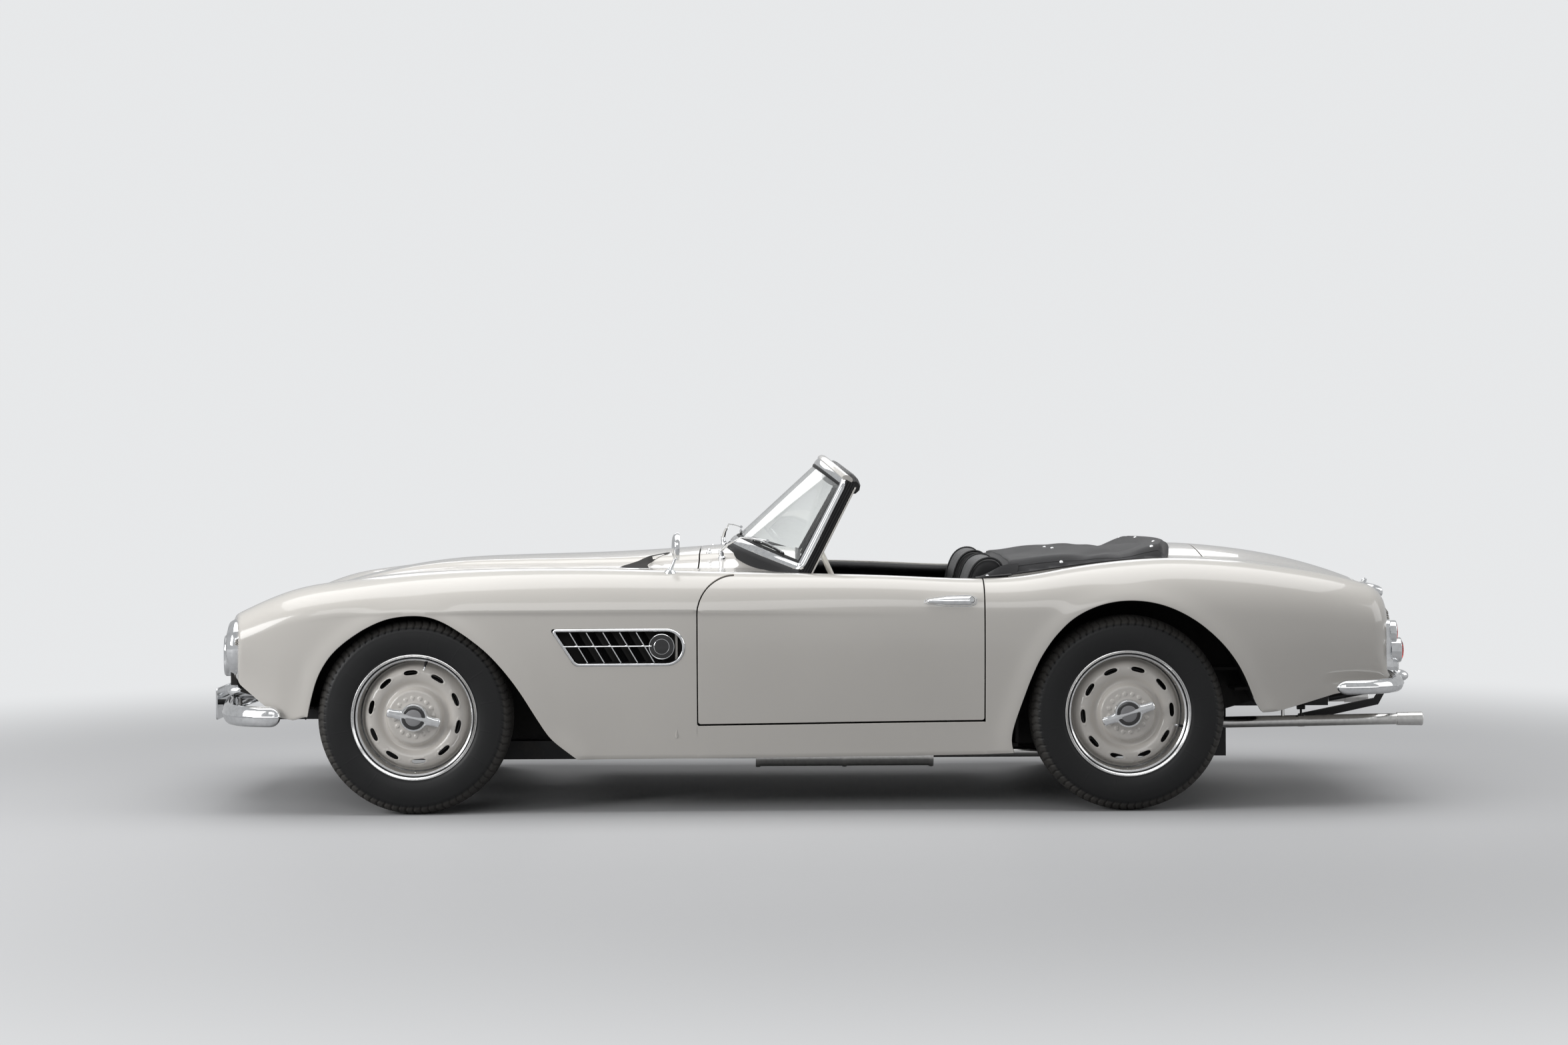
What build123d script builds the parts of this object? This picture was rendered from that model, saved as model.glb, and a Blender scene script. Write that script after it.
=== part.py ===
"""Two-seat open roadster: separate body panels, lids, doors, wheels, running gear and trim.

Frame: +X towards the tail, +Y towards the right-hand side of the car, +Z up, millimetres.
The origin is on the ground under the middle of the overall box.
Lengths along the car are written as `d`, the distance behind the front axle.
"""
from build123d import *
import os
from math import asin, atan2, cos, degrees, hypot, pi, radians, sin, sqrt

# ---------------------------------------------------------------- driving dimensions
WHEELBASE = 2480.0
FRONT_REACH = 798.0           # front axle to the front number plate
REAR_REACH = 1094.0           # rear axle to the ends of the tailpipes
FRONT_TRACK = 1445.0
REAR_TRACK = 1425.0

TYRE_R = 340.0
TYRE_W = 165.0
RIM_R = 217.0                 # outer edge of the bright rim
BEAD_R = 203.0                # seat of the tyre on the rim
RIM_W = 134.0
HUB_BORE_R = 24.0
RUNNING_CLEARANCE = 0.05      # shaft in bore, radial
SEAT_GAP = 0.3                # between pieces that seat on each other
SHUT_GAP = 6.0                # between a lid or door and its opening

SKIN = 12.0                   # body panel with its stiffening
DOOR_T = 70.0                 # a whole door, skin to lining
LID_T = 22.0                  # bonnet and boot lid with their inner frames

FIN_COUNT, FIN_FIRST, FIN_PITCH = 5, 538.0, 57.7
RING_D, RING_Z = 861.0, 582.0
PLATE_T = 8.0
LAMP_Y = 620.0
LAMP_Z = 578.0
LAMP_R = 102.0
VENT_FRONT, VENT_REAR = 479.0, 939.0
VENT_LOW, VENT_HIGH = 517.0, 642.0

DOOR_FRONT = 984.0
DOOR_REAR = 1983.0
DOOR_BOTTOM = 312.0
CREASE_Z = 707.0              # the long crease along the side
DOOR_TOP_FRONT = 1113.0       # where the door's curved front corner meets its top
BONNET_FRONT = -520.0
BONNET_REAR = 978.0
COCKPIT_FRONT = 1330.0
PILLAR_REAR = 1372.0          # the scuttle runs back to here outboard of PILLAR_IN
PILLAR_IN = 596.0
COCKPIT_REAR = 2078.0
COCKPIT_HALF = 668.0
HEADER_R = 14.0
GLASS_T = 5.0
BOOT_FRONT = WHEELBASE + 320.0
BOOT_REAR = WHEELBASE + 900.0

HINGE_AHEAD = 50.0            # door hinge pin ahead of the door's front edge
HINGE_Y = 776.0               # door hinge pin from the centre line
HINGE_R = 8.0
RELIEF_R = 63.0               # sweep of the door's front edge where the fender curves over it
HINGE_HEIGHTS = (470.0, 680.0)
PIANO_R = 2.4                 # small hinge barrels in the shut lines of the lids

FIREWALL_REAR = 974.0
COLUMN_R = 22.0
BOOT_FLOOR_Z = 470.0
FLOOR_Z = 216.0
FLOOR_T = 14.0
RAIL_Z = 150.0                # underside of the chassis rails
RAIL_Y = 360.0
RAIL_W = 80.0
SILL_BOTTOM = 190.0

FRONT_AXLE_X = -(FRONT_REACH + WHEELBASE + REAR_REACH) / 2 + FRONT_REACH
AXLE_Z = TYRE_R


def at(d):
    """World X of a place d millimetres behind the front axle."""
    return FRONT_AXLE_X + d


# ---------------------------------------------------------------- helpers
def block(d0, d1, y0, y1, z0, z1):
    """Box between two stations, two half-breadths and two heights."""
    return Pos(at((d0 + d1) / 2), (y0 + y1) / 2, (z0 + z1) / 2) * Box(d1 - d0, y1 - y0, z1 - z0)


def both(piece):
    """A left-hand piece and its mirror image."""
    return piece, mirror(piece, about=Plane.XZ)


def arc_by_sag(a, b, sag):
    """Arc from a to b in a YZ plane, bulging by sag to the left of the direction a to b."""
    (x, y0, z0), (_, y1, z1) = a, b
    length = hypot(y1 - y0, z1 - z0)
    ny, nz = -(z1 - z0) / length, (y1 - y0) / length
    middle = (x, (y0 + y1) / 2 + ny * sag, (z0 + z1) / 2 + nz * sag)
    return ThreePointArc(a, middle, b)


def prism_side(points, y0, y1):
    """Outline of (d, z) points extruded across the car from y0 to y1."""
    wire = Polyline([(at(d), y0, z) for d, z in points], close=True)
    return extrude(make_face(wire), amount=y1 - y0, dir=(0, 1, 0))


def prism_plan(points, z0, z1):
    """Outline of (d, y) points extruded upwards from z0 to z1."""
    wire = Polyline([(at(d), y, z0) for d, y in points], close=True)
    return extrude(make_face(wire), amount=z1 - z0, dir=(0, 0, 1))


def rod(a, b, radius):
    """Round bar from point a to point b."""
    start, end = Vector(*a), Vector(*b)
    plane = Plane(origin=start, z_dir=end - start)
    return extrude(plane * Circle(radius), amount=(end - start).length)


def turned(points):
    """Solid turned about the Y axis, from (radius, y) points."""
    outline = make_face(Polyline([(r, y, 0) for r, y in points], close=True))
    return revolve(outline, axis=Axis.Y)


# ---------------------------------------------------------------- body envelope
# Each row is one station: d, top on the centre line, valley beside the bonnet or boot (y, z),
# fender crest (y, z), widest line (y, z) and lower edge (y, z).
STATIONS = [
    # d,     top, y_val, val, y_crest, crest, y_wide, wide, y_low, low
    (-800, 602, 305, 601, 593, 617, 742, 583, 695, 498),
    (-640, 678, 350, 668, 612, 697, 772, 600, 738, 472),
    (-468, 747, 395, 735, 622, 770, 802, 655, 778, 340),
    (-240, 815, 425, 789, 632, 813, 819, 698, 798, 324),
    (0, 859, 445, 818, 640, 837, 825, 707, 800, 299),
    (378, 879, 465, 830, 650, 850, 822, 707, 790, 260),
    (567, 883, 475, 832, 654, 849, 815, 707, 775, SILL_BOTTOM),
    (984, 906, 500, 836, 662, 838, 806, 706, 760, SILL_BOTTOM),
    (1340, 897, 520, 832, 682, 829, 803, 702, 757, 192),
    (1700, 860, 538, 813, 695, 818, 803, 696, 751, 194),
    (1983, 853, 545, 812, 692, 808, 806, 692, 762, 199),
    (2250, 868, 539, 838, 676, 836, 818, 691, 790, 231),
    (2480, 892, 520, 862, 662, 867, 825, 692, 803, 267),
    (2760, 907, 480, 866, 652, 872, 822, 690, 800, 309),
    (3134, 859, 420, 824, 622, 828, 782, 668, 752, 379),
    (3387, 782, 380, 757, 585, 766, 722, 634, 692, 420),
    (3480, 741, 359, 721, 568, 738, 698, 617, 663, 425),
]
NOSE_PLAN = [(-765, 0), (-706, 480), (-655, 655), (-560, 790), (-440, 900)]
TAIL_PLAN = [(3160, 900), (3270, 770), (3380, 690), (3432, 560), (3458, 300), (3465, 0)]


def station_face(row, inset, drop):
    """Closed section of the envelope at one station, drawn in by inset all round."""
    d, top, y_val, val, y_crest, crest, y_wide, wide, y_low, low = row
    x = at(d)
    a = (x, 0, top - inset)
    b = (x, y_val, val - inset)
    c = (x, y_crest - inset * 0.3, crest - inset)
    e = (x, y_wide - inset, wide)
    f = (x, y_low - inset, low - drop)
    crown = max(atan2(top - val, y_val) / 4, 0.01)
    right = [(a, b, crown), (b, c, 0.03), (c, e, 0.2), (e, f, 0.03)]
    edges = []
    for p, q, share in right:
        reach = share * hypot(q[1] - p[1], q[2] - p[2])
        edges.append(arc_by_sag(p, q, reach))
    flip = [((q[0], -q[1], q[2]), (p[0], -p[1], p[2]), s) for p, q, s in reversed(right)]
    left = []
    for p, q, share in flip:
        reach = share * hypot(q[1] - p[1], q[2] - p[2])
        left.append(arc_by_sag(p, q, reach))
    bottom = Line(f, (x, -f[1], f[2]))
    return make_face(edges + [bottom] + left)


def envelope(inset=0.0, drop=0.0):
    """The outer form of the body, or the form drawn in by inset and dropped below."""
    form = loft([station_face(row, inset, drop) for row in STATIONS], ruled=True)
    nose = [(d + inset, y) for d, y in NOSE_PLAN]
    tail = [(d - inset, y) for d, y in TAIL_PLAN]
    half = nose + tail
    outline = half + [(d, -y) for d, y in reversed(half) if y]
    return form & prism_plan(outline, 0, 1200)

OUTER = envelope()
INNER = envelope(SKIN, 150)
INNER_FIT = envelope(SKIN + SEAT_GAP, 150)
SHELL = OUTER - INNER
LID_SHELL = OUTER - envelope(LID_T, 150)
DOOR_SHELL = OUTER - envelope(DOOR_T, 150)


# ---------------------------------------------------------------- outlines of the openings
def bonnet_prism(gap):
    """Plan outline of the bonnet, drawn in by gap, standing above the side crease."""
    half = [(BONNET_FRONT + gap, 0), (BONNET_FRONT + gap, 400 - gap), (BONNET_REAR - gap, 496 - gap),
            (BONNET_REAR - gap, 0)]
    return prism_plan(half + [(d, -y) for d, y in reversed(half) if y], CREASE_Z - 20, 1100)


def boot_prism(gap):
    """Plan outline of the boot lid, drawn in by gap."""
    half = [(BOOT_FRONT + gap, 0), (BOOT_FRONT + gap, 440 - gap), (BOOT_REAR - gap, 370 - gap),
            (BOOT_REAR - gap, 0)]
    return prism_plan(half + [(d, -y) for d, y in reversed(half) if y], CREASE_Z - 20, 1100)


def door_prism(gap, side=-1):
    """Side outline of a door, drawn in by gap, from its inner face outwards."""
    front, rear, low = DOOR_FRONT + gap, DOOR_REAR - gap, DOOR_BOTTOM + gap
    points = [(front, low), (front, CREASE_Z), (front + 22, 758), (front + 62, 800),
              (DOOR_TOP_FRONT + gap, 826), (DOOR_TOP_FRONT + gap, 1000), (rear, 1000), (rear, low)]
    inner = COCKPIT_HALF + gap
    return prism_side(points, -900, -inner) if side < 0 else prism_side(points, inner, 900)


def cockpit_prism():
    """Open space over the seats."""
    front, rear, half = COCKPIT_FRONT, COCKPIT_REAR, COCKPIT_HALF
    middle = block(front, PILLAR_REAR + 1, -PILLAR_IN, PILLAR_IN, 480, 1200)
    return middle + block(PILLAR_REAR, rear, -half, half, 480, 1200)


# The fender lips as (distance behind the axle, height) points, from front to rear.
FRONT_LIP = [(-367, 0), (-367, 367), (-337, 476), (-311, 526), (-235, 607), (-170, 651), (-101, 683), (0, 696),
             (49, 697), (126, 664), (190, 622), (255, 570), (345, 465), (410, 363), (469, 268), (482, 263),
             (567, SILL_BOTTOM), (567, 0)]
REAR_LIP = [(-446, 0), (-446, 210), (-402, 290), (-368, 385), (-345, 470), (-319, 536), (-265, 620), (-210, 677),
            (-100, 722), (20, 736), (120, 722), (215, 680), (290, 622), (347, 580), (390, 510), (423, 425),
            (446, 360), (467, 342), (467, 0)]


def arch_cut(lip, d_axle):
    """Opening over one axle, cut right across the car below the fender lips."""
    return prism_side([(d_axle + d, z) for d, z in lip], -900, 900)


FRONT_ARCH = arch_cut(FRONT_LIP, 0)
REAR_ARCH = arch_cut(REAR_LIP, WHEELBASE)


def panel_split(low_d, high_d):
    """Slice of the car between two stations."""
    return block(low_d, high_d, -900, 900, 0, 1200)


# ---------------------------------------------------------------- body panels
def front_body():
    """Nose, front fenders and scuttle, open over the engine and at the arches."""
    slab = panel_split(-900, DOOR_FRONT) + block(DOOR_FRONT - 1, PILLAR_REAR, -900, 900, 560, 1200)
    body = SHELL & slab
    body = body - FRONT_ARCH - bonnet_prism(0) - cockpit_prism()
    for side in (-1, 1):
        body = body - door_prism(-SHUT_GAP, side)
    wall = block(-430, 470, -432, -420, 520, 900) + block(-430, 470, 420, 432, 520, 900)
    body = body + ((wall & INNER) - bonnet_prism(0))
    for side in (-1, 1):
        body = body - grille_space(side) - headlamp_bowl(side, LAMP_R + SEAT_GAP, -800, -610)
        body = body - vent_outline(side, SEAT_GAP, 700, 900)
    return body + piano_hinge(BONNET_REAR - SHUT_GAP / 2, -1)


def rear_body():
    """Rear fenders, tail and deck, open over the boot and at the arches."""
    body = SHELL & panel_split(DOOR_REAR, 3600)
    body = body - REAR_ARCH - boot_prism(0) - cockpit_prism()
    for side in (-1, 1):
        body = body - door_prism(-SHUT_GAP, side)
    return body + piano_hinge(BOOT_FRONT + SHUT_GAP / 2, 1)


def hinge_line(d):
    """Height of a lid's hinge line, just under the body's top at a shut line."""
    rows = sorted(STATIONS)
    for near, far in zip(rows, rows[1:]):
        if near[0] <= d <= far[0]:
            share = (d - near[0]) / (far[0] - near[0])
            return near[1] + share * (far[1] - near[1]) - 3


def piano_hinge(d, side, moving=False):
    """Barrels of a lid's hinge in its shut line: the fixed ones, or the lid's own."""
    z = hinge_line(d)
    piece = None
    for step in range(-2, 3):
        if (step % 2 == 0) == moving:
            continue
        y0, y1 = step * 24 - 12 + SEAT_GAP, step * 24 + 12
        toward = side if moving else -side
        part = rod((at(d), y0, z), (at(d), y1, z), PIANO_R)
        leaf_z = z - 1.2
        part = part + block(*sorted((d, d + toward * (SHUT_GAP / 2 + 5))), y0, y1, leaf_z - 1.2, leaf_z + 1.2)
        piece = part if piece is None else piece + part
    return piece


def grille_frame(side):
    """Local frame of one half of the nose: x across the face, y up, z out of the face."""
    face = Plane(origin=(at(-742), side * 258, 533), x_dir=(0.123 * side, 1 * 1, 0), z_dir=(-1, 0.123 * side, 0))
    return face


def grille_space(side):
    """Opening in the nose for one grille."""
    return extrude(grille_frame(side) * RectangleRounded(440, 152, 60), amount=120, both=True)


def grille(side):
    """Bright frame with upright bars."""
    frame = grille_frame(side)
    outer = extrude(frame * RectangleRounded(438, 150, 60), amount=14, both=True)
    hole = extrude(frame * RectangleRounded(410, 122, 46), amount=20, both=True)
    piece = outer - hole
    for step in range(-6, 7):
        piece = piece + extrude(frame * Pos(step * 30, 0) * Rectangle(7, 126), amount=5, both=True)
    return piece & (OUTER + block(-830, -600, -500, 500, 400, 700))


HANDLE_OUTLINE = [(1771, 733), (1786, 724), (1850, 719), (1930, 718), (1950, 724), (1955, 735), (1950, 746),
                  (1930, 751), (1850, 749), (1786, 741)]


def door(side):
    """One whole door, skin to lining, with its top roll and handle."""
    leaf = DOOR_SHELL & door_prism(0, side)
    leaf = leaf - cockpit_prism()
    pin = (at(DOOR_FRONT - HINGE_AHEAD), side * HINGE_Y)
    outer_in = 806 - HINGE_Y
    leaf = leaf - Pos(*pin, 600) * Cylinder(hypot(HINGE_AHEAD, outer_in) - 1, 1400)
    leaf = leaf - Pos(*pin, 724) * Cylinder(RELIEF_R, 50)
    reach = hypot(DOOR_REAR - DOOR_FRONT + HINGE_AHEAD, 808 - HINGE_Y)
    leaf = leaf & Pos(*pin, 600) * Cylinder(reach, 1400)
    for z in HINGE_HEIGHTS:
        leaf = leaf + Pos(*pin, z + SEAT_GAP + 12) * Cylinder(HINGE_R, 24)
        leaf = leaf + hinge_arm(side, z + SEAT_GAP, z + SEAT_GAP + 24)
    y0, y1 = sorted((side * 809, side * 821))
    handle = prism_side(HANDLE_OUTLINE, y0, y1)
    foot = block(1790, 1940, min(side * 780, side * 812), max(side * 780, side * 812), 728, 740)
    return leaf + handle + foot


def hinge_arm(side, low, high):
    """Gooseneck from the pin inwards, back past the fender's edge and out to the door."""
    d_pin, d_door = DOOR_FRONT - HINGE_AHEAD, DOOR_FRONT + 30
    neck = side * (HINGE_Y - 62)
    arm = block(d_pin - 7, d_pin + 7, *sorted((side * HINGE_Y, neck)), low, high)
    arm = arm + block(d_pin - 7, d_door, *sorted((neck, side * (HINGE_Y - 50))), low, high)
    return arm + block(d_door - 18, d_door, *sorted((neck, side * (HINGE_Y - 30))), low, high)


def lid(prism, hinge_d, side):
    """Body panel with its inner frame, inside a plan outline."""
    return (LID_SHELL & prism) + piano_hinge(hinge_d, side, True)


def cabin_tub():
    """Floor, tunnel, firewall, rear bulkhead, boot floor and sills in one welded tub."""
    floor = block(880, 2110, -700, 700, FLOOR_Z, FLOOR_Z + FLOOR_T)
    tunnel = block(880, 2110, -140, 140, FLOOR_Z, 500) - block(800, 2200, -126, 126, 0, 486)
    firewall = block(960, 974, -700, 700, FLOOR_Z, 800)
    bulkhead = block(2096, 2110, -840, 840, FLOOR_Z, 790)
    hole = block(900, 2200, -126, 126, 0, 486)
    boot = block(2105, 3460, -560, 560, BOOT_FLOOR_Z, BOOT_FLOOR_Z + 12)
    sill = SHELL & block(DOOR_FRONT + 1, DOOR_REAR - 1, -900, 900, 0, DOOR_BOTTOM - SHUT_GAP)
    foot = block(DOOR_FRONT + 1, DOOR_REAR - 1, -760, 760, FLOOR_Z, FLOOR_Z + FLOOR_T)
    top = (block(DOOR_FRONT + 1, DOOR_REAR - 1, -790, -700, 292, DOOR_BOTTOM - SHUT_GAP)
           + block(DOOR_FRONT + 1, DOOR_REAR - 1, 700, 790, 292, DOOR_BOTTOM - SHUT_GAP))
    inner = (block(DOOR_FRONT + 1, DOOR_REAR - 1, -712, -700, FLOOR_Z, DOOR_BOTTOM - SHUT_GAP)
             + block(DOOR_FRONT + 1, DOOR_REAR - 1, 700, 712, FLOOR_Z, DOOR_BOTTOM - SHUT_GAP))
    posts = block(905, 917, -800, -690, FLOOR_Z, 770) + block(905, 917, 690, 800, FLOOR_Z, 770)
    posts = posts + block(905, 974, -702, -690, FLOOR_Z, 770) + block(905, 974, 690, 702, FLOOR_Z, 770)
    tub = (floor + tunnel + firewall + bulkhead - hole + boot + posts) & INNER_FIT
    for side in (-1, 1):
        for z in HINGE_HEIGHTS:
            pin = (at(DOOR_FRONT - HINGE_AHEAD), side * HINGE_Y)
            tub = tub + Pos(*pin, z - 12) * Cylinder(HINGE_R, 24)
            tub = tub + block(910, DOOR_FRONT - HINGE_AHEAD, side * HINGE_Y - 6, side * HINGE_Y + 6, z - 24, z)
    return tub + sill + ((foot + top + inner) & envelope(1, 150)) - hole


# ---------------------------------------------------------------- running gear
HORN_FRONT, HORN_REAR = (300, 350), (330, 372)      # low and high edges of the rails' raised ends


def chassis_frame():
    """Two box rails with raised ends, and cross members."""
    frame = None
    for side in (-1, 1):
        y0, y1 = sorted((side * (RAIL_Y - RAIL_W / 2), side * (RAIL_Y + RAIL_W / 2)))
        rail = block(-330, 2880, y0, y1, RAIL_Z, FLOOR_Z - SEAT_GAP)
        rail = rail + block(-330, -270, y0, y1, RAIL_Z, HORN_FRONT[1]) + block(-560, -270, y0, y1, *HORN_FRONT)
        rail = rail + block(2820, 2880, y0, y1, RAIL_Z, HORN_REAR[1]) + block(2820, 3250, y0, y1, *HORN_REAR)
        frame = rail if frame is None else frame + rail
    for d, low, high in ((-520, *HORN_FRONT), (760, RAIL_Z, 216), (2060, RAIL_Z, 216), (3200, *HORN_REAR)):
        frame = frame + block(d - 30, d + 30, -RAIL_Y, RAIL_Y, low + 6, high - 6)
    return frame


def engine_block():
    """Engine and gearbox as one plain mass on its mounts."""
    engine = block(-180, 560, -270, 270, 300, 740)
    gearbox = block(560, 1250, -100, 100, 290, 470)
    shaft = rod((at(1250), 0, 380), (at(WHEELBASE - 112), 0, AXLE_Z), 32)
    mass = engine + gearbox + shaft
    for side in (-1, 1):
        y0, y1 = sorted((side * 250, side * (RAIL_Y + 20)))
        mass = mass + block(120, 180, y0, y1, 300, 330)
        y0, y1 = sorted((side * (RAIL_Y - 20), side * (RAIL_Y + 20)))
        mass = mass + block(120, 180, y0, y1, FLOOR_Z, 330)
    return mass


KINGPIN_Y = 612.0
BALL_LOW, BALL_HIGH = 232.0, 470.0


def front_suspension():
    """Cross member on the rails, towers and the two pairs of wishbones."""
    beam = block(-60, 60, -RAIL_Y - 40, RAIL_Y + 40, FLOOR_Z, 262)
    piece = beam
    for side in (-1, 1):
        y0, y1 = sorted((side * 330, side * 395))
        piece = piece + block(-70, 70, y0, y1, FLOOR_Z, BALL_HIGH + 30)
        for z in (BALL_LOW, BALL_HIGH):
            for d in (-70, 70):
                piece = piece + rod((at(d * 0.85), side * 370, z), (at(0), side * KINGPIN_Y, z), 13)
            piece = piece + Pos(at(0), side * KINGPIN_Y, z) * Cylinder(24, 30)
    return piece


def knuckle(side):
    """Upright with its stub axle."""
    y = side * KINGPIN_Y
    low, high = BALL_LOW + 15 + SEAT_GAP, BALL_HIGH - 15 - SEAT_GAP
    post = Pos(at(0), y, (low + high) / 2) * Cylinder(20, high - low)
    hub_face = FRONT_TRACK / 2 + 12
    stub = rod((at(0), y, AXLE_Z), (at(0), side * hub_face, AXLE_Z), HUB_BORE_R - RUNNING_CLEARANCE)
    y0, y1 = sorted((y - side * 4, y + side * 12))
    arm = block(-20, 120, y0, y1, 300, 320)
    return post + stub + arm


def rear_axle():
    """Axle tube with the final drive, brackets to the rails and stub ends."""
    half = REAR_TRACK / 2
    tube = rod((at(WHEELBASE), -half + 90, AXLE_Z), (at(WHEELBASE), half - 90, AXLE_Z), 38)
    stub = rod((at(WHEELBASE), -half - 12, AXLE_Z), (at(WHEELBASE), half + 12, AXLE_Z),
               HUB_BORE_R - RUNNING_CLEARANCE)
    drive = Pos(at(WHEELBASE), 0, AXLE_Z) * Sphere(110)
    piece = tube + stub + drive
    for side in (-1, 1):
        y0, y1 = sorted((side * (RAIL_Y - 14), side * (RAIL_Y + 14)))
        piece = piece + block(WHEELBASE - 30, WHEELBASE + 30, y0, y1, FLOOR_Z, AXLE_Z)
    return piece


def wheel(d, track, side):
    """Rim, dished disc, brake drum, hub and knock-off spinner in one body."""
    y = side * track / 2
    s = side
    rim = turned([(BEAD_R - 12, -RIM_W / 2), (BEAD_R, -RIM_W / 2), (BEAD_R, RIM_W / 2), (RIM_R, RIM_W / 2),
                  (RIM_R, RIM_W / 2 + 8), (BEAD_R - 12, RIM_W / 2 + 8)])
    disc = turned([(HUB_BORE_R, 34), (86, 34), (102, 22), (150, 38), (170, 26), (186, -14), (193, -14), (193, -4),
                   (187, 4), (172, 40), (150, 52), (124, 44), (108, 35), (96, 50), (90, 59), (HUB_BORE_R, 60)])
    drum = turned([(HUB_BORE_R, -60), (150, -60), (150, 10), (88, 16), (88, 36), (HUB_BORE_R, 36)])
    cap = Pos(0, 71, 0) * Rot(90, 0, 0) * Cylinder(48, 28)
    for sign in (-1, 1):
        cap = cap + Pos(sign * 66, 76, 0) * Box(60, 14, 30)
    whole = rim + disc + drum + cap
    whole = whole - (Pos(0, -30, 0) * Rot(90, 0, 0) * Cylinder(HUB_BORE_R, 130))
    for step in range(10):
        whole = whole - (Rot(0, step * 36, 0) * Pos(154, 40, 0) * Rot(90, 0, 0)
                         * extrude(SlotOverall(50, 18, rotation=90), amount=30, both=True))
    if side < 0:
        whole = mirror(whole, about=Plane.XZ)
    return Pos(at(d), y, AXLE_Z) * whole


def tyre(d, track, side):
    """Road tyre as a closed ring on its bead seat."""
    half = TYRE_W / 2
    ring = turned([(BEAD_R, -RIM_W / 2), (BEAD_R, RIM_W / 2), (RIM_R + 2, RIM_W / 2), (RIM_R + 18, half - 6),
                   (270, half), (315, half - 6), (338, half - 22), (TYRE_R, half - 50), (TYRE_R, 50 - half),
                   (338, 22 - half), (315, 6 - half), (270, -half), (RIM_R + 18, 6 - half),
                   (RIM_R, -RIM_W / 2)])
    return Pos(at(d), side * track / 2, AXLE_Z) * ring


# ---------------------------------------------------------------- cabin
def screen_foot(y):
    """Station of the glass just above the scuttle, at half-breadth y."""
    return 1108 + 875 - sqrt(875 ** 2 - y ** 2) * 1.0


def windscreen():
    """Frame tube all round the wrapped glass, and the glass in it."""
    low = [(at(1345), -622, 842), (at(1099), 0, 925), (at(1345), 622, 842)]
    high = [(at(1505), -552, 1150), (at(1421), 0, 1222), (at(1505), 552, 1150)]
    paths = [ThreePointArc(*low), ThreePointArc(*high), Line(low[0], high[0]), Line(low[2], high[2])]
    frame = None
    for path, radius in zip(paths, (9.5, HEADER_R, 9.5, 9.5)):
        tube = sweep(Plane(origin=path @ 0, z_dir=path % 0) * Circle(radius), path=path)
        frame = tube if frame is None else frame + tube
    for corner, radius in ((low[0], 10.5), (low[2], 10.5), (high[0], HEADER_R + 1), (high[2], HEADER_R + 1)):
        frame = frame + Pos(*corner) * Sphere(radius)
    sections = []
    for points in (low, high):
        outer = ThreePointArc(*points)
        rearward = ((Vector(*points[0]) + Vector(*points[2])) / 2 - Vector(*points[1])).normalized()
        thick = [Vector(*p) + rearward * GLASS_T for p in points]
        inner = ThreePointArc(*thick)
        sections.append(make_face([outer, Line(outer @ 1, inner @ 1), inner, Line(inner @ 0, outer @ 0)]))
    for side in (-1, 1):
        frame = frame + rod((at(1345), side * 622, 790), (at(1345), side * 622, 850), 16)
    frame = frame - OUTER
    solids = sorted(frame.solids(), key=lambda piece: piece.volume)
    frame = solids[-1]
    glass = loft(sections, ruled=True) - frame - OUTER
    return frame, glass


def dashboard():
    """Padded panel under the scuttle."""
    panel = block(1270, COCKPIT_FRONT, -655, 655, 660, 900) & INNER_FIT
    return panel - steering_column(COLUMN_R + 1)


def seat(side):
    """Cushion and rolled backrest."""
    y, half = side * 375, 225
    cushion = block(1470, 1930, y - half, y + half, 356, 486)
    legs = block(1520, 1900, y - half + 30, y + half - 30, FLOOR_Z + FLOOR_T, 356)
    back = prism_side([(1880, 400), (1935, 850), (1955, 885), (2020, 891), (2066, 850), (2066, 400)],
                      y - half, y + half)
    return cushion + legs + back


STEER_HUB = (1500.0, -370.0, 718.0)
STEER_LEAN = 24.0             # column below the level, towards the nose


def steering_wheel():
    """Rim, three spokes and hub on the column's line."""
    axis = Vector(cos(radians(STEER_LEAN)), 0, sin(radians(STEER_LEAN)))
    plane = Plane(origin=(at(STEER_HUB[0]), STEER_HUB[1], STEER_HUB[2]), x_dir=(0, 1, 0), z_dir=axis)
    ring = plane * Torus(205, 10)
    hub = plane * Cylinder(34, 40)
    piece = ring + hub
    for angle in (0, 180, 270):
        piece = piece + plane * (Rot(0, 0, angle) * Pos(115, 0, 0) * Box(190, 18, 8))
    return piece


def steering_column(radius=COLUMN_R):
    """Fixed tube from the wheel down to the firewall."""
    axis = Vector(cos(radians(STEER_LEAN)), 0, sin(radians(STEER_LEAN)))
    top = Vector(at(STEER_HUB[0]), STEER_HUB[1], STEER_HUB[2]) - axis * (20 + SEAT_GAP)
    low = top - axis * ((top.X - at(FIREWALL_REAR) - SEAT_GAP - 9) / axis.X)
    return rod(tuple(top), tuple(low), radius)


def tonneau():
    """Fabric cover over the folded roof."""
    space = prism_plan([(2082, -560), (2082, 560), (2694, 478), (2694, -478)], 760, 1100)
    return space & (envelope(-26, 0) - envelope(-SEAT_GAP, 0))


# ---------------------------------------------------------------- lamps, bumpers, trim
def headlamp(side):
    """Bright bezel with a domed lens."""
    lens = Pos(at(-640), side * LAMP_Y, LAMP_Z) * Sphere(88)
    return headlamp_bowl(side, LAMP_R, -676, -618) + (lens & block(-760, -655, -900, 900, 400, 800))


def headlamp_bowl(side, radius, d0, d1):
    """Round body of one headlamp, or the hole for it."""
    return rod((at(d0), side * LAMP_Y, LAMP_Z), (at(d1), side * LAMP_Y, LAMP_Z), radius)


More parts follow.
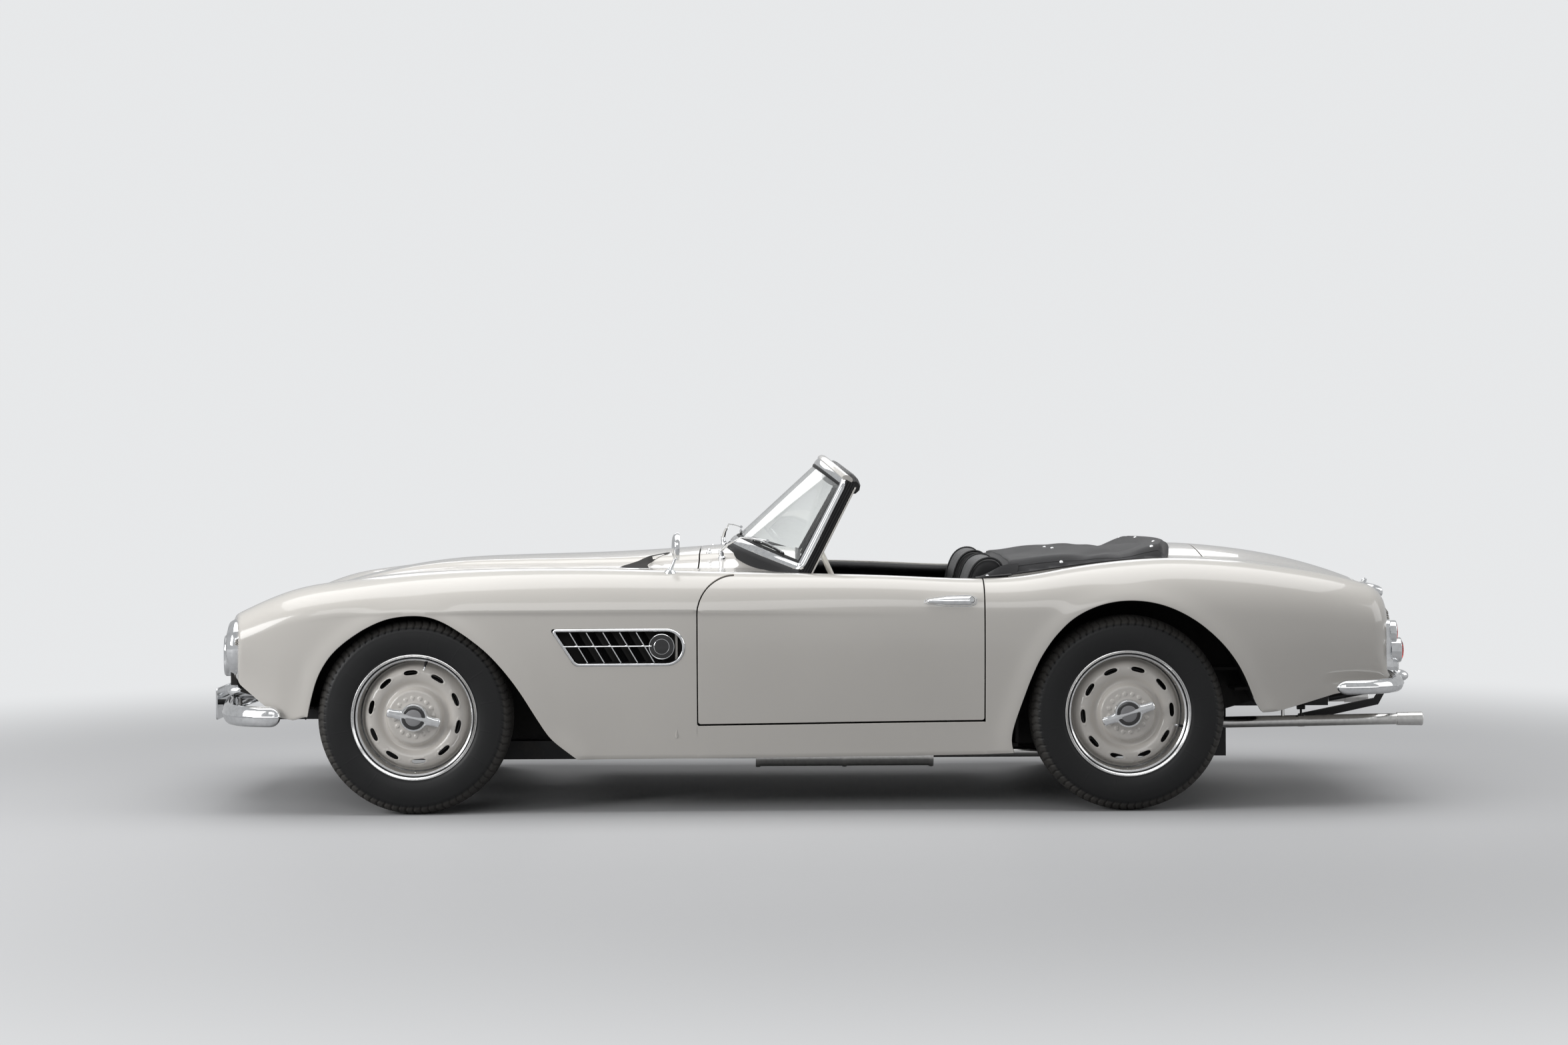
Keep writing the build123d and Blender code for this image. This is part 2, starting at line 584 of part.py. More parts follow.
def vent_outline(side, grow, y_in, y_out):
    """Slanted outline of a side outlet, grown all round."""
    middle, half = (VENT_LOW + VENT_HIGH) / 2, (VENT_HIGH - VENT_LOW) / 2
    points = [(VENT_FRONT + 81.6 - 0.54 * grow, VENT_LOW - grow), (VENT_FRONT - 1.85 * grow, VENT_HIGH + grow)]
    for step in range(7):
        turn = radians(90 - 30 * step)
        points.append((VENT_REAR - half + (half + grow) * cos(turn), middle + (half + grow) * sin(turn)))
    return prism_side(points, *sorted((side * y_in, side * y_out)))


def tail_lamp(side):
    """Upright stack of lenses in a bright base."""
    return block(WHEELBASE + 905, WHEELBASE + 990, *sorted((side * 628, side * 690)), 470, 650) - OUTER


def side_vent(side):
    """Slanted outlet behind the front wheel with fins, a bar and a plain ring."""
    y0, y1 = sorted((side * 700, side * 900))
    inner = vent_outline(side, -10, 690, 910)
    fins = prism_side([(VENT_FRONT, 577), (VENT_REAR, 577), (VENT_REAR, 585), (VENT_FRONT, 585)], y0, y1)
    for step in range(FIN_COUNT):
        d = FIN_FIRST + step * FIN_PITCH
        fins = fins + prism_side([(d, 642), (d + 7, 642), (d + 79, 517), (d + 72, 517)], y0, y1)
    ring = rod((at(RING_D), y0, RING_Z), (at(RING_D), y1, RING_Z), 44)
    ring = ring - rod((at(RING_D), y0 - 1, RING_Z), (at(RING_D), y1 + 1, RING_Z), 36)
    badge = rod((at(RING_D), y0, RING_Z), (at(RING_D), y1, RING_Z), 26)
    grid = (vent_outline(side, 0, 700, 900) - inner) + (fins & inner) + ring + badge
    return grid & (envelope(-3, 0) - INNER)


def front_bumper():
    """Slim blade round the nose with two overriders."""
    path = [(-470, -790), (-600, -770), (-700, -640), (-770, -350), (-780, 0)]
    outer = path + [(d, -y) for d, y in reversed(path[:-1])]
    inner = [(d + 26, y * 0.975) for d, y in reversed(outer)]
    blade = prism_plan(outer + inner, 312, 372)
    blade = blade + block(-FRONT_REACH + PLATE_T + SEAT_GAP, -770, -190, 190, 330, 356)
    for side in (-1, 1):
        blade = blade + block(-796 + 15, -700, *sorted((side * 325, side * 375)), 300, 428)
        y0, y1 = sorted((side * (RAIL_Y - 25), side * (RAIL_Y + 15)))
        blade = blade + block(-770, -560 - SEAT_GAP, y0, y1, 316, 340)
    return blade


def rear_bumper():
    """Slim blade round the tail with two overriders."""
    path = [(WHEELBASE + 733, -800), (WHEELBASE + 900, -775), (WHEELBASE + 990, -660), (WHEELBASE + 1039, -350),
            (WHEELBASE + 1045, 0)]
    outer = path + [(d, -y) for d, y in reversed(path[:-1])]
    inner = [(d - 26, y * 0.975) for d, y in reversed(outer)]
    blade = prism_plan(outer + inner, 404, 453)
    for side in (-1, 1):
        y0, y1 = sorted((side * (RAIL_Y - 25), side * (RAIL_Y + 15)))
        blade = blade + block(3250 + SEAT_GAP, WHEELBASE + 1030, y0, y1, 338, 362)
        blade = blade + block(WHEELBASE + 1012, WHEELBASE + 1030, y0, y1, 338, 430)
    return blade


def plate(d_front, thickness, z0, z1):
    """Blank number plate with two fixing holes."""
    piece = block(d_front, d_front + thickness, -260, 260, z0, z1)
    for y in (-220, 220):
        piece = piece - (Pos(at(d_front), y, (z0 + z1) / 2) * Rot(0, 90, 0) * Cylinder(3, 40))
    return piece


def rear_plate():
    """Blank plate on the tail with its lamp above."""
    face = WHEELBASE + 985 + SEAT_GAP
    piece = plate(face, PLATE_T, 482, 592) + block(face, face + PLATE_T, -20, 20, 580, 710)
    lamp = prism_side([(3400, 700), (3512, 703), (3524, 716), (3520, 742), (3490, 756), (3400, 750)], -62, 62)
    return piece + (lamp - envelope(-SEAT_GAP, 0))


def exhaust(side):
    """Pipe, silencer and tailpipe under one side."""
    y, z, end = side * 462, 286, WHEELBASE + REAR_REACH
    pipe = rod((at(700), y, 178), (at(2300), y, 178), 20)
    rise = rod((at(2300), y, 178), (at(2420), y, 270), 20)
    tail = rod((at(2420), y, 270), (at(end - 90), y, z), 20) + rod((at(end - 90), y, z), (at(end), y, z), 23.5)
    silencer = Pos(at(1500), y, 166) * Rot(0, 90, 0) * Cylinder(38, 620)
    hangers = rod((at(WHEELBASE + 595), y, 286), (at(WHEELBASE + 595), y, BOOT_FLOOR_Z - SEAT_GAP), 6)
    for d in (1120, 1880):
        hangers = hangers + rod((at(d), y, 178), (at(d), y, FLOOR_Z - SEAT_GAP), 8)
    return pipe + rise + tail + silencer + hangers


def fender_mirror():
    """Round mirror on a short stalk, left side."""
    y = -700
    disc = Pos(at(912), y, 925) * Rot(0, 90, 0) * Cylinder(49, 18)
    stalk = rod((at(890), y, 822), (at(912), y, 900), 8)
    return (disc + stalk) - OUTER


def wipers():
    """Two arms on their spindles, with their blades parked along the foot of the glass."""
    pieces = []
    for y, tip in ((-300, -470), (120, -50)):
        spindle = rod((at(1060), y, 820), (at(1060), y, 930), 11) - OUTER
        knuckle_top = (at(1060), y, 926)
        middle = (at(screen_foot(tip + 60) - 14), tip + 60, 946 - abs(tip + 60) * 0.07)
        arm = rod(knuckle_top, middle, 4)
        ends = [(at(screen_foot(e) - 14), e, 946 - abs(e) * 0.07) for e in (tip - 60, tip + 180)]
        pieces.append(spindle + arm + rod(ends[0], middle, 4.5) + rod(middle, ends[1], 4.5))
    return Compound(children=pieces)


# ---------------------------------------------------------------- write the pieces
PIECES = {
    "front_body": front_body(),
    "rear_body": rear_body(),
    "bonnet": lid(bonnet_prism(SHUT_GAP), BONNET_REAR - SHUT_GAP / 2, -1),
    "boot_lid": lid(boot_prism(SHUT_GAP), BOOT_FRONT + SHUT_GAP / 2, 1),
    "cabin_tub": cabin_tub(),
    "chassis_frame": chassis_frame(),
    "engine_block": engine_block(),
    "front_suspension": front_suspension(),
    "rear_axle": rear_axle(),
    "dashboard": dashboard(),
    "steering_wheel": steering_wheel(),
    "steering_column": steering_column(),
    "tonneau_cover": tonneau(),
    "front_bumper": front_bumper(),
    "rear_bumper": rear_bumper(),
    "front_plate": plate(-FRONT_REACH, PLATE_T, 290, 400),
    "rear_plate": rear_plate(),
    "fender_mirror": fender_mirror(),
    "wipers": wipers(),
}
PIECES["windscreen_frame"], PIECES["windscreen_glass"] = windscreen()
for name, side in (("left", -1), ("right", 1)):
    PIECES["door_" + name] = door(side)
    PIECES["seat_" + name] = seat(side)
    PIECES["grille_" + name] = grille(side)
    PIECES["headlamp_" + name] = headlamp(side)
    PIECES["tail_lamp_" + name] = tail_lamp(side)
    PIECES["side_vent_" + name] = side_vent(side)
    PIECES["knuckle_" + name] = knuckle(side)
    PIECES["exhaust_" + name] = exhaust(side)
    for end, d, track in (("front", 0, FRONT_TRACK), ("rear", WHEELBASE, REAR_TRACK)):
        PIECES["wheel_" + end + "_" + name] = wheel(d, track, side)
        PIECES["tyre_" + end + "_" + name] = tyre(d, track, side)

os.makedirs("parts", exist_ok=True)
for name, piece in PIECES.items():
    export_step(piece, "parts/" + name + ".step")
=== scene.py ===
"""A 1950s two-seat roadster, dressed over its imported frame."""
from math import atan2, cos, hypot, pi, radians, sin, sqrt, tan

import bmesh
import bpy
import numpy as np
from mathutils import Matrix, Vector
from mathutils.geometry import delaunay_2d_cdt

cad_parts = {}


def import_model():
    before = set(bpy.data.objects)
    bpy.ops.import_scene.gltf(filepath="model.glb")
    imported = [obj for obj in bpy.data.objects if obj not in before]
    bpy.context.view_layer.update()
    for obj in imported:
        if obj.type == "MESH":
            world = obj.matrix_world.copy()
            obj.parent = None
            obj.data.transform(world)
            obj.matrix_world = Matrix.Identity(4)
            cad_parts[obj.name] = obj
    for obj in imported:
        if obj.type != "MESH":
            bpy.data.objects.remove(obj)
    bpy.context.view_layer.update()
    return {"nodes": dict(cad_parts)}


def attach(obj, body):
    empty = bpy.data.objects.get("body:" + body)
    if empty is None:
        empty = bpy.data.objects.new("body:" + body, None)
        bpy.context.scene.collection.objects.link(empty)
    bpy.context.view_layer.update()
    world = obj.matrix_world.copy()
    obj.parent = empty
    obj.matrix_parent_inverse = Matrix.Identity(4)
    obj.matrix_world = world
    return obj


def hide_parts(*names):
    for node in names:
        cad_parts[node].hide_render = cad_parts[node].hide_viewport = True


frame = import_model()

FRONT_AXLE_X = -1.388
WHEELBASE = 2.48
AXLE_Z = 0.34
FRONT_TRACK = 1.445
REAR_TRACK = 1.425
SIDES = {"left": -1, "right": 1}
BACKDROP = (0.8, 0.81, 0.82, 1)
GLOSSY_SHARE = 0.5             # how much of the backdrop's glow is mirrored in paint and chrome


def linked(name, data):
    """A new object, put in the scene."""
    thing = bpy.data.objects.new(name, data)
    bpy.context.scene.collection.objects.link(thing)
    return thing


# ---------------------------------------------------------------- camera and light
def place(data, name, where, target):
    """A lamp or camera at one point, looking at another."""
    thing = linked(name, data)
    thing.location = where
    thing.rotation_euler = (Vector(target) - Vector(where)).to_track_quat("-Z", "Y").to_euler()
    return thing


def softbox(name, where, target, width, height, power):
    """A rectangular lamp."""
    lamp = bpy.data.lights.new(name, "AREA")
    lamp.shape = "RECTANGLE"
    lamp.size, lamp.size_y, lamp.energy = width, height, power
    return place(lamp, name, where, target)


def seen_directly(tree, path):
    """One for rays that show the backdrop, straight or through glass, and a share of it for reflections."""
    straight, through, glossy = (Value(tree, path.outputs[f"Is {kind} Ray"])
                                 for kind in ("Camera", "Transmission", "Glossy"))
    return straight.maths("MAXIMUM", through).maths("MAXIMUM", glossy * GLOSSY_SHARE)


def studio():
    """A level camera a little above the doors, a broad overhead softbox and four weaker ones round it."""
    scene = bpy.context.scene
    scene.view_settings.view_transform = "Standard"
    lens = bpy.data.cameras.new("camera")
    lens.lens, lens.sensor_width = 62.9, 36.0
    lens.clip_start, lens.clip_end = 0.1, 200.0
    lens.shift_y = -0.0404
    station, eye = -0.099, 1.23
    camera = place(lens, "camera", (station, -10.3, eye), (station, 0.0, eye))
    camera.rotation_euler.rotate_axis("Z", radians(-0.315))
    scene.camera = camera
    softbox("overhead", (0.0, -0.3, 4.4), (0.0, 0.0, 0.0), 8.6, 3.8, 185)
    softbox("front_fill", (-1.6, -7.5, 4.2), (-0.6, 0.0, 0.6), 6.0, 2.2, 62)
    softbox("far_fill", (0.0, 6.0, 3.6), (0.0, 0.0, 0.6), 6.0, 2.0, 50)
    softbox("nose_fill", (-5.6, -3.4, 2.4), (-1.9, -0.4, 0.6), 3.0, 2.6, 125)
    softbox("tail_fill", (6.5, -1.5, 2.6), (1.5, 0.0, 0.6), 3.4, 3.0, 45)
    world = bpy.data.worlds.new("studio")
    scene.world = world
    world.use_nodes = True
    tree = world.node_tree
    tree.nodes.clear()
    out = tree.nodes.new("ShaderNodeOutputWorld")
    path, mix = tree.nodes.new("ShaderNodeLightPath"), tree.nodes.new("ShaderNodeMixShader")
    for slot, colour, strength in ((1, (0.8, 0.81, 0.83, 1), 0.16), (2, BACKDROP, 1.0)):
        air = tree.nodes.new("ShaderNodeBackground")
        air.inputs["Color"].default_value = colour
        air.inputs["Strength"].default_value = strength
        tree.links.new(air.outputs[0], mix.inputs[slot])
    tree.links.new(seen_directly(tree, path).socket, mix.inputs["Fac"])
    tree.links.new(mix.outputs[0], out.inputs[0])


# ---------------------------------------------------------------- shader sums
class Value:
    """A shader socket that takes part in plain sums."""

    def __init__(self, tree, socket):
        self.tree, self.socket = tree, socket

    def maths(self, operation, *others):
        inputs = dict(enumerate((self, *others)))
        return add_node(self.tree, "Math", {"operation": operation}, inputs)

    def __add__(self, other):
        return self.maths("ADD", other)

    def __mul__(self, other):
        return self.maths("MULTIPLY", other)

    def __sub__(self, other):
        return self.maths("SUBTRACT", other)

    def __truediv__(self, other):
        return self.maths("DIVIDE", other)

    def __pow__(self, other):
        return self.maths("POWER", other)

    def __rsub__(self, other):
        return self.maths("MULTIPLY", -1.0).maths("ADD", other)

    def __rtruediv__(self, other):
        return self.maths("POWER", -1.0).maths("MULTIPLY", other)

    __radd__ = __add__
    __rmul__ = __mul__

    def limit(self):
        return self.maths("MAXIMUM", 0.0).maths("MINIMUM", 1.0)

    def step(self, low, high):
        """0 below low and 1 above high, with a smooth change between them."""
        inputs = {"Value": self, "From Min": low, "From Max": high}
        return add_node(self.tree, "MapRange", {"interpolation_type": "SMOOTHSTEP"}, inputs)


def add_node(tree, kind, settings=None, inputs=None, output=0):
    """One node: its settings first, then its sockets' values or links."""
    node = tree.nodes.new("ShaderNode" + kind)
    for key, value in (settings or {}).items():
        setattr(node, key, value)
    for key, value in (inputs or {}).items():
        if isinstance(value, Value):
            tree.links.new(value.socket, node.inputs[key])
        else:
            node.inputs[key].default_value = value
    return Value(tree, node.outputs[output])


class Finish:
    """A material under way: its tree, its pattern space and its shader's sockets."""

    def __init__(self, name, **sockets):
        self.material = bpy.data.materials.new(name)
        self.material.use_nodes = True
        self.tree = self.material.node_tree
        self.shader = self.tree.nodes["Principled BSDF"]
        self.set(**sockets)

    def set(self, **sockets):
        """Values or links of the shader's sockets, with _ for a space in their names."""
        for key, value in sockets.items():
            socket = self.shader.inputs[key.replace("_", " ")]
            if isinstance(value, Value):
                self.tree.links.new(value.socket, socket)
            elif socket.type == "RGBA" and len(value) == 3:
                socket.default_value = (*value, 1.0)
            else:
                socket.default_value = value
        return self

    def add(self, kind, settings=None, inputs=None, output=0):
        return add_node(self.tree, kind, settings, inputs, output)

    def place(self):
        return self.add("TexCoord", output="Object")

    def axis(self, name):
        return self.add("SeparateXYZ", inputs={0: self.place()}, output="XYZ".index(name))

    def noise(self, scale, detail=4.0):
        inputs = {"Vector": self.place(), "Scale": scale, "Detail": detail, "Roughness": 0.55}
        return self.add("TexNoise", inputs=inputs)

    def blend(self, share, first, second):
        """A colour between two colours."""
        inputs = {0: share}
        for slot, colour in ((6, first), (7, second)):
            inputs[slot] = colour if isinstance(colour, Value) else (*colour, 1.0)
        return self.add("Mix", {"data_type": "RGBA"}, inputs, output=2)

    def bump(self, height, distance, strength):
        inputs = {"Height": height, "Distance": distance, "Strength": strength}
        normal = self.add("Bump", inputs=inputs)
        return self.set(Normal=normal)


def paint(name, colour, dust=0.05):
    """Solid gloss enamel: faint orange peel, and dust that settles low down."""
    finish = Finish(name, Coat_Weight=1.0, Coat_Roughness=0.03, Specular_IOR_Level=0.5)
    dusty = 0.42                # height in metres under which dust lies
    film = (dusty - finish.axis("Z")) / dusty
    cloud = finish.noise(7.0)
    low = film.limit() * cloud.step(0.35, 0.8) * dust
    tone = finish.noise(1.3, 2.0)
    dark = tuple(c * 0.955 for c in colour)
    base = finish.blend(tone.step(0.3, 0.7), dark, colour)
    finish.set(Base_Color=finish.blend(low, base, (0.36, 0.33, 0.29)), Roughness=low * 1.5 + 0.24)
    finish.bump(finish.noise(420.0, 2.0), 0.00006, 0.35)
    return finish.material


def metal(name, colour, rough, grain=0.05):
    """Plated or bare metal with fine wiping marks and a breath of haze."""
    finish = Finish(name, Metallic=1.0)
    haze = finish.noise(60.0)
    fine = finish.noise(840.0, 2.0)
    dull = tuple(c * 0.86 for c in colour)
    finish.set(Base_Color=finish.blend(haze.step(0.35, 0.75), colour, dull),
               Roughness=haze.step(0.3, 0.8) * grain + fine * grain * 0.5 + rough)
    finish.bump(fine, 0.00004, 0.25)
    return finish.material


def coated(name, colour, rough, bump_scale, bump, worn=(0.2, 0.2, 0.2), wear=0.15):
    """Painted, moulded or cast surface with a fine skin and a little rubbing."""
    finish = Finish(name, Specular_IOR_Level=0.45)
    patch = finish.noise(9.0)
    rub = patch.step(0.55, 0.8) * wear
    finish.set(Base_Color=finish.blend(rub, colour, worn), Roughness=patch.step(0.2, 0.9) * 0.12 + rough)
    finish.bump(finish.noise(bump_scale, 3.0), bump, 0.5)
    return finish.material


def glass(name, tint, rough=0.0):
    """Clear pane with the lightest of water marks."""
    finish = Finish(name, Transmission_Weight=1.0, IOR=1.5, Base_Color=tint)
    finish.set(Roughness=finish.noise(30.0).step(0.5, 0.9) * 0.03 + rough)
    return finish.material


def leather(name, colour, dark):
    """Hide with pebbled grain, and a soft sheen where it is sat on."""
    finish = Finish(name, Specular_IOR_Level=0.4)
    scale = 260.0
    spread = {"Vector": finish.place(), "Scale": scale}
    cell = finish.add("TexVoronoi", {"feature": "DISTANCE_TO_EDGE"}, spread)
    crease = cell.step(0.0, 0.12)
    wide = finish.noise(14.0)
    finish.set(Base_Color=finish.blend(crease * wide.step(0.2, 0.8), dark, colour),
               Roughness=0.52 - crease * 0.1 - wide * 0.12)
    finish.bump(crease + finish.noise(scale * 2.4) * 0.4, 0.0004, 0.6)
    return finish.material


def weave(name, colour, dark):
    """Plain-woven canvas: two crossed threads, with slubs and a trace of lint."""
    finish = Finish(name, Sheen_Weight=0.25, Sheen_Roughness=0.5)
    pitch = 0.0011              # metres from thread to thread
    turn = 2 * pi / pitch
    warp = (finish.axis("X") * turn).maths("SINE")
    weft = (finish.axis("Y") * turn).maths("SINE")
    thread = warp * weft * 0.5 + 0.5
    slub = finish.noise(90.0)
    finish.set(Base_Color=finish.blend(thread * 0.6 + slub * 0.4, dark, colour),
               Roughness=slub * 0.15 + 0.72)
    finish.bump(thread + slub * 0.5, 0.00025, 0.6)
    return finish.material


def rubber(name, colour, bloom):
    """Seal rubber: matt, with a grey bloom."""
    finish = Finish(name, Specular_IOR_Level=0.35)
    cloud, grit = finish.noise(11.0), finish.noise(900.0, 2.0)
    grey = tuple(c * 2.1 + 0.006 for c in colour)
    finish.set(Base_Color=finish.blend(cloud.step(0.35, 0.8) * bloom, colour, grey),
               Roughness=cloud * 0.2 + 0.5)
    finish.bump(grit, 0.00012, 0.5)
    return finish.material


def tyre_finish():
    """Black sidewalls and a road-grey tread, told apart by the distance from the axle."""
    finish = Finish("tyre_rubber", Specular_IOR_Level=0.4)
    along = (finish.axis("X") - (FRONT_AXLE_X - WHEELBASE / 2)).maths("MODULO", WHEELBASE) - WHEELBASE / 2
    up = finish.axis("Z") - AXLE_Z
    radius = (along * along + up * up) ** 0.5
    cloud, grit = finish.noise(9.0), finish.noise(900.0, 2.0)
    road = radius.step(0.309, 0.317) * (cloud.step(0.2, 0.8) * 0.55 + 0.45)
    side = finish.blend(cloud.step(0.4, 0.8) * 0.5, (0.0085, 0.0088, 0.0095), (0.0145, 0.0145, 0.015))
    finish.set(Base_Color=finish.blend(road, side, (0.074, 0.07, 0.064)),
               Roughness=road * 0.3 + cloud * 0.1 + 0.38)
    finish.bump(grit, 0.0001, 0.5)
    return finish.material


M = {
    "ivory_paint": paint("ivory_enamel", (0.815, 0.785, 0.735)),
    "wheel_paint": paint("wheel_enamel", (0.79, 0.755, 0.705), dust=0.12),
    "dash_paint": paint("dash_enamel", (0.78, 0.745, 0.68), dust=0.0),
    "chrome": metal("bright_chrome", (0.86, 0.87, 0.88), 0.045),
    "rim_alloy": metal("polished_rim", (0.8, 0.8, 0.8), 0.16, 0.08),
    "exhaust_steel": metal("tailpipe_chrome", (0.8, 0.79, 0.77), 0.1, 0.09),
    "cast_alloy": coated("cast_alloy", (0.34, 0.34, 0.35), 0.5, 300.0, 0.0005, (0.5, 0.5, 0.5), 0.3),
    "black_steel": coated("chassis_black", (0.018, 0.018, 0.019), 0.42, 300.0, 0.0002,
                          (0.1, 0.085, 0.07), 0.5),
    "underseal": coated("underseal", (0.02, 0.019, 0.018), 0.75, 160.0, 0.0012, (0.05, 0.045, 0.04), 0.4),
    "black_enamel": paint("black_enamel", (0.01, 0.01, 0.011), dust=0.1),
    "seal_rubber": rubber("seal_rubber", (0.012, 0.012, 0.013), 0.2),
    "tyre_rubber": tyre_finish(),
    "black_leather": leather("black_hide", (0.02, 0.02, 0.022), (0.008, 0.008, 0.009)),
    "black_cloth": weave("black_canvas", (0.026, 0.026, 0.029), (0.009, 0.009, 0.01)),
    "carpet": coated("floor_carpet", (0.016, 0.016, 0.017), 0.95, 900.0, 0.0016, (0.03, 0.03, 0.03), 0.5),
    "ivory_plastic": coated("ivory_plastic", (0.8, 0.76, 0.68), 0.22, 60.0, 0.00004,
                            (0.66, 0.6, 0.48), 0.3),
    "clear_glass": glass("window_glass", (0.985, 1.0, 0.99)),
    "lamp_glass": glass("lamp_glass", (1.0, 1.0, 1.0)),
    "red_lens": glass("red_lens", (0.8, 0.012, 0.008), 0.05),
    "amber_lens": glass("amber_lens", (0.95, 0.42, 0.04), 0.05),
    "blank_plate": paint("plate_enamel", (0.012, 0.012, 0.013), dust=0.2),
    "dial_face": coated("dial_black", (0.012, 0.012, 0.013), 0.35, 900.0, 0.00002),
    "dial_white": coated("dial_white", (0.75, 0.73, 0.68), 0.4, 900.0, 0.00002),
}


# ---------------------------------------------------------------- mesh making
def spline(rows):
    """Natural cubic through (place, value) rows, as a function of an array of places."""
    x, y = (np.array(column, float) for column in zip(*rows))
    gap, count = np.diff(x), len(x)
    system, right = np.eye(count), np.zeros(count)
    for i in range(1, count - 1):
        system[i, i - 1:i + 2] = gap[i - 1], 2 * (gap[i - 1] + gap[i]), gap[i]
        right[i] = 6 * ((y[i + 1] - y[i]) / gap[i] - (y[i] - y[i - 1]) / gap[i - 1])
    bend = np.linalg.solve(system, right)

    def value(at):
        at = np.asarray(at, float)
        i = np.clip(np.searchsorted(x, at) - 1, 0, count - 2)
        h, a, b = gap[i], x[i + 1] - at, at - x[i]
        return ((bend[i] * a ** 3 + bend[i + 1] * b ** 3) / (6 * h)
                + (y[i] / h - bend[i] * h / 6) * a + (y[i + 1] / h - bend[i + 1] * h / 6) * b)

    return value


def smooth(value, low, high):
    """0 below low and 1 above high, with a smooth change between them."""
    share = np.clip((np.asarray(value, float) - low) / (high - low), 0, 1)
    return share * share * (3 - 2 * share)


def rounded(points, radii, step):
    """Closed outline with its corners turned to arcs of the given radii."""
    points = [np.array(p, float) for p in points]
    radii = radii if hasattr(radii, "__len__") else [radii] * len(points)
    out = []
    for i, (here, radius) in enumerate(zip(points, radii)):
        before, after = points[i - 1], points[(i + 1) % len(points)]
        u, w = before - here, after - here
        u, w = u / np.linalg.norm(u), w / np.linalg.norm(w)
        half = np.arccos(np.clip(u @ w, -1, 1)) / 2
        if radius <= 0 or half > 1.55:
            out.append(here)
            continue
        room = min(np.linalg.norm(before - here) * 0.49, np.linalg.norm(after - here) * 0.49)
        back = min(radius / tan(half), room)
        radius = back * tan(half)
        middle = here + (u + w) / np.linalg.norm(u + w) * radius / sin(half)
        first, last = here + u * back - middle, here + w * back - middle
        turn = pi - 2 * half
        count = max(2, int(turn * radius / step) + 1)
        for k in range(count + 1):
            share = k / count
            out.append(middle + (first * sin((1 - share) * turn) + last * sin(share * turn)) / sin(turn))
    return np.array(out)


def resample(points, step, closed=True):
    """The same line with no run longer than step."""
    points = [np.array(p, float) for p in points]
    ends = points[1:] + ([points[0]] if closed else [])
    out = []
    for a, b in zip(points, ends):
        count = max(1, int(np.ceil(np.linalg.norm(b - a) / step)))
        out += [a + (b - a) * k / count for k in range(count)]
    if not closed:
        out.append(points[-1])
    return np.array(out)


def inside(points, loop):
    """Which of the points lie inside a closed loop."""
    x, y = points[:, 0], points[:, 1]
    hit = np.zeros(len(points), bool)
    for (x0, y0), (x1, y1) in zip(loop, np.roll(loop, -1, axis=0)):
        if y0 == y1:
            continue
        cross = (y0 > y) != (y1 > y)
        hit ^= cross & (x < (x1 - x0) * (y - y0) / (y1 - y0) + x0)
    return hit


def filled(loops, step):
    """Triangles that fill the first loop and leave out the others, with a grid of points inside."""
    outer, holes = loops[0], loops[1:]
    low, high = outer.min(0), outer.max(0)
    across = np.arange(low[0] + step / 2, high[0], step)
    rows = []
    for k, level in enumerate(np.arange(low[1] + step / 2, high[1], step * 0.9)):
        rows.append(np.column_stack([across + (k % 2) * step / 2, np.full(len(across), level)]))
    grid = np.concatenate(rows) if rows else np.zeros((0, 2))
    keep = inside(grid, outer)
    for hole in holes:
        keep &= ~inside(grid, hole)
    grid = grid[keep]
    rim = np.concatenate(loops)
    near = np.full(len(grid), 1e9)
    for k in range(0, len(rim), 200):
        part = rim[k:k + 200]
        near = np.minimum(near, np.min(np.hypot(grid[:, :1] - part[:, 0], grid[:, 1:] - part[:, 1]), axis=1))
    grid = grid[near > step * 0.55]
    points = np.concatenate([rim, grid])
    edges, start = [], 0
    for loop in loops:
        count = len(loop)
        edges += [(start + k, start + (k + 1) % count) for k in range(count)]
        start += count
    verts, _, faces, _, _, _ = delaunay_2d_cdt([Vector(p) for p in points], edges, [], 0, 1e-7, False)
    verts, faces = np.array([tuple(v) for v in verts]), np.array([f for f in faces if len(f) == 3])
    middle = verts[faces].mean(1)
    keep = inside(middle, outer)
    for hole in holes:
        keep &= ~inside(middle, hole)
    faces = faces[keep]
    a, b, c = (verts[faces[:, k]] for k in range(3))
    area = (b[:, 0] - a[:, 0]) * (c[:, 1] - a[:, 1]) - (b[:, 1] - a[:, 1]) * (c[:, 0] - a[:, 0])
    faces = faces[np.abs(area) > 1e-10]
    area = area[np.abs(area) > 1e-10]
    faces[area < 0] = faces[area < 0][:, ::-1]
    return verts, faces


def weld(points, normals, faces, within):
    """Merges vertices that share a place, and drops faces that this closes up."""
    key = np.round(points / within).astype(np.int64)
    _, first, back = np.unique(key, axis=0, return_index=True, return_inverse=True)
    back = back.reshape(-1)
    total = np.zeros((len(first), 3))
    np.add.at(total, back, normals)
    faces = back[faces]
    good = (faces[:, 0] != faces[:, 1]) & (faces[:, 1] != faces[:, 2]) & (faces[:, 2] != faces[:, 0])
    return points[first], unit(total), faces[good]


def unit(vectors):
    """The vectors, each at length 1."""
    return vectors / np.maximum(np.linalg.norm(vectors, axis=-1, keepdims=True), 1e-12)


def border(faces):
    """Edges with one face only, in the direction of that face."""
    runs = np.concatenate([faces[:, [0, 1]], faces[:, [1, 2]], faces[:, [2, 0]]])
    seen = {tuple(run) for run in runs.tolist()}
    return np.array([run for run in runs.tolist() if (run[1], run[0]) not in seen])


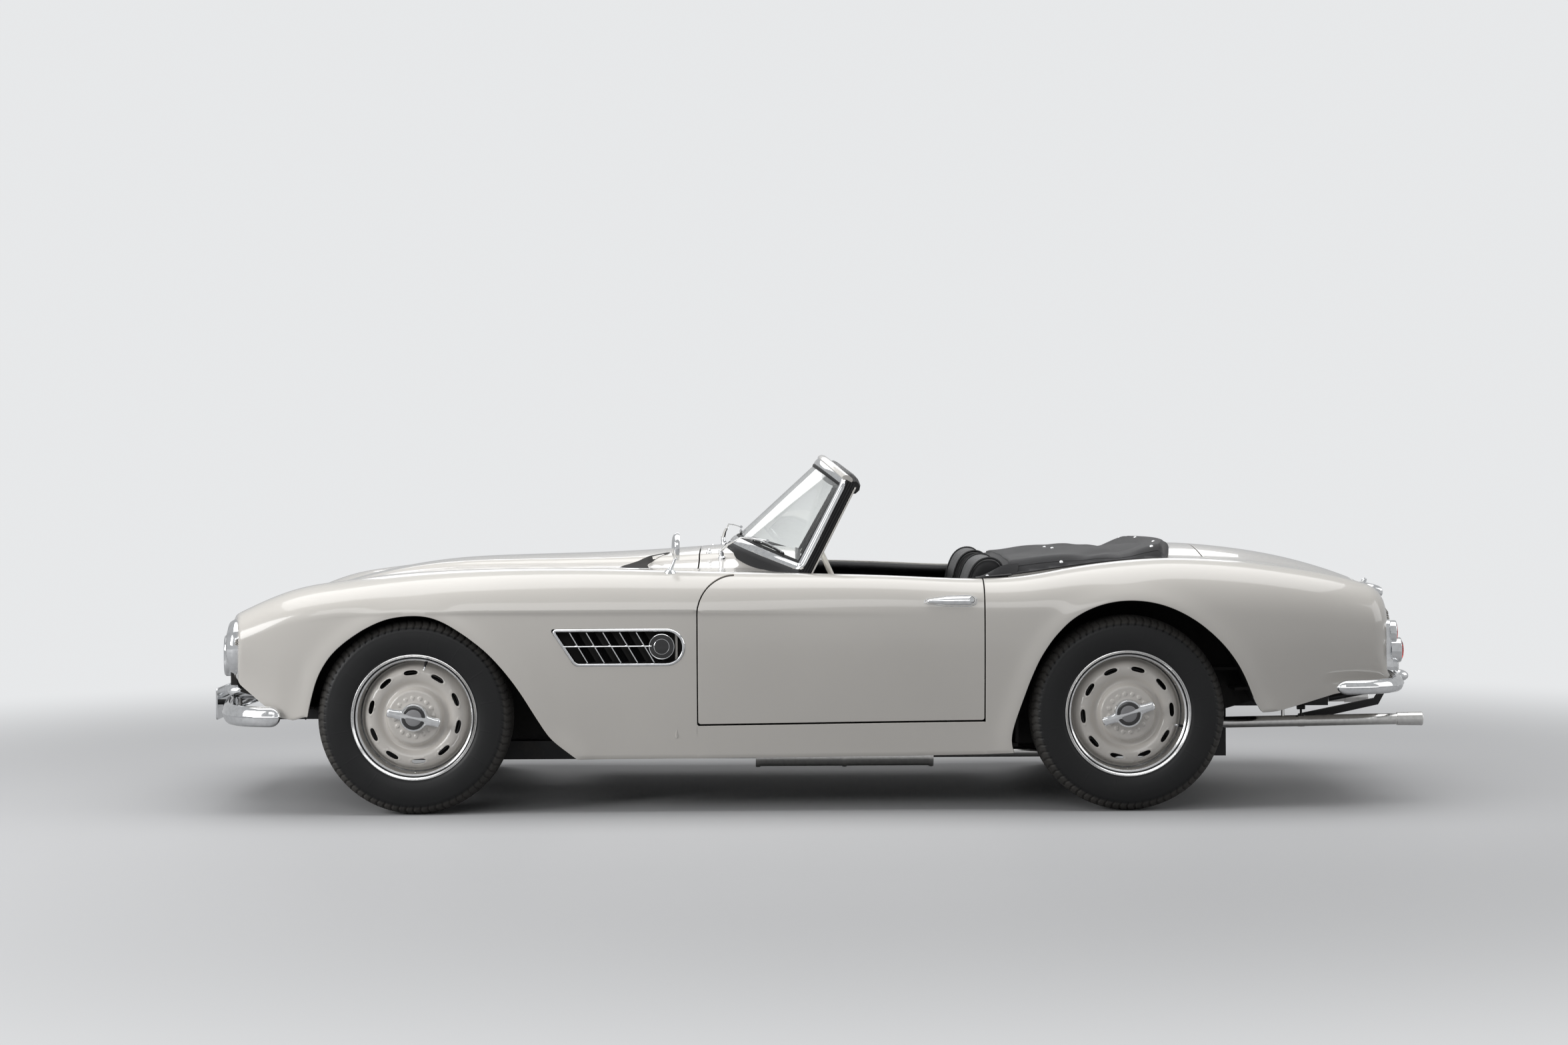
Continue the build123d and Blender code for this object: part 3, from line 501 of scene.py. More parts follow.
def shell(points, normals, faces, thick, roll, inner=None):
    """Closed sheet metal: the outer face, a rolled edge, and an inner face thick behind it.

    Returns points, normals, faces and how many of the faces are on the outside and its edge.
    """
    runs = border(faces)
    count = len(points)
    out = np.zeros((count, 3))
    for a, b in runs:
        side = np.cross(points[b] - points[a], normals[a] + normals[b])
        side /= max(np.linalg.norm(side), 1e-12)
        out[a] += side
        out[b] += side
    rim = np.unique(runs)
    out[rim] = unit(out[rim])
    behind = inner
    if behind is None:
        behind = points - normals * thick
        behind[rim] += out[rim] * roll
    stack_points, stack_normals, strips = [points], [normals], []
    row = np.full(count, -1)
    row[rim] = rim
    for angle in (30, 60, 90):
        t = radians(angle)
        ring = points[rim] + out[rim] * roll * sin(t) - normals[rim] * roll * (1 - cos(t))
        fresh = np.full(count, -1)
        fresh[rim] = sum(len(p) for p in stack_points) + np.arange(len(rim))
        stack_points.append(ring)
        stack_normals.append(unit(normals[rim] * cos(t) + out[rim] * sin(t)))
        strips += [(row[b], row[a], fresh[a]) for a, b in runs]
        strips += [(row[b], fresh[a], fresh[b]) for a, b in runs]
        row = fresh
    base = sum(len(p) for p in stack_points)
    stack_points.append(behind)
    stack_normals.append(-normals)
    back = base + np.arange(count)
    strips += [(row[b], row[a], back[a]) for a, b in runs] + [(row[b], back[a], back[b]) for a, b in runs]
    lining = (base + faces)[:, ::-1]
    all_faces = np.concatenate([faces, np.array(strips, int).reshape(-1, 3), lining])
    outside = len(faces) + len(strips)
    return np.concatenate(stack_points), np.concatenate(stack_normals), all_faces, outside


def raw_mesh(name, points, faces, materials=()):
    """A mesh from plain rows, with its materials."""
    mesh = bpy.data.meshes.new(name)
    mesh.from_pydata([tuple(p) for p in points], [], [tuple(f) for f in faces])
    for key in materials:
        mesh.materials.append(M[key])
    return mesh


def cleaned(mesh, doubles=0.0, wall=0.0):
    """Turns faces outwards, after merging doubles and before giving a skin its thickness."""
    work = bmesh.new()
    work.from_mesh(mesh)
    if doubles:
        bmesh.ops.remove_doubles(work, verts=work.verts, dist=doubles)
    bmesh.ops.recalc_face_normals(work, faces=work.faces)
    if wall:
        bmesh.ops.solidify(work, geom=work.faces, thickness=wall)
        bmesh.ops.recalc_face_normals(work, faces=work.faces)
    work.to_mesh(mesh)
    work.free()


def shaded(mesh, sharp):
    """Smooth shading that breaks at edges sharper than an angle in degrees, 0 for none."""
    mesh.shade_smooth()
    if sharp:
        mesh.set_sharp_from_angle(angle=radians(sharp))


def settle(thing, body, replaces=()):
    """Rides on its body and stands for its nodes."""
    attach(thing, body)
    if replaces:
        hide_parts(*replaces)
    return thing


def piece(name, points, normals, faces, materials, body, replaces=(), marks=None):
    """A mesh object with its own normals, in its place and riding on a body."""
    mesh = raw_mesh(name, points, faces, materials)
    if marks is not None:
        mesh.polygons.foreach_set("material_index", np.asarray(marks, np.int32))
    mesh.validate()
    mesh.update()
    mesh.shade_smooth()
    mesh.normals_split_custom_set_from_vertices([tuple(n) for n in normals])
    return settle(linked(name, mesh), body, replaces)


class Build:
    """Gathers several forms into the one mesh of a piece."""

    def __init__(self, *materials):
        self.points, self.faces, self.marks, self.materials = [], [], [], list(materials)

    def add(self, points, faces, material=None):
        start = len(self.points)
        self.points += [tuple(p) for p in points]
        self.faces += [tuple(start + i for i in face) for face in faces]
        mark = self.materials.index(material) if material else 0
        self.marks += [mark] * len(faces)
        return self

    def lathe(self, profile, centre, axis, steps=48, material=None, closed=False):
        """A profile of (radius, along) turned about an axis. An open one ends on the axis or is a skin."""
        axis = Vector(axis).normalized()
        side = axis.orthogonal().normalized()
        up = axis.cross(side)
        points, faces, rings = [], [], []
        for radius, along in profile:
            middle = Vector(centre) + axis * along
            count = 1 if radius < 1e-7 else steps
            rings.append([len(points) + k for k in range(count)])
            for angle in (2 * pi * k / steps for k in range(count)):
                points.append(middle + (side * cos(angle) + up * sin(angle)) * radius * (count > 1))
        pairs = list(zip(rings, rings[1:]))
        if closed:
            pairs.append((rings[-1], rings[0]))
        for low, high in pairs:
            for k in range(steps):
                n = (k + 1) % steps
                if len(low) == 1 and len(high) == 1:
                    continue
                if len(low) == 1:
                    faces.append((low[0], high[n], high[k]))
                elif len(high) == 1:
                    faces.append((low[k], low[n], high[0]))
                else:
                    faces.append((low[k], low[n], high[n], high[k]))
        return self.add(points, faces, material)

    def loft(self, rings, material=None, caps=True, closed=False):
        """Rings of equal count joined in order."""
        points, faces = [], []
        count = len(rings[0])
        for ring in rings:
            points += [Vector(p) for p in ring]
        runs = len(rings) if closed else len(rings) - 1
        for r in range(runs):
            low, high = r * count, ((r + 1) % len(rings)) * count
            for k in range(count):
                n = (k + 1) % count
                faces.append((low + k, low + n, high + n, high + k))
        if caps and not closed:
            faces.append(tuple(range(count))[::-1])
            last = (len(rings) - 1) * count
            faces.append(tuple(range(last, last + count)))
        return self.add(points, faces, material)

    def tube(self, path, radius, steps, material, caps=True, flat=1.0):
        """A bar along a path, with a radius for each point or one for all."""
        path = [Vector(p) for p in path]
        radii = radius if hasattr(radius, "__len__") else [radius] * len(path)
        rings, previous = [], None
        for i, (here, r) in enumerate(zip(path, radii)):
            ahead = (path[min(i + 1, len(path) - 1)] - path[max(i - 1, 0)]).normalized()
            side = ahead.cross(Vector((0, 0, 1)))
            if previous is not None:
                side = previous - ahead * previous.dot(ahead)
            if side.length < 1e-6:
                side = ahead.orthogonal()
            side.normalize()
            previous = side
            over = side.cross(ahead)
            rings.append([here + (side * cos(a) + over * sin(a) * flat) * r
                          for a in (2 * pi * k / steps for k in range(steps))])
        return self.loft(rings, material, caps)

    def slab(self, outline, direction, material, bevel, steps):
        """A closed outline of 3-D points drawn along a direction, with rounded edges."""
        outline = [Vector(p) for p in outline]
        middle = sum(outline, Vector()) / len(outline)
        direction = Vector(direction)
        along = direction.normalized()
        turns = [(radians(90 * k / steps)) for k in range(steps + 1)]
        rows = [(bevel * (1 - sin(t)), bevel * (1 - cos(t))) for t in turns]
        rows += [(bevel * (1 - sin(t)), direction.length - bevel * (1 - cos(t))) for t in reversed(turns)]
        following = outline[1:] + outline[:1]
        normals = [(after - before).cross(along).normalized()
                   for before, after in zip(outline[-1:] + outline[:-1], following)]
        if sum((p - middle).cross(after - middle).dot(along) for p, after in zip(outline, following)) < 0:
            normals = [-n for n in normals]
        return self.loft([[p - n * inset + along * rise for p, n in zip(outline, normals)]
                          for inset, rise in rows], material)

    def done(self, name, body, slot, replaces=(), sharp=35):
        """The piece itself, with doubles merged and faces turned outwards."""
        mesh = raw_mesh(name, self.points, self.faces, self.materials)
        mesh.polygons.foreach_set("material_index", np.array(self.marks, np.int32))
        mesh.update()
        cleaned(mesh, doubles=1e-6)
        shaded(mesh, sharp)
        return settle(linked(name, mesh), body, replaces)


# ---------------------------------------------------------------- the body's outer form
# Feature lines along the car: (distance behind the front axle, value), all in millimetres.
LINES = {
    "top": [(-820, 590), (-765, 622), (-700, 654), (-600, 694), (-500, 735), (-381, 776), (-283, 804),
            (-112, 842), (28, 862), (239, 875), (519, 882), (760, 891), (973, 905), (1100, 912), (1220, 908),
            (1340, 897), (1600, 868), (1983, 853), (2250, 868), (2480, 892), (2708, 908), (2900, 896),
            (3134, 859), (3280, 820), (3387, 782), (3520, 722)],
    "y_valley": [(-820, 300), (-640, 350), (-468, 395), (-240, 425), (0, 445), (378, 465), (567, 475),
                 (984, 500), (1340, 520), (1983, 545), (2480, 520), (2760, 480), (3134, 420), (3387, 380),
                 (3520, 350)],
    "valley": [(-820, 590), (-765, 618), (-640, 668), (-468, 735), (-240, 789), (0, 818), (378, 830),
               (567, 832), (984, 836), (1340, 832), (1983, 812), (2480, 862), (2760, 866), (3134, 824),
               (3387, 757), (3520, 705)],
    "y_crest": [(-820, 590), (-640, 612), (-468, 622), (-240, 632), (0, 640), (378, 650), (567, 654),
                (984, 662), (1340, 682), (1983, 692), (2480, 662), (2760, 652), (3134, 622), (3387, 585),
                (3520, 560)],
    "crest": [(-820, 606), (-720, 658), (-650, 692), (-558, 735), (-426, 783), (-280, 808), (-100, 829),
              (100, 843), (363, 850), (709, 846), (984, 838), (1340, 829), (1700, 818), (1983, 808),
              (2120, 816), (2300, 845), (2480, 867), (2617, 875), (2760, 872), (2905, 861), (3100, 834),
              (3253, 804), (3387, 766), (3520, 726)],
    "y_wide": [(-820, 738), (-640, 772), (-468, 802), (-240, 819), (0, 825), (378, 822), (567, 815),
               (984, 806), (1340, 803), (1700, 803), (1983, 806), (2250, 818), (2480, 825), (2760, 822),
               (3134, 782), (3387, 722), (3520, 688)],
    "wide": [(-820, 582), (-640, 600), (-468, 655), (-240, 698), (0, 707), (378, 707), (984, 706),
             (1340, 702), (1983, 692), (2480, 692), (2760, 690), (3134, 668), (3387, 634), (3520, 610)],
    "y_low": [(-820, 690), (-640, 738), (-468, 778), (-240, 798), (0, 800), (378, 790), (567, 775),
              (984, 760), (1340, 757), (1983, 762), (2250, 790), (2480, 803), (2760, 800), (3134, 752),
              (3387, 692), (3520, 650)],
}
LOW = [(-820, 500), (-700, 488), (-657, 482), (-622, 461), (-534, 389), (-468, 340), (-420, 332), (-379, 345),
       (-300, 330), (378, 260), (567, 190), (984, 190), (1700, 194), (1983, 199), (2105, 206), (2300, 240),
       (2900, 330), (2947, 342), (3002, 344), (3100, 370), (3208, 400), (3300, 414), (3520, 428)]
BELLY = [(-820, 424), (-600, 404), (-468, 345), (-300, 335), (2900, 335), (3208, 392), (3520, 420)]
FRONT_LIP = [(-372, 333), (-367, 367), (-352, 425), (-337, 476), (-311, 526), (-278, 570), (-235, 607),
             (-170, 651), (-101, 683), (-48, 694), (0, 697), (49, 695), (90, 682), (126, 664), (190, 622),
             (255, 570), (305, 516), (345, 465), (380, 414), (410, 363), (442, 312), (469, 268), (490, 249),
             (567, 190)]
REAR_LIP = [(-398, 204), (-412, 240), (-402, 290), (-386, 340), (-368, 390), (-345, 455), (-312, 532),
            (-265, 605), (-205, 668), (-150, 702), (-90, 725), (-30, 736), (25, 737), (80, 731), (135, 716),
            (185, 694), (240, 661), (290, 620), (335, 575), (375, 522), (405, 468), (428, 412), (446, 366),
            (467, 342)]
# girths: 0 on the centre line, then the valley, the crest, the widest line, the side's low edge, the keel
SIDE_LOW, KEEL = 1400.0, 2100.0
V_AXIS = np.array([0.0, 480.0, 660.0, 890.0, SIDE_LOW, KEEL])
DRAWN = {name: spline(rows) for name, rows in LINES.items()}
# how sharp the crease along the side is, by station
CREASE = [(-400, 0.0), (-100, 0.35), (200, 0.8), (450, 1.0), (984, 1.0), (1350, 0.55), (1690, 0.12),
          (1900, 0.0)]
NOSE_TIP, TAIL_TIP = -765.0, 3465.0


def lip_line(points, centre):
    """A fender lip as a smooth line through its points, in (d, z)."""
    pts = np.array(points, float) + (centre, 0)
    run = np.concatenate([[0], np.cumsum(np.hypot(*np.diff(pts, axis=0).T))])
    at = np.linspace(0, run[-1], int(run[-1] / 7))
    soft = np.column_stack([np.interp(at, run, pts[:, k]) for k in (0, 1)])
    for _ in range(26):
        soft[1:-1] = (soft[:-2] + 2 * soft[1:-1] + soft[2:]) / 4
    return soft


LIPS = {"front": lip_line(FRONT_LIP, 0.0), "rear": lip_line(REAR_LIP, WHEELBASE * 1000)}


def lip_distance(d, z):
    """Distance in the side view from the nearer fender lip, negative inside the opening."""
    best = np.full(np.shape(d), 1e9)
    for line in LIPS.values():
        for (x0, y0), (x1, y1) in zip(line, line[1:]):
            dx, dy = x1 - x0, y1 - y0
            t = np.clip(((d - x0) * dx + (z - y0) * dy) / (dx * dx + dy * dy), 0, 1)
            best = np.minimum(best, np.hypot(d - x0 - t * dx, z - y0 - t * dy))
    return best


def bezier(p0, p1, p2, p3, t):
    """Place on a cubic curve, for each of the points' axes."""
    s = 1 - t
    return [s ** 3 * a + 3 * s * s * t * b + 3 * s * t * t * c + t ** 3 * e
            for a, b, c, e in zip(p0, p1, p2, p3)]


def section(d, v):
    """Half-breadth and height of the outer skin at station d and girth v, before the flares."""
    line = {name: draw(d) for name, draw in DRAWN.items()}
    low = np.interp(d, *zip(*LOW))
    belly = np.interp(d, *zip(*BELLY))
    sharp = np.interp(d, *zip(*CREASE))
    bulge = 17.0 * smooth(d, -430, 150) * (1 - smooth(d, 1010, 1250))
    top, yv, val = line["top"] - bulge, line["y_valley"], line["valley"]
    yc, crest, yw, wide, yl = (line[k] for k in ("y_crest", "crest", "y_wide", "wide", "y_low"))
    part = np.clip(np.searchsorted(V_AXIS, v, side="right") - 1, 0, 4)
    t = (v - V_AXIS[part]) / (V_AXIS[part + 1] - V_AXIS[part])
    hip, fall = crest - wide, wide - low
    arc = [
        bezier((0 * yv, top), (0.52 * yv, top), (0.7 * yv, val + 0.1 * (top - val)), (yv, val), t),
        bezier((yv, val), (yv + 0.3 * (yc - yv), val - 0.1 * (top - val)),
               (yc - 0.42 * (yc - yv), crest), (yc, crest), t),
        bezier((yc, crest), (yc + 0.6 * (yw - yc), crest),
               (yw - (0.03 + 0.09 * sharp) * hip, wide + 0.55 * hip), (yw, wide), t),
        bezier((yw, wide), (yw + (0.018 - 0.03 * sharp) * fall, wide - 0.33 * fall),
               (yl + 0.24 * (yw - yl) * 1.6, low + 0.33 * fall), (yl, low), t),
        bezier((yl, low), (0.86 * yl, low - 10), (0.45 * yl, belly), (0 * yl, belly), t),
    ]
    y = np.choose(part, [a[0] for a in arc])
    z = np.choose(part, [a[1] for a in arc])
    width = 175 + 90 * smooth(d, -400, 978)
    z = z + bulge * (1 - smooth(y, width, width + 46)) * (part == 0)
    depth = np.maximum(wide - z, 0)
    scoop = 10.0 * sharp * (1 - np.exp(-depth / 6.5)) * np.exp(-depth / 62.0)
    y = y - scoop * (part == 3)
    return y, z


def flare(d, v, z):
    """How far the skin stands out round the wheel openings."""
    side = (v > 700) & (v < SIDE_LOW + 1) & (d > -620) & (d < 3250)
    out = np.zeros(np.shape(d))
    if np.any(side):
        gap = lip_distance(d[side], z[side])
        out[side] = 9.0 * np.exp(-(gap / 42.0) ** 2) * smooth(v[side], 700, 830)
    return out


def plain_skin(d, v):
    """The skin with its flares, before the nose and the tail are rolled over."""
    d, v = np.broadcast_arrays(np.asarray(d, float), np.asarray(v, float))
    y, z = section(d, v)
    y = y + flare(d, v, z)
    return np.stack([d, y, z], axis=-1)


def nose_face(y, z):
    """Where the flat of the nose stands, as a station."""
    return NOSE_TIP + 110 * (np.abs(y) / 620) ** 1.5 + 0.00035 * (z - 530) ** 2 - 0.03 * (z - 530)


def tail_face(y, z):
    """Where the flat of the tail stands, as a station."""
    return TAIL_TIP - 34 * (np.abs(y) / 560) ** 2.2 - 0.0004 * (z - 500) ** 2 * (z > 500)


def roll_radius(v, tail):
    """Radius with which the skin turns into the flat of one end."""
    if tail:
        return 104 - 66 * smooth(v, 1050, SIDE_LOW)
    return 30 - 8 * smooth(v, 480, 760) + 10 * smooth(v, 1300, 1500)


def end_frame(v, tail):
    """Start of each roll at one end: station, point, forward tangent and inward normal."""
    sign = 1.0 if tail else -1.0
    face = tail_face if tail else nose_face
    radius = roll_radius(v, tail)
    d = np.full(len(v), TAIL_TIP - 150 if tail else NOSE_TIP + 60)
    for _ in range(14):
        here = plain_skin(d, v)
        ahead = unit(plain_skin(d + sign * 2, v) - plain_skin(d - sign * 2, v))
        across = plain_skin(d, v + 0.5) - plain_skin(d, v - 0.5)
        inward = unit(np.cross(ahead, across))
        flip = np.sum(inward * (np.column_stack([d, 0 * d, 0 * d + 560]) - here), axis=1) < 0
        inward[flip] *= -1
        # roll on until the skin lies square to the car's length
        turn = np.arctan2(ahead[:, 0] * sign, -inward[:, 0] * sign)
        turn = np.where(turn < 0, turn + pi, turn)
        end = here + radius[:, None] * (np.sin(turn)[:, None] * ahead + (1 - np.cos(turn))[:, None] * inward)
        d = d + (face(end[:, 1], end[:, 2]) - end[:, 0]) * 0.8
    return d, here, ahead, inward, turn, radius


V_TABLE = np.concatenate([np.arange(0, KEEL, 12.0), [KEEL]])
ENDS = {tail: end_frame(V_TABLE, tail) for tail in (False, True)}


def end_values(v, tail):
    """The roll at one end for any girth: (station, turn, radius) and (forward tangent, inward normal)."""
    d, _, ahead, inward, turn, radius = ENDS[tail]
    pick = [np.interp(v, V_TABLE, part) for part in (d, turn, radius)]
    frames = [np.column_stack([np.interp(v, V_TABLE, part[:, k]) for k in range(3)])
              for part in (ahead, inward)]
    return pick, frames


def skin(d, v):
    """A point of the outer skin in millimetres as (d, y, z), rolled over at the nose and the tail."""
    d, v = np.broadcast_arrays(np.asarray(d, float), np.asarray(v, float))
    shape = d.shape
    d, v = d.ravel(), v.ravel()
    out = plain_skin(np.clip(d, NOSE_TIP - 60, TAIL_TIP + 60), v)
    for tail, sign in ((False, -1.0), (True, 1.0)):
        (start, turn, radius), (ahead, inward) = end_values(v, tail)
        past = sign * (d - start)
        on = past > 0
        if not np.any(on):
            continue
        angle = np.clip(past[on] / radius[on], 0, turn[on])
        base = plain_skin(start[on], v[on])
        roll = radius[on, None] * (np.sin(angle)[:, None] * unit(ahead[on])
                                   + (1 - np.cos(angle))[:, None] * unit(inward[on]))
        out[on] = base + roll
    return out.reshape(*shape, 3)


def skin_normal(d, v):
    """Outward normal of the outer skin."""
    d, v = np.asarray(d, float), np.asarray(v, float)
    step = 0.6
    along = skin(d + step, v) - skin(d - step, v)
    around = skin(d, v + step) - skin(d, np.maximum(v - step, 0))
    normal = unit(np.cross(around, along))
    centre = np.stack([d, 0 * d, 0 * d + 500], axis=-1)
    flip = np.sum(normal * (skin(d, v) - centre), axis=-1) < 0
    normal[flip] *= -1
    flat = np.abs(v) < 1e-6
    normal[flat, 1] = 0
    return unit(normal)


def world(points):
    """(d, y, z) in millimetres to the car's own place in metres."""
    return np.asarray(points, float) * 0.001 + (FRONT_AXLE_X, 0, 0)


def girth_where(d, value, low, high, short):
    """Girth between low and high up to which the section falls short of a value."""
    d, value = np.broadcast_arrays(np.asarray(d, float), np.asarray(value, float))
    a, b = np.full(d.shape, low), np.full(d.shape, high)
    for _ in range(30):
        middle = (a + b) / 2
        on = short(section(d, middle), value)
        a, b = np.where(on, middle, a), np.where(on, b, middle)
    return (a + b) / 2


def girth_at_y(d, y):
    """Girth where the skin's half-breadth is y, above the side."""
    return girth_where(d, y, 0.0, 760.0, lambda found, wanted: found[0] < wanted)


def girth_at_z(d, z):
    """Girth where the side stands at height z."""
    return girth_where(d, z, 660.0, SIDE_LOW, lambda found, wanted: found[1] > wanted)


def surface(d, y):
    """Height of the body's upper skin, in metres, at a place in metres behind the front axle."""
    v = girth_at_y(np.array([d * 1000.0]), np.array([abs(y) * 1000.0]))
    return float(skin(np.array([d * 1000.0]), v)[0, 2]) / 1000


# ---------------------------------------------------------------- body panels
GAP = 4.2            # visible shut gap
ROLL = 1.6           # radius of every rolled edge
HALF_GAP = GAP / 2 + ROLL


def side_run(points):
    """(d, z) on the flank to (d, girth)."""
    pts = np.array(points, float)
    return np.column_stack([pts[:, 0], girth_at_z(pts[:, 0], pts[:, 1])])


def plan_run(points):
    """(d, y) on the upper skin to (d, girth)."""
    pts = np.array(points, float)
    return np.column_stack([pts[:, 0], girth_at_y(pts[:, 0], pts[:, 1])])


def end_run(tail, v_from, v_to):
    """The line where the roll at one end meets its face."""
    v = np.linspace(v_from, v_to, int(abs(v_to - v_from) / 12.0) + 1)
    (start, turn, radius), _ = end_values(v, tail)
    return np.column_stack([start + (1 if tail else -1) * turn * radius, v])


def mirrored(points, normals, faces):
    """Both halves from one."""
    flip = np.array([1, -1, 1])
    return (np.concatenate([points, points * flip]), np.concatenate([normals, normals * flip]),
            np.concatenate([faces, faces[:, ::-1] + len(points)]))


def outward(points, normals, faces):
    """Faces turned so that they agree with the normals."""
    a, b, c = (points[faces[:, k]] for k in range(3))
    wrong = np.sum(np.cross(b - a, c - a) * normals[faces].sum(1), axis=1) < 0
    faces = faces.copy()
    faces[wrong] = faces[wrong][:, ::-1]
    return faces


def skinned(loops, step=15.0):
    """Triangles over part of the outer skin, from loops of (d, girth)."""
    flat, faces = filled(loops, step)
    points = skin(flat[:, 0], flat[:, 1])
    normals = skin_normal(flat[:, 0], flat[:, 1])
    return points, normals, outward(points, normals, faces)


def face_patch(tail, holes):
    """The flat of the nose or tail, inside the end of the roll, on one half."""
    run = end_run(tail, 0.0, KEEL)
    ring = skin(run[:, 0], run[:, 1])
    edge_normal = skin_normal(run[:, 0], run[:, 1])
    face = tail_face if tail else nose_face
    loop = np.concatenate([ring[:, 1:], resample([ring[-1, 1:], ring[0, 1:]], 12.0, closed=False)[1:-1]])
    flat, faces = filled([loop] + holes, 16.0)
    points = np.column_stack([face(flat[:, 0], flat[:, 1]), flat])
    near = np.array([np.argmin(np.hypot(*(flat[k] - ring[:, 1:]).T)) for k in range(len(flat))])
    gap = np.hypot(*(flat - ring[near, 1:]).T)
    points[:, 0] += (ring[near, 0] - face(ring[near, 1], ring[near, 2])) * np.exp(-gap / 12.0)
    slope_y = (face(flat[:, 0] + 1, flat[:, 1]) - face(flat[:, 0] - 1, flat[:, 1])) / 2
    slope_z = (face(flat[:, 0], flat[:, 1] + 1) - face(flat[:, 0], flat[:, 1] - 1)) / 2
    normals = unit(np.column_stack([np.ones(len(flat)), -slope_y, -slope_z])) * (1 if tail else -1)
    share = np.exp(-(gap / 9.0) ** 2)[:, None]
    normals = unit(normals * (1 - share) + edge_normal[near] * share)
    return points, normals, outward(points, normals, faces)


def join(*parts):
    """Several (points, normals, faces) welded into one."""
    points, normals, faces, start = [], [], [], 0
    for p, n, f in parts:
        points.append(p)
        normals.append(n)
        faces.append(f + start)
        start += len(p)
    return weld(np.concatenate(points), np.concatenate(normals), np.concatenate(faces), 0.02)


def panel(name, parts, body, thick=10.0, side=0, replaces=(), inner=None):
    """Closed sheet-metal piece from outer-skin parts, across the car or on one side of it."""
    points, normals, faces = join(*parts)
    if not side:
        points, normals, faces = mirrored(points, normals, faces)
        points, normals, faces = weld(points, normals, faces, 0.02)
        faces = outward(points, normals, faces)
    elif side < 0:
        flip = np.array([1, -1, 1])
        points, normals, faces = points * flip, normals * flip, faces[:, ::-1]
    behind = inner(points) if inner else None
    points, normals, faces, outside = shell(points, normals, faces, thick, ROLL, behind)
    marks = np.zeros(len(faces), int)
    materials = ["ivory_paint"]
    if inner:
        materials.append("black_leather")
        marks[outside:] = 1
    piece(name, world(points), normals, faces, materials, body, replaces, marks)


BONNET = dict(front=-520.0, rear=978.0, half_front=400.0, half_rear=496.0)
BOOT = dict(front=2800.0, rear=3380.0, half_front=440.0, half_rear=370.0)
COCKPIT = dict(front=1330.0, rear=2078.0, half=668.0, pillar=1372.0, half_pillar=596.0)
DOOR = dict(front=984.0, rear=1983.0, bottom_front=307.0, bottom_rear=317.0)
DOOR_CURVE = [(1113 - 129 * cos(a), 690 + 136 * sin(a)) for a in np.linspace(0, pi / 2, 26)]


def lid_half(size, grow):
    """Half outline of a lid in plan, (d, y), from its front on the centre line to its rear."""
    front, rear = size["front"] - grow, size["rear"] + grow
    a, b = size["half_front"] + grow, size["half_rear"] + grow
    corners = rounded([(front, -a), (front, a), (rear, b), (rear, -b)], 46.0 + grow, 8.0)
    half = corners[corners[:, 1] > 1.0]
    half = half[np.argsort(np.arctan2(half[:, 1], half[:, 0] - (front + rear) / 2))[::-1]]
    return resample([(front, 0.0), *half, (rear, 0.0)], 10.0, closed=False)


def door_run(grow):
    """Front, lower and rear edges of a door in (d, z), from its top front round to its top rear."""
    curve = np.array(DOOR_CURVE, float)[::-1]
    tangent = unit(np.gradient(curve, axis=0))
    curve = curve + np.column_stack([tangent[:, 1], -tangent[:, 0]]) * grow
    line = [*curve, (DOOR["front"] - grow, DOOR["bottom_front"] - grow),
            (DOOR["rear"] + grow, DOOR["bottom_rear"] - grow), (DOOR["rear"] + grow, 812.0)]
    return rounded(line, [0] * len(curve) + [7, 7, 0], 3.0)


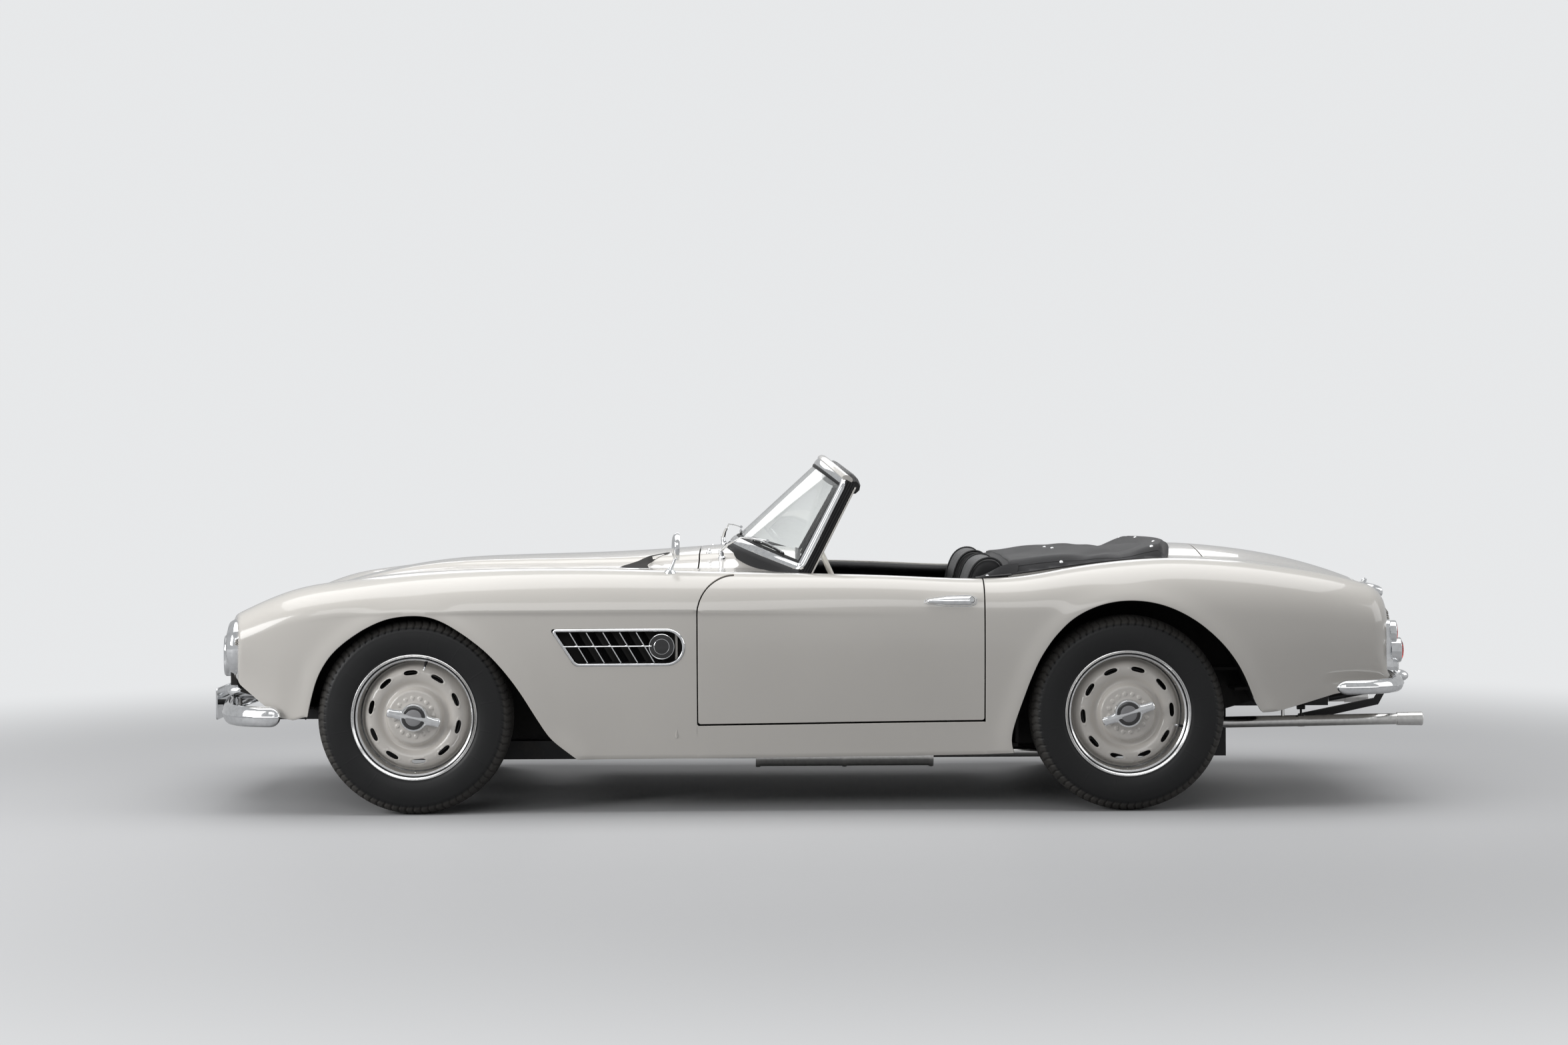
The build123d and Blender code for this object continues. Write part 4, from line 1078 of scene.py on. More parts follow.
def front_body():
    """Nose, fenders, scuttle and their inner edges, with holes for grilles and side vents."""
    cut = plan_run(lid_half(BONNET, HALF_GAP))
    rear, pillar, half = COCKPIT["front"] - ROLL, COCKPIT["pillar"], COCKPIT["half_pillar"]
    scuttle = resample([(BONNET["rear"] + HALF_GAP, 0), (rear, 0)], 14.0, closed=False)[1:-1]
    corners = [(rear, 0.0), (rear, half), (pillar, half), (pillar, COCKPIT["half"] - ROLL)]
    wing = plan_run(resample(corners, 10.0, closed=False))
    curve = door_run(HALF_GAP)
    ledge = plan_run(resample([(pillar, COCKPIT["half"] - HALF_GAP),
                               (curve[0][0], COCKPIT["half"] - HALF_GAP)], 10.0, closed=False))[1:]
    split = int(np.argmin(curve[:, 1] + (curve[:, 0] > 1200) * 1e4))
    edge = side_run(resample(curve[:split], 8.0, closed=False))
    low = [(DOOR["front"] - HALF_GAP, SIDE_LOW)]
    sill = resample([low[0], (567, SIDE_LOW)], 12.0, closed=False)[1:-1]
    arch = side_run(LIPS["front"][::-1])
    arch[:, 1] = np.minimum(arch[:, 1], SIDE_LOW)
    chin = -424.0
    ahead = resample([(arch[-1, 0] - 4, SIDE_LOW), (chin, SIDE_LOW), (chin, KEEL)], 12.0, closed=False)
    (start, turn, radius), _ = end_values(np.array([KEEL, 0.0]), False)
    tip = start - turn * radius
    bottom = resample([(chin, KEEL), (tip[0], KEEL)], 12.0, closed=False)[1:-1]
    nose = end_run(False, KEEL, 0.0)
    centre = resample([(tip[1], 0.0), (BONNET["front"] - HALF_GAP, 0.0)], 12.0, closed=False)[1:-1]
    loop = np.concatenate([cut, scuttle, wing, ledge, edge, low, sill, arch, ahead, bottom, nose, centre])
    vent = side_run(vent_outline(3.0 + ROLL))
    grille_hole = rounded_box(258, 533, 440 + 2 * ROLL, 152 + 2 * ROLL, 60, 8.0)
    lamp_hole = np.array([(620 + 62 * cos(a), 570 + 62 * sin(a))
                          for a in np.linspace(0, 2 * pi, 48, endpoint=False)])
    face = face_patch(False, [grille_hole, lamp_hole])
    panel("front_body_panel", [skinned([loop, vent]), face], "body", replaces=["front_body"])


def rounded_box(y, z, width, height, radius, step):
    """Closed outline of a box with round corners, about its middle."""
    corners = [(y - width / 2, z - height / 2), (y + width / 2, z - height / 2),
               (y + width / 2, z + height / 2), (y - width / 2, z + height / 2)]
    return resample(rounded(corners, radius, step), step)


def vent_outline(g):
    """Side vent in (d, z), grown by g: a slanted point ahead and a round end behind."""
    points = [(560.6 - 0.54 * g, 517 - g), (479 - 1.85 * g, 642 + g)]
    radii = [30, 9] + [0] * 17
    for k in range(17):
        turn = radians(90 - 180 * k / 16)
        points.append((876.5 + (62.5 + g) * cos(turn), 579.5 + (62.5 + g) * sin(turn)))
    return resample(rounded(points, radii, 3.0), 7.0)


def rear_body():
    """Rear fenders, deck and tail."""
    cut = plan_run(lid_half(BOOT, HALF_GAP))[::-1]
    (start, turn, radius), _ = end_values(np.array([0.0, KEEL]), True)
    tip = start + turn * radius
    centre = resample([(tip[0], 0.0), (BOOT["rear"] + HALF_GAP, 0.0)], 12.0, closed=False)[1:-1]
    deck = resample([(BOOT["front"] - HALF_GAP, 0.0), (COCKPIT["rear"] + ROLL, 0.0)], 12.0,
                    closed=False)[1:-1]
    rim, post, apron = COCKPIT["rear"] + ROLL, DOOR["rear"] + HALF_GAP, 2990.0
    half = COCKPIT["half"] - HALF_GAP
    ledge = plan_run(resample([(rim, 0.0), (rim, half), (post, half)], 10.0, closed=False))
    edge = side_run(resample([(post, 806), (post, 204)], 8.0, closed=False))
    low = resample([(post, SIDE_LOW), (2078, SIDE_LOW)], 10.0, closed=False)[:-1]
    arch = side_run(LIPS["rear"])
    arch[:, 1] = np.minimum(arch[:, 1], SIDE_LOW)
    behind = resample([(2952.0, SIDE_LOW), (apron, SIDE_LOW)], 10.0, closed=False)
    under = resample([(apron, SIDE_LOW), (apron, KEEL), (tip[1], KEEL)], 12.0, closed=False)[1:-1]
    tail = end_run(True, KEEL, 0.0)
    loop = np.concatenate([cut, deck, ledge, edge, low, arch, behind, under, tail, centre])
    panel("rear_body_panel", [skinned([loop]), face_patch(True, [])], "body", replaces=["rear_body"])


def lids():
    """Bonnet and boot lid."""
    for name, size, node in (("bonnet_panel", BONNET, "bonnet"), ("boot_lid_panel", BOOT, "boot_lid")):
        half = plan_run(lid_half(size, -HALF_GAP))
        back = resample([half[-1], half[0]], 12.0, closed=False)[1:-1]
        panel(name, [skinned([np.concatenate([half, back])], 14.0)], node, 12.0, replaces=[node])


def doors():
    """Door skins with their tops, closed behind by the lining's plane."""
    curve = door_run(-HALF_GAP)
    curve = resample(curve, 8.0, closed=False)
    edge = side_run(curve)
    inner_y = COCKPIT["half"] + HALF_GAP
    top = plan_run(resample([(curve[-1, 0], inner_y), (curve[0, 0], inner_y)], 10.0, closed=False))
    rear_top = resample([edge[-1], top[0]], 8.0, closed=False)[1:-1]
    front_top = resample([top[-1], edge[0]], 8.0, closed=False)[1:-1]
    loop = np.concatenate([edge, rear_top, top, front_top])

    def lining(points):
        ledge = skin(points[:, 0], girth_at_y(points[:, 0], np.full(len(points), inner_y)))[:, 2] - 14
        bottom = np.interp(points[:, 0], (984, 1983), (312, 322))
        z = np.minimum(points[:, 2], bottom + (ledge - bottom) * np.clip((points[:, 2] - bottom) / 500, 0, 1))
        return np.column_stack([points[:, 0], np.sign(points[:, 1]) * (inner_y + 1.0), np.minimum(z, ledge)])

    for name, side in SIDES.items():
        panel(f"door_panel_{name}", [skinned([loop])], f"door_{name}", side=side, replaces=[f"door_{name}"],
              inner=lining)


def sills():
    """The strip of body below each door."""
    for name, side in SIDES.items():
        a, b = DOOR["front"] - HALF_GAP + 0.4, DOOR["rear"] + HALF_GAP - 0.4
        top = side_run(resample([(a, DOOR["bottom_front"] - GAP - ROLL),
                                 (b, DOOR["bottom_rear"] - GAP - ROLL)], 10.0, closed=False))
        low = resample([(b, SIDE_LOW), (a, SIDE_LOW)], 10.0, closed=False)
        rear, front = (resample(run, 10.0, closed=False)[1:-1]
                       for run in ((top[-1], low[0]), (low[-1], top[0])))
        loop = np.concatenate([top, rear, low, front])
        panel(f"sill_strip_{name}", [skinned([loop])], "body", side=side)


front_body()
rear_body()
lids()
doors()
sills()


# ---------------------------------------------------------------- on the skin
def ring_out(points, grow):
    """A closed 2-D outline moved outwards by grow."""
    pts = np.array(points, float)
    run = np.roll(pts, -1, axis=0) - np.roll(pts, 1, axis=0)
    normal = unit(np.column_stack([run[:, 1], -run[:, 0]]))
    area = np.sum(pts[:, 0] * np.roll(pts[:, 1], -1) - np.roll(pts[:, 0], -1) * pts[:, 1])
    return pts + normal * (grow if area > 0 else -grow)


def on_side(points, out, side):
    """(d, z) points in millimetres to places out millimetres off the flank, in metres."""
    pts = np.array(points, float)
    v = girth_at_z(pts[:, 0], pts[:, 1])
    places = skin(pts[:, 0], v) + skin_normal(pts[:, 0], v) * out
    places[:, 1] *= side
    return world(places)


def on_top(points, out):
    """(d, y) points in millimetres to places out millimetres above the upper skin, in metres."""
    pts = np.array(points, float)
    v = girth_at_y(pts[:, 0], np.abs(pts[:, 1]))
    places, normals = skin(pts[:, 0], v), skin_normal(pts[:, 0], v)
    places = places + normals * out
    sign = np.where(pts[:, 1] < 0, -1.0, 1.0)
    places[:, 1] *= sign
    return world(places)


def at(d, y, z):
    """Millimetres behind the front axle, across and up, to the car's place in metres."""
    return Vector((FRONT_AXLE_X + d / 1000, y / 1000, z / 1000))


# ---------------------------------------------------------------- wheel wells
WELL_IN = {"front": 425.0, "rear": 455.0}       # breadth at which a well's inner wall stands
WELL_SWELL = {"front": 58.0, "rear": 16.0}      # how much wider a well is inside than its lip
WELL_FOOT = 205.0                               # height of a well's open lower edge


def wheel_well(end, name, side):
    """Dark liner round the inside of one wheel opening, with its inner wall."""
    line = LIPS[end]
    line = line[line[:, 1] > WELL_FOOT]
    normal = unit(np.column_stack([-np.gradient(line[:, 1]), np.gradient(line[:, 0])]))
    centre = line.mean(0)
    flip = np.sum(normal * (line - centre), axis=1) < 0
    normal[flip] *= -1
    v = np.minimum(girth_at_z(line[:, 0], line[:, 1]), SIDE_LOW)
    lip_y = skin(line[:, 0], v)[:, 1] - 11.0
    rows = []
    for share in (0.0, 0.08, 0.35, 0.7, 1.0):
        y = lip_y * (1 - share) + WELL_IN[end] * share
        away = 5.0 + WELL_SWELL[end] * smooth(share, 0.0, 0.3)
        rows.append([(d + n[0] * away, wide, z + n[1] * away) for (d, z), n, wide in zip(line, normal, y)])
    points, faces, count = [], [], len(line)
    for row in rows:
        points += row
    for r in range(len(rows) - 1):
        for k in range(count - 1):
            a, b = r * count + k, (r + 1) * count + k
            faces.append((a, a + 1, b + 1, b))
    hub = len(points)
    points.append((centre[0], WELL_IN[end], WELL_FOOT))
    base = (len(rows) - 1) * count
    faces += [(base + k, base + k + 1, hub) for k in range(count - 1)]
    points = np.array(points) * (1, side, 1)
    faces = np.array([(f[0], f[1], f[2]) for f in faces] + [(f[0], f[2], f[3]) for f in faces if len(f) == 4])
    mesh = raw_mesh("well_" + name, world(points), faces, ["underseal"])
    cleaned(mesh, wall=0.0025)
    shaded(mesh, 40)
    settle(linked("well_" + name, mesh), "body")


for end in LIPS:
    for side_name, side in SIDES.items():
        wheel_well(end, f"{end}_{side_name}", side)


# ---------------------------------------------------------------- side vents
VENT_RING = (861.0, 582.0)     # middle of the blank badge, as (d, z)


def side_vent(name, side):
    """Bright frame, slanted fins over a dark well, a bar along the middle and a blank round badge."""
    vent = Build("chrome", "black_enamel", "underseal")
    line = vent_outline(0.0)
    high, low, slant = 632.0, 526.5, 62.0

    def ring(grow, out):
        return on_side(ring_out(line, grow), out, side)

    profile = [(-7.0, -8), (-7.1, 0.4), (-6.0, 2.2), (-4.2, 3.2), (-2.0, 3.3), (0.0, 2.6), (1.4, 1.4),
               (2.6, 0.2), (2.8, -3), (2.0, -8)]
    vent.loft([ring(g, h) for g, h in profile], "chrome", closed=True)
    vent.loft([ring(-5.0, -6), ring(-7.0, -6), ring(-7.0, -44), ring(-5.0, -44)], "underseal", closed=True)
    vent.loft([ring(-6.5, -43.5), ring(-6.5, -45.5)], "underseal")
    for k in range(5):
        d = 541.0 + 57.7 * k
        faces = []
        for back, depth in ((0.0, -2.0), (26.0, -36.0)):
            for thick in (0.0, 2.6):
                faces.append([(d + back + thick, high, depth), (d + back + thick + slant, low, depth)])
        corners = [on_side([(p[0], p[1])], p[2], side)[0] for pair in faces for p in pair]
        a0, a1, b0, b1, c0, c1, e0, e1 = corners
        vent.loft([[a0, b0, e0, c0], [a1, b1, e1, c1]], "black_enamel")
        path = on_side([(d + 1.3 + slant * t, high + (low - high) * t) for t in np.linspace(0, 1, 9)], -2.5,
                       side)
        vent.tube(path, 0.0027, 10, "chrome")
    bar = on_side([(d, 584.0) for d in np.linspace(521, 826, 24)], -0.5, side)
    vent.tube(bar, 0.0044, 12, "chrome", flat=0.75)
    centre = Vector(on_side([VENT_RING], 0.0, side)[0])
    out = Vector((0, side, 0))
    vent.lathe([(0, -0.012), (0.0445, -0.012), (0.0449, 0.0005), (0.044, 0.0028), (0.0425, 0.0032),
                (0.0412, 0.0018), (0.0408, -0.0006), (0, -0.0006)], centre, out, 64, "chrome")
    vent.lathe([(0, -0.002), (0.0408, -0.002), (0.0408, 0.0002), (0.0262, 0.0012), (0.0255, 0.0024),
                (0.015, 0.0036), (0, 0.004)], centre, out, 64, "black_enamel")
    bead = [(0.0262, 0.0006), (0.027, 0.0022), (0.0258, 0.003), (0.025, 0.0018)]
    vent.lathe(bead, centre, out, 64, "chrome", closed=True)
    vent.done(f"vent_{name}", "body", "chrome", [f"side_vent_{name}"], sharp=30)


# ---------------------------------------------------------------- door handles and trim
HANDLE = [(1771, 733), (1786, 724), (1850, 718), (1930, 717), (1950, 723), (1956, 735), (1950, 747),
          (1930, 752), (1850, 750), (1786, 741)]


def door_handle(name, side):
    """Flat teardrop pull in its bright dished plate, with a round push button."""
    outline = resample(rounded(HANDLE, [5, 30, 60, 12, 12, 10, 12, 12, 60, 30], 2.0), 3.0)
    spine = np.column_stack([np.clip(outline[:, 0], 1800, 1938),
                             np.interp(outline[:, 0], (1771, 1956), (732.5, 735))])
    handle = Build("chrome", "black_enamel")
    rows = [(1.16, -2.0), (1.16, 0.8), (1.12, 1.6), (1.04, 1.0), (0.99, -0.8), (0.9, -1.5)]
    handle.loft([on_side(spine + (outline - spine) * s, h, side) for s, h in rows], "chrome")
    rows = [(0.84, -2.0)] + [(0.84 * cos(a), 2.0 + 13.0 * sin(a)) for a in np.linspace(0, 1.42, 8)]
    handle.loft([on_side(spine + (outline - spine) * s, h, side) for s, h in rows], "chrome")
    spot = Vector(on_side([(1938, 734.5)], 14.5, side)[0])
    handle.lathe([(0, -0.006), (0.0088, -0.006), (0.009, 0.002), (0.0078, 0.004), (0, 0.0048)], spot,
                 (0, side, 0), 28, "chrome")
    handle.lathe([(0.009, -0.003), (0.0104, -0.003), (0.0104, 0.0008), (0.009, 0.0008)], spot, (0, side, 0),
                 28, "black_enamel", closed=True)
    handle.done(f"handle_{name}", f"door_{name}", "chrome", sharp=38)


def door_trim(name, side):
    """Padded roll along the top of a door, its two pads, inner pull and window winder."""
    trim = Build("black_leather", "chrome")
    count = 40
    path = [at(d, side * 650, surface(d / 1000, 0.664) * 1000 - 21) for d in np.linspace(1384, 1974, count)]
    sizes = [0.019 * min(1.0, 0.55 + 0.45 * min(k, count - 1 - k) / 2) for k in range(count)]
    trim.tube(path, sizes, 24, "black_leather", flat=0.86)
    for d0, d1, low, high in ((1060, 1940, 330, 560), (1180, 1940, 575, 745)):
        outline = rounded([(d0, low), (d1, low), (d1, high), (d0, high)], 26, 6.0)
        rings = [[at(p[0], side * (669 - h), p[1]) for p in ring_out(outline, g)]
                 for g, h in ((0, 0), (0, 4), (-2.5, 8), (-9, 10.5), (-30, 12))]
        trim.loft(rings, "black_leather")
    trim.tube([at(1640, side * 655, 650), at(1640, side * 628, 650), at(1665, side * 616, 650),
               at(1740, side * 616, 650), at(1765, side * 628, 650), at(1765, side * 655, 650)], 0.0065, 14,
              "chrome")
    trim.lathe([(0, -0.004), (0.016, -0.004), (0.016, 0.004), (0.009, 0.009), (0.009, 0.02), (0, 0.021)],
               at(1420, side * 656, 640), (0, -side, 0), 28, "chrome")
    trim.tube([at(1420, side * 640, 640), at(1440, side * 634, 615), at(1462, side * 632, 588)], 0.0052, 12,
              "chrome")
    trim.lathe([(0, 0), (0.011, 0), (0.0125, 0.01), (0.0105, 0.022), (0, 0.024)], at(1462, side * 634, 588),
               (0, -side, 0), 20, "chrome")
    trim.done(f"door_trim_{name}", f"door_{name}", "black_leather", sharp=45)


# ---------------------------------------------------------------- air outlets in the bonnet
CRESCENT = [(688, 402), (705, 352), (729, 312), (756, 288), (784, 272), (812, 252), (838, 226), (860, 204),
            (868, 214), (861, 240), (838, 270), (812, 290), (797, 316), (791, 356), (797, 408), (806, 448),
            (770, 440), (728, 424)]


def crescent(name, side):
    """Claw-shaped air outlet in the bonnet: a flat dark patch in its outline is painted shade that stands for
    the hollow, with a low lip in its paint and a bright lower edge.
    """
    outlet = Build("underseal", "ivory_paint", "chrome")
    line = resample(rounded(CRESCENT, [4] + [40] * 6 + [5, 5] + [40] * 6 + [6, 40, 40], 4.0), 7.0) * (1, side)
    lip = ((2.0, -3), (2.0, 0.3), (1.0, 0.8), (0.0, 0.8), (-1.0, -2))
    outlet.loft([on_top(ring_out(line, g), h) for g, h in lip], "ivory_paint", closed=True)
    # painted shade: the outlet's hollow is a flat dark slab raised on the skin, not a recess
    outlet.loft([on_top(ring_out(line, -0.2), h) for h in (-2.0, 2.4)], "underseal")
    lower = resample([(692, 408), (728, 427), (770, 443), (806, 450)], 8.0, closed=False) * (1, side)
    outlet.tube([Vector(p) for p in on_top(lower, 2.0)], 0.0018, 10, "chrome")
    outlet.done(f"outlet_{name}", "bonnet", "black_steel", sharp=40)


for side_name, side in SIDES.items():
    side_vent(side_name, side)
    door_handle(side_name, side)
    door_trim(side_name, side)
    crescent(side_name, side)


# ---------------------------------------------------------------- repeats by Geometry Nodes
def nodes_modifier(host, build, values):
    """Runs one node tree on a host mesh and returns the plain mesh that it makes."""
    modifier = host.modifiers.new("repeat", "NODES")
    modifier.node_group = build
    for item in build.interface.items_tree:
        if item.item_type == "SOCKET" and item.in_out == "INPUT" and item.name in values:
            modifier[item.identifier] = values[item.name]
    bpy.context.view_layer.update()
    graph = bpy.context.evaluated_depsgraph_get()
    mesh = bpy.data.meshes.new_from_object(host.evaluated_get(graph))
    host.modifiers.remove(modifier)
    return mesh


def new_tree(name, inputs):
    """A geometry node tree with its ends, and with inputs beside the geometry."""
    tree = bpy.data.node_groups.new(name, "GeometryNodeTree")
    tree.interface.new_socket("Geometry", in_out="INPUT", socket_type="NodeSocketGeometry")
    for label, kind in inputs:
        tree.interface.new_socket(label, in_out="INPUT", socket_type="NodeSocket" + kind)
    tree.interface.new_socket("Geometry", in_out="OUTPUT", socket_type="NodeSocketGeometry")
    return tree, tree.nodes.new("NodeGroupInput"), tree.nodes.new("NodeGroupOutput")


def wire(tree, kind, links, settings=None):
    """A geometry node with its settings and with sockets linked or set."""
    node = tree.nodes.new(kind)
    for key, value in (settings or {}).items():
        setattr(node, key, value)
    for key, value in links.items():
        if isinstance(value, bpy.types.NodeSocket):
            tree.links.new(value, node.inputs[key])
        else:
            node.inputs[key].default_value = value
    return node


def placed_tree():
    """One fitting at every vertex of the host, turned by the vertex's own turn and sized by its size."""
    sizes = [("Fitting", "Object"), ("Scale", "Float"), ("Finish", "Material")]
    tree, start, end = new_tree("fittings", sizes)
    turn = wire(tree, "GeometryNodeInputNamedAttribute", {"Name": "turn"}, {"data_type": "FLOAT_VECTOR"})
    size = wire(tree, "GeometryNodeInputNamedAttribute", {"Name": "size"}, {"data_type": "FLOAT_VECTOR"})
    info = wire(tree, "GeometryNodeObjectInfo", {"Object": start.outputs["Fitting"]})
    scale = wire(tree, "ShaderNodeVectorMath", {0: size.outputs[0]}, {"operation": "SCALE"})
    tree.links.new(start.outputs["Scale"], scale.inputs["Scale"])
    euler = wire(tree, "FunctionNodeEulerToRotation", {0: turn.outputs[0]})
    put = wire(tree, "GeometryNodeInstanceOnPoints", {
        "Points": start.outputs["Geometry"], "Instance": info.outputs["Geometry"],
        "Rotation": euler.outputs[0], "Scale": scale.outputs[0]})
    real = wire(tree, "GeometryNodeRealizeInstances", {"Geometry": put.outputs[0]})
    coat = wire(tree, "GeometryNodeSetMaterial",
                {"Geometry": real.outputs[0], "Material": start.outputs["Finish"]})
    tree.links.new(coat.outputs[0], end.inputs["Geometry"])
    return tree


PLACED = placed_tree()


def repeat(name, fitting, places, material, body, sharp):
    """One fitting repeated at (point, turn, size) places, as one plain piece."""
    form = raw_mesh(name + "_form", fitting.points, fitting.faces)
    cleaned(form, doubles=1e-6)
    model = linked(name + "_form", form)
    points, turns, sizes = zip(*places)
    host_mesh = raw_mesh(name + "_host", points, [])
    for label, rows in (("turn", turns), ("size", sizes)):
        attribute = host_mesh.attributes.new(label, "FLOAT_VECTOR", "POINT")
        attribute.data.foreach_set("vector", np.array([tuple(row) for row in rows], np.float32).ravel())
    host = linked(name + "_host", host_mesh)
    mesh = nodes_modifier(host, PLACED, {"Fitting": model, "Scale": 1.0, "Finish": M[material]})
    for spare in (host, model):
        bpy.data.objects.remove(spare)
    for label in ("turn", "size"):
        if label in mesh.attributes:
            mesh.attributes.remove(mesh.attributes[label])
    shaded(mesh, sharp)
    return settle(linked(name, mesh), body)


def aim(direction):
    """Turn that points a fitting's own Z along a direction."""
    z = Vector(direction).normalized()
    x = Vector((0, 0, 1)).cross(z)
    x = x.normalized() if x.length > 1e-6 else z.orthogonal().normalized()
    return Matrix((x, z.cross(x), z)).transposed().to_euler()


def dome(radius, height, steps, rings, base):
    """A closed button that stands up along Z."""
    arc = [(radius * cos(a), height * sin(a)) for a in (pi / 2 * k / rings for k in range(rings))]
    return Build().lathe([(0, -base), (radius, -base), *arc, (0, height)], (0, 0, 0), (0, 0, 1), steps)


# ---------------------------------------------------------------- wheels
SLOTS_ROUND, SLOT_R, SLOT_LONG, SLOT_WIDE = 10, 0.155, 0.05, 0.0185
STUDS, STUD_R = 16, 0.0665     # embossed studs round the hub
DISC_R, BORE_R = 0.1915, 0.03
# (radius, offset from the wheel's middle plane) of the pressed disc's face, from the hub outwards
DISC = [(0.03, 0.06), (0.052, 0.0605), (0.058, 0.06), (0.0885, 0.059), (0.0935, 0.057), (0.0965, 0.052),
        (0.0985, 0.044), (0.102, 0.038), (0.108, 0.035), (0.114, 0.0345), (0.119, 0.037), (0.124, 0.0425),
        (0.131, 0.048), (0.141, 0.0515), (0.151, 0.052), (0.16, 0.05), (0.168, 0.0445), (0.174, 0.035),
        (0.179, 0.022), (0.183, 0.009), (0.187, -0.002), (0.1915, -0.006)]


def disc_height(radius):
    """The disc's face as listed."""
    return np.interp(radius, *zip(*DISC))


def soft_disc(radius):
    """The disc's face with its folds eased."""
    spread = np.array([-0.0036, -0.0018, 0.0, 0.0018, 0.0036])
    share = np.array([0.12, 0.24, 0.28, 0.24, 0.12])
    return sum(s * disc_height(np.asarray(radius) + k) for k, s in zip(spread, share))


def oval(angle, long, wide, steps=28):
    """Outline of one slot, its long side round the wheel."""
    out = []
    for k in range(steps):
        a = 2 * pi * k / steps
        u = abs(cos(a)) ** 0.75 * (1 if cos(a) > 0 else -1) * long / 2
        w = abs(sin(a)) ** 0.85 * (1 if sin(a) > 0 else -1) * wide / 2
        radius, turn = SLOT_R + w, angle + u / SLOT_R
        out.append((radius * cos(turn), radius * sin(turn)))
    return np.array(out)


def pressed_disc():
    """Disc with ten slots and a ring of embossed studs, in the wheel's own frame with its face along +Z."""
    ring, bore = (np.array([(radius * cos(2 * pi * k / count), radius * sin(2 * pi * k / count))
                            for k in range(count)]) for radius, count in ((DISC_R, 160), (BORE_R, 40)))
    slots = [oval(2 * pi * (k + 0.5) / SLOTS_ROUND, SLOT_LONG, SLOT_WIDE) for k in range(SLOTS_ROUND)]
    flat, faces = filled([ring, bore] + slots, 0.0044)

    def lift(p):
        radius, angle = np.hypot(p[:, 0], p[:, 1]), np.arctan2(p[:, 1], p[:, 0])
        z = soft_disc(radius)
        near = (angle / (2 * pi / STUDS) + 0.5) % 1 - 0.5
        stud = np.hypot((radius - STUD_R), near * 2 * pi / STUDS * STUD_R)
        z = z + 0.0034 * (1 - smooth(stud, 0.0042, 0.0092))
        slot = (angle / (2 * pi / SLOTS_ROUND)) % 1 - 0.5
        reach = np.hypot((radius - SLOT_R) / (SLOT_WIDE / 2),
                         slot * 2 * pi / SLOTS_ROUND * SLOT_R / (SLOT_LONG / 2))
        z = z + 0.0012 * np.exp(-((reach - 1.25) / 0.16) ** 2) * (reach > 0.9)
        return z

    step = 2e-4
    points = np.column_stack([flat, lift(flat)])
    slope_x = (lift(flat + (step, 0)) - lift(flat - (step, 0))) / (2 * step)
    slope_y = (lift(flat + (0, step)) - lift(flat - (0, step))) / (2 * step)
    normals = unit(np.column_stack([-slope_x, -slope_y, np.ones(len(flat))]))
    return shell(points, normals, faces, 0.0045, 0.0009)[:3]


DISC_MESH = pressed_disc()


def wheel_frame(points, centre, side, turn):
    """The wheel's own frame (face along +Z) to its place on the car."""
    c, s = cos(turn), sin(turn)
    p = np.asarray(points, float)
    x, up = p[:, 0] * c - p[:, 1] * s, p[:, 0] * s + p[:, 1] * c
    return np.column_stack([centre[0] + x * side, centre[1] + side * p[:, 2], centre[2] + up])


def spinner_outline():
    """Two-eared knock-off seen from the front, as (x, y)."""
    right = [(0.025, 0.03), (0.036, 0.0235), (0.052, 0.0165), (0.072, 0.015), (0.088, 0.016),
             (0.094, 0.011), (0.095, 0.0), (0.094, -0.011), (0.088, -0.016), (0.072, -0.015),
             (0.052, -0.0165), (0.036, -0.0235), (0.025, -0.03)]
    arc = [(0.039 * cos(a), 0.039 * sin(a)) for a in (radians(230 + 80 * k / 6) for k in range(7))]
    left = [(-x, -y) for x, y in right]
    top = [(-x, -y) for x, y in arc]
    return right + arc[::-1] + left + top[::-1]


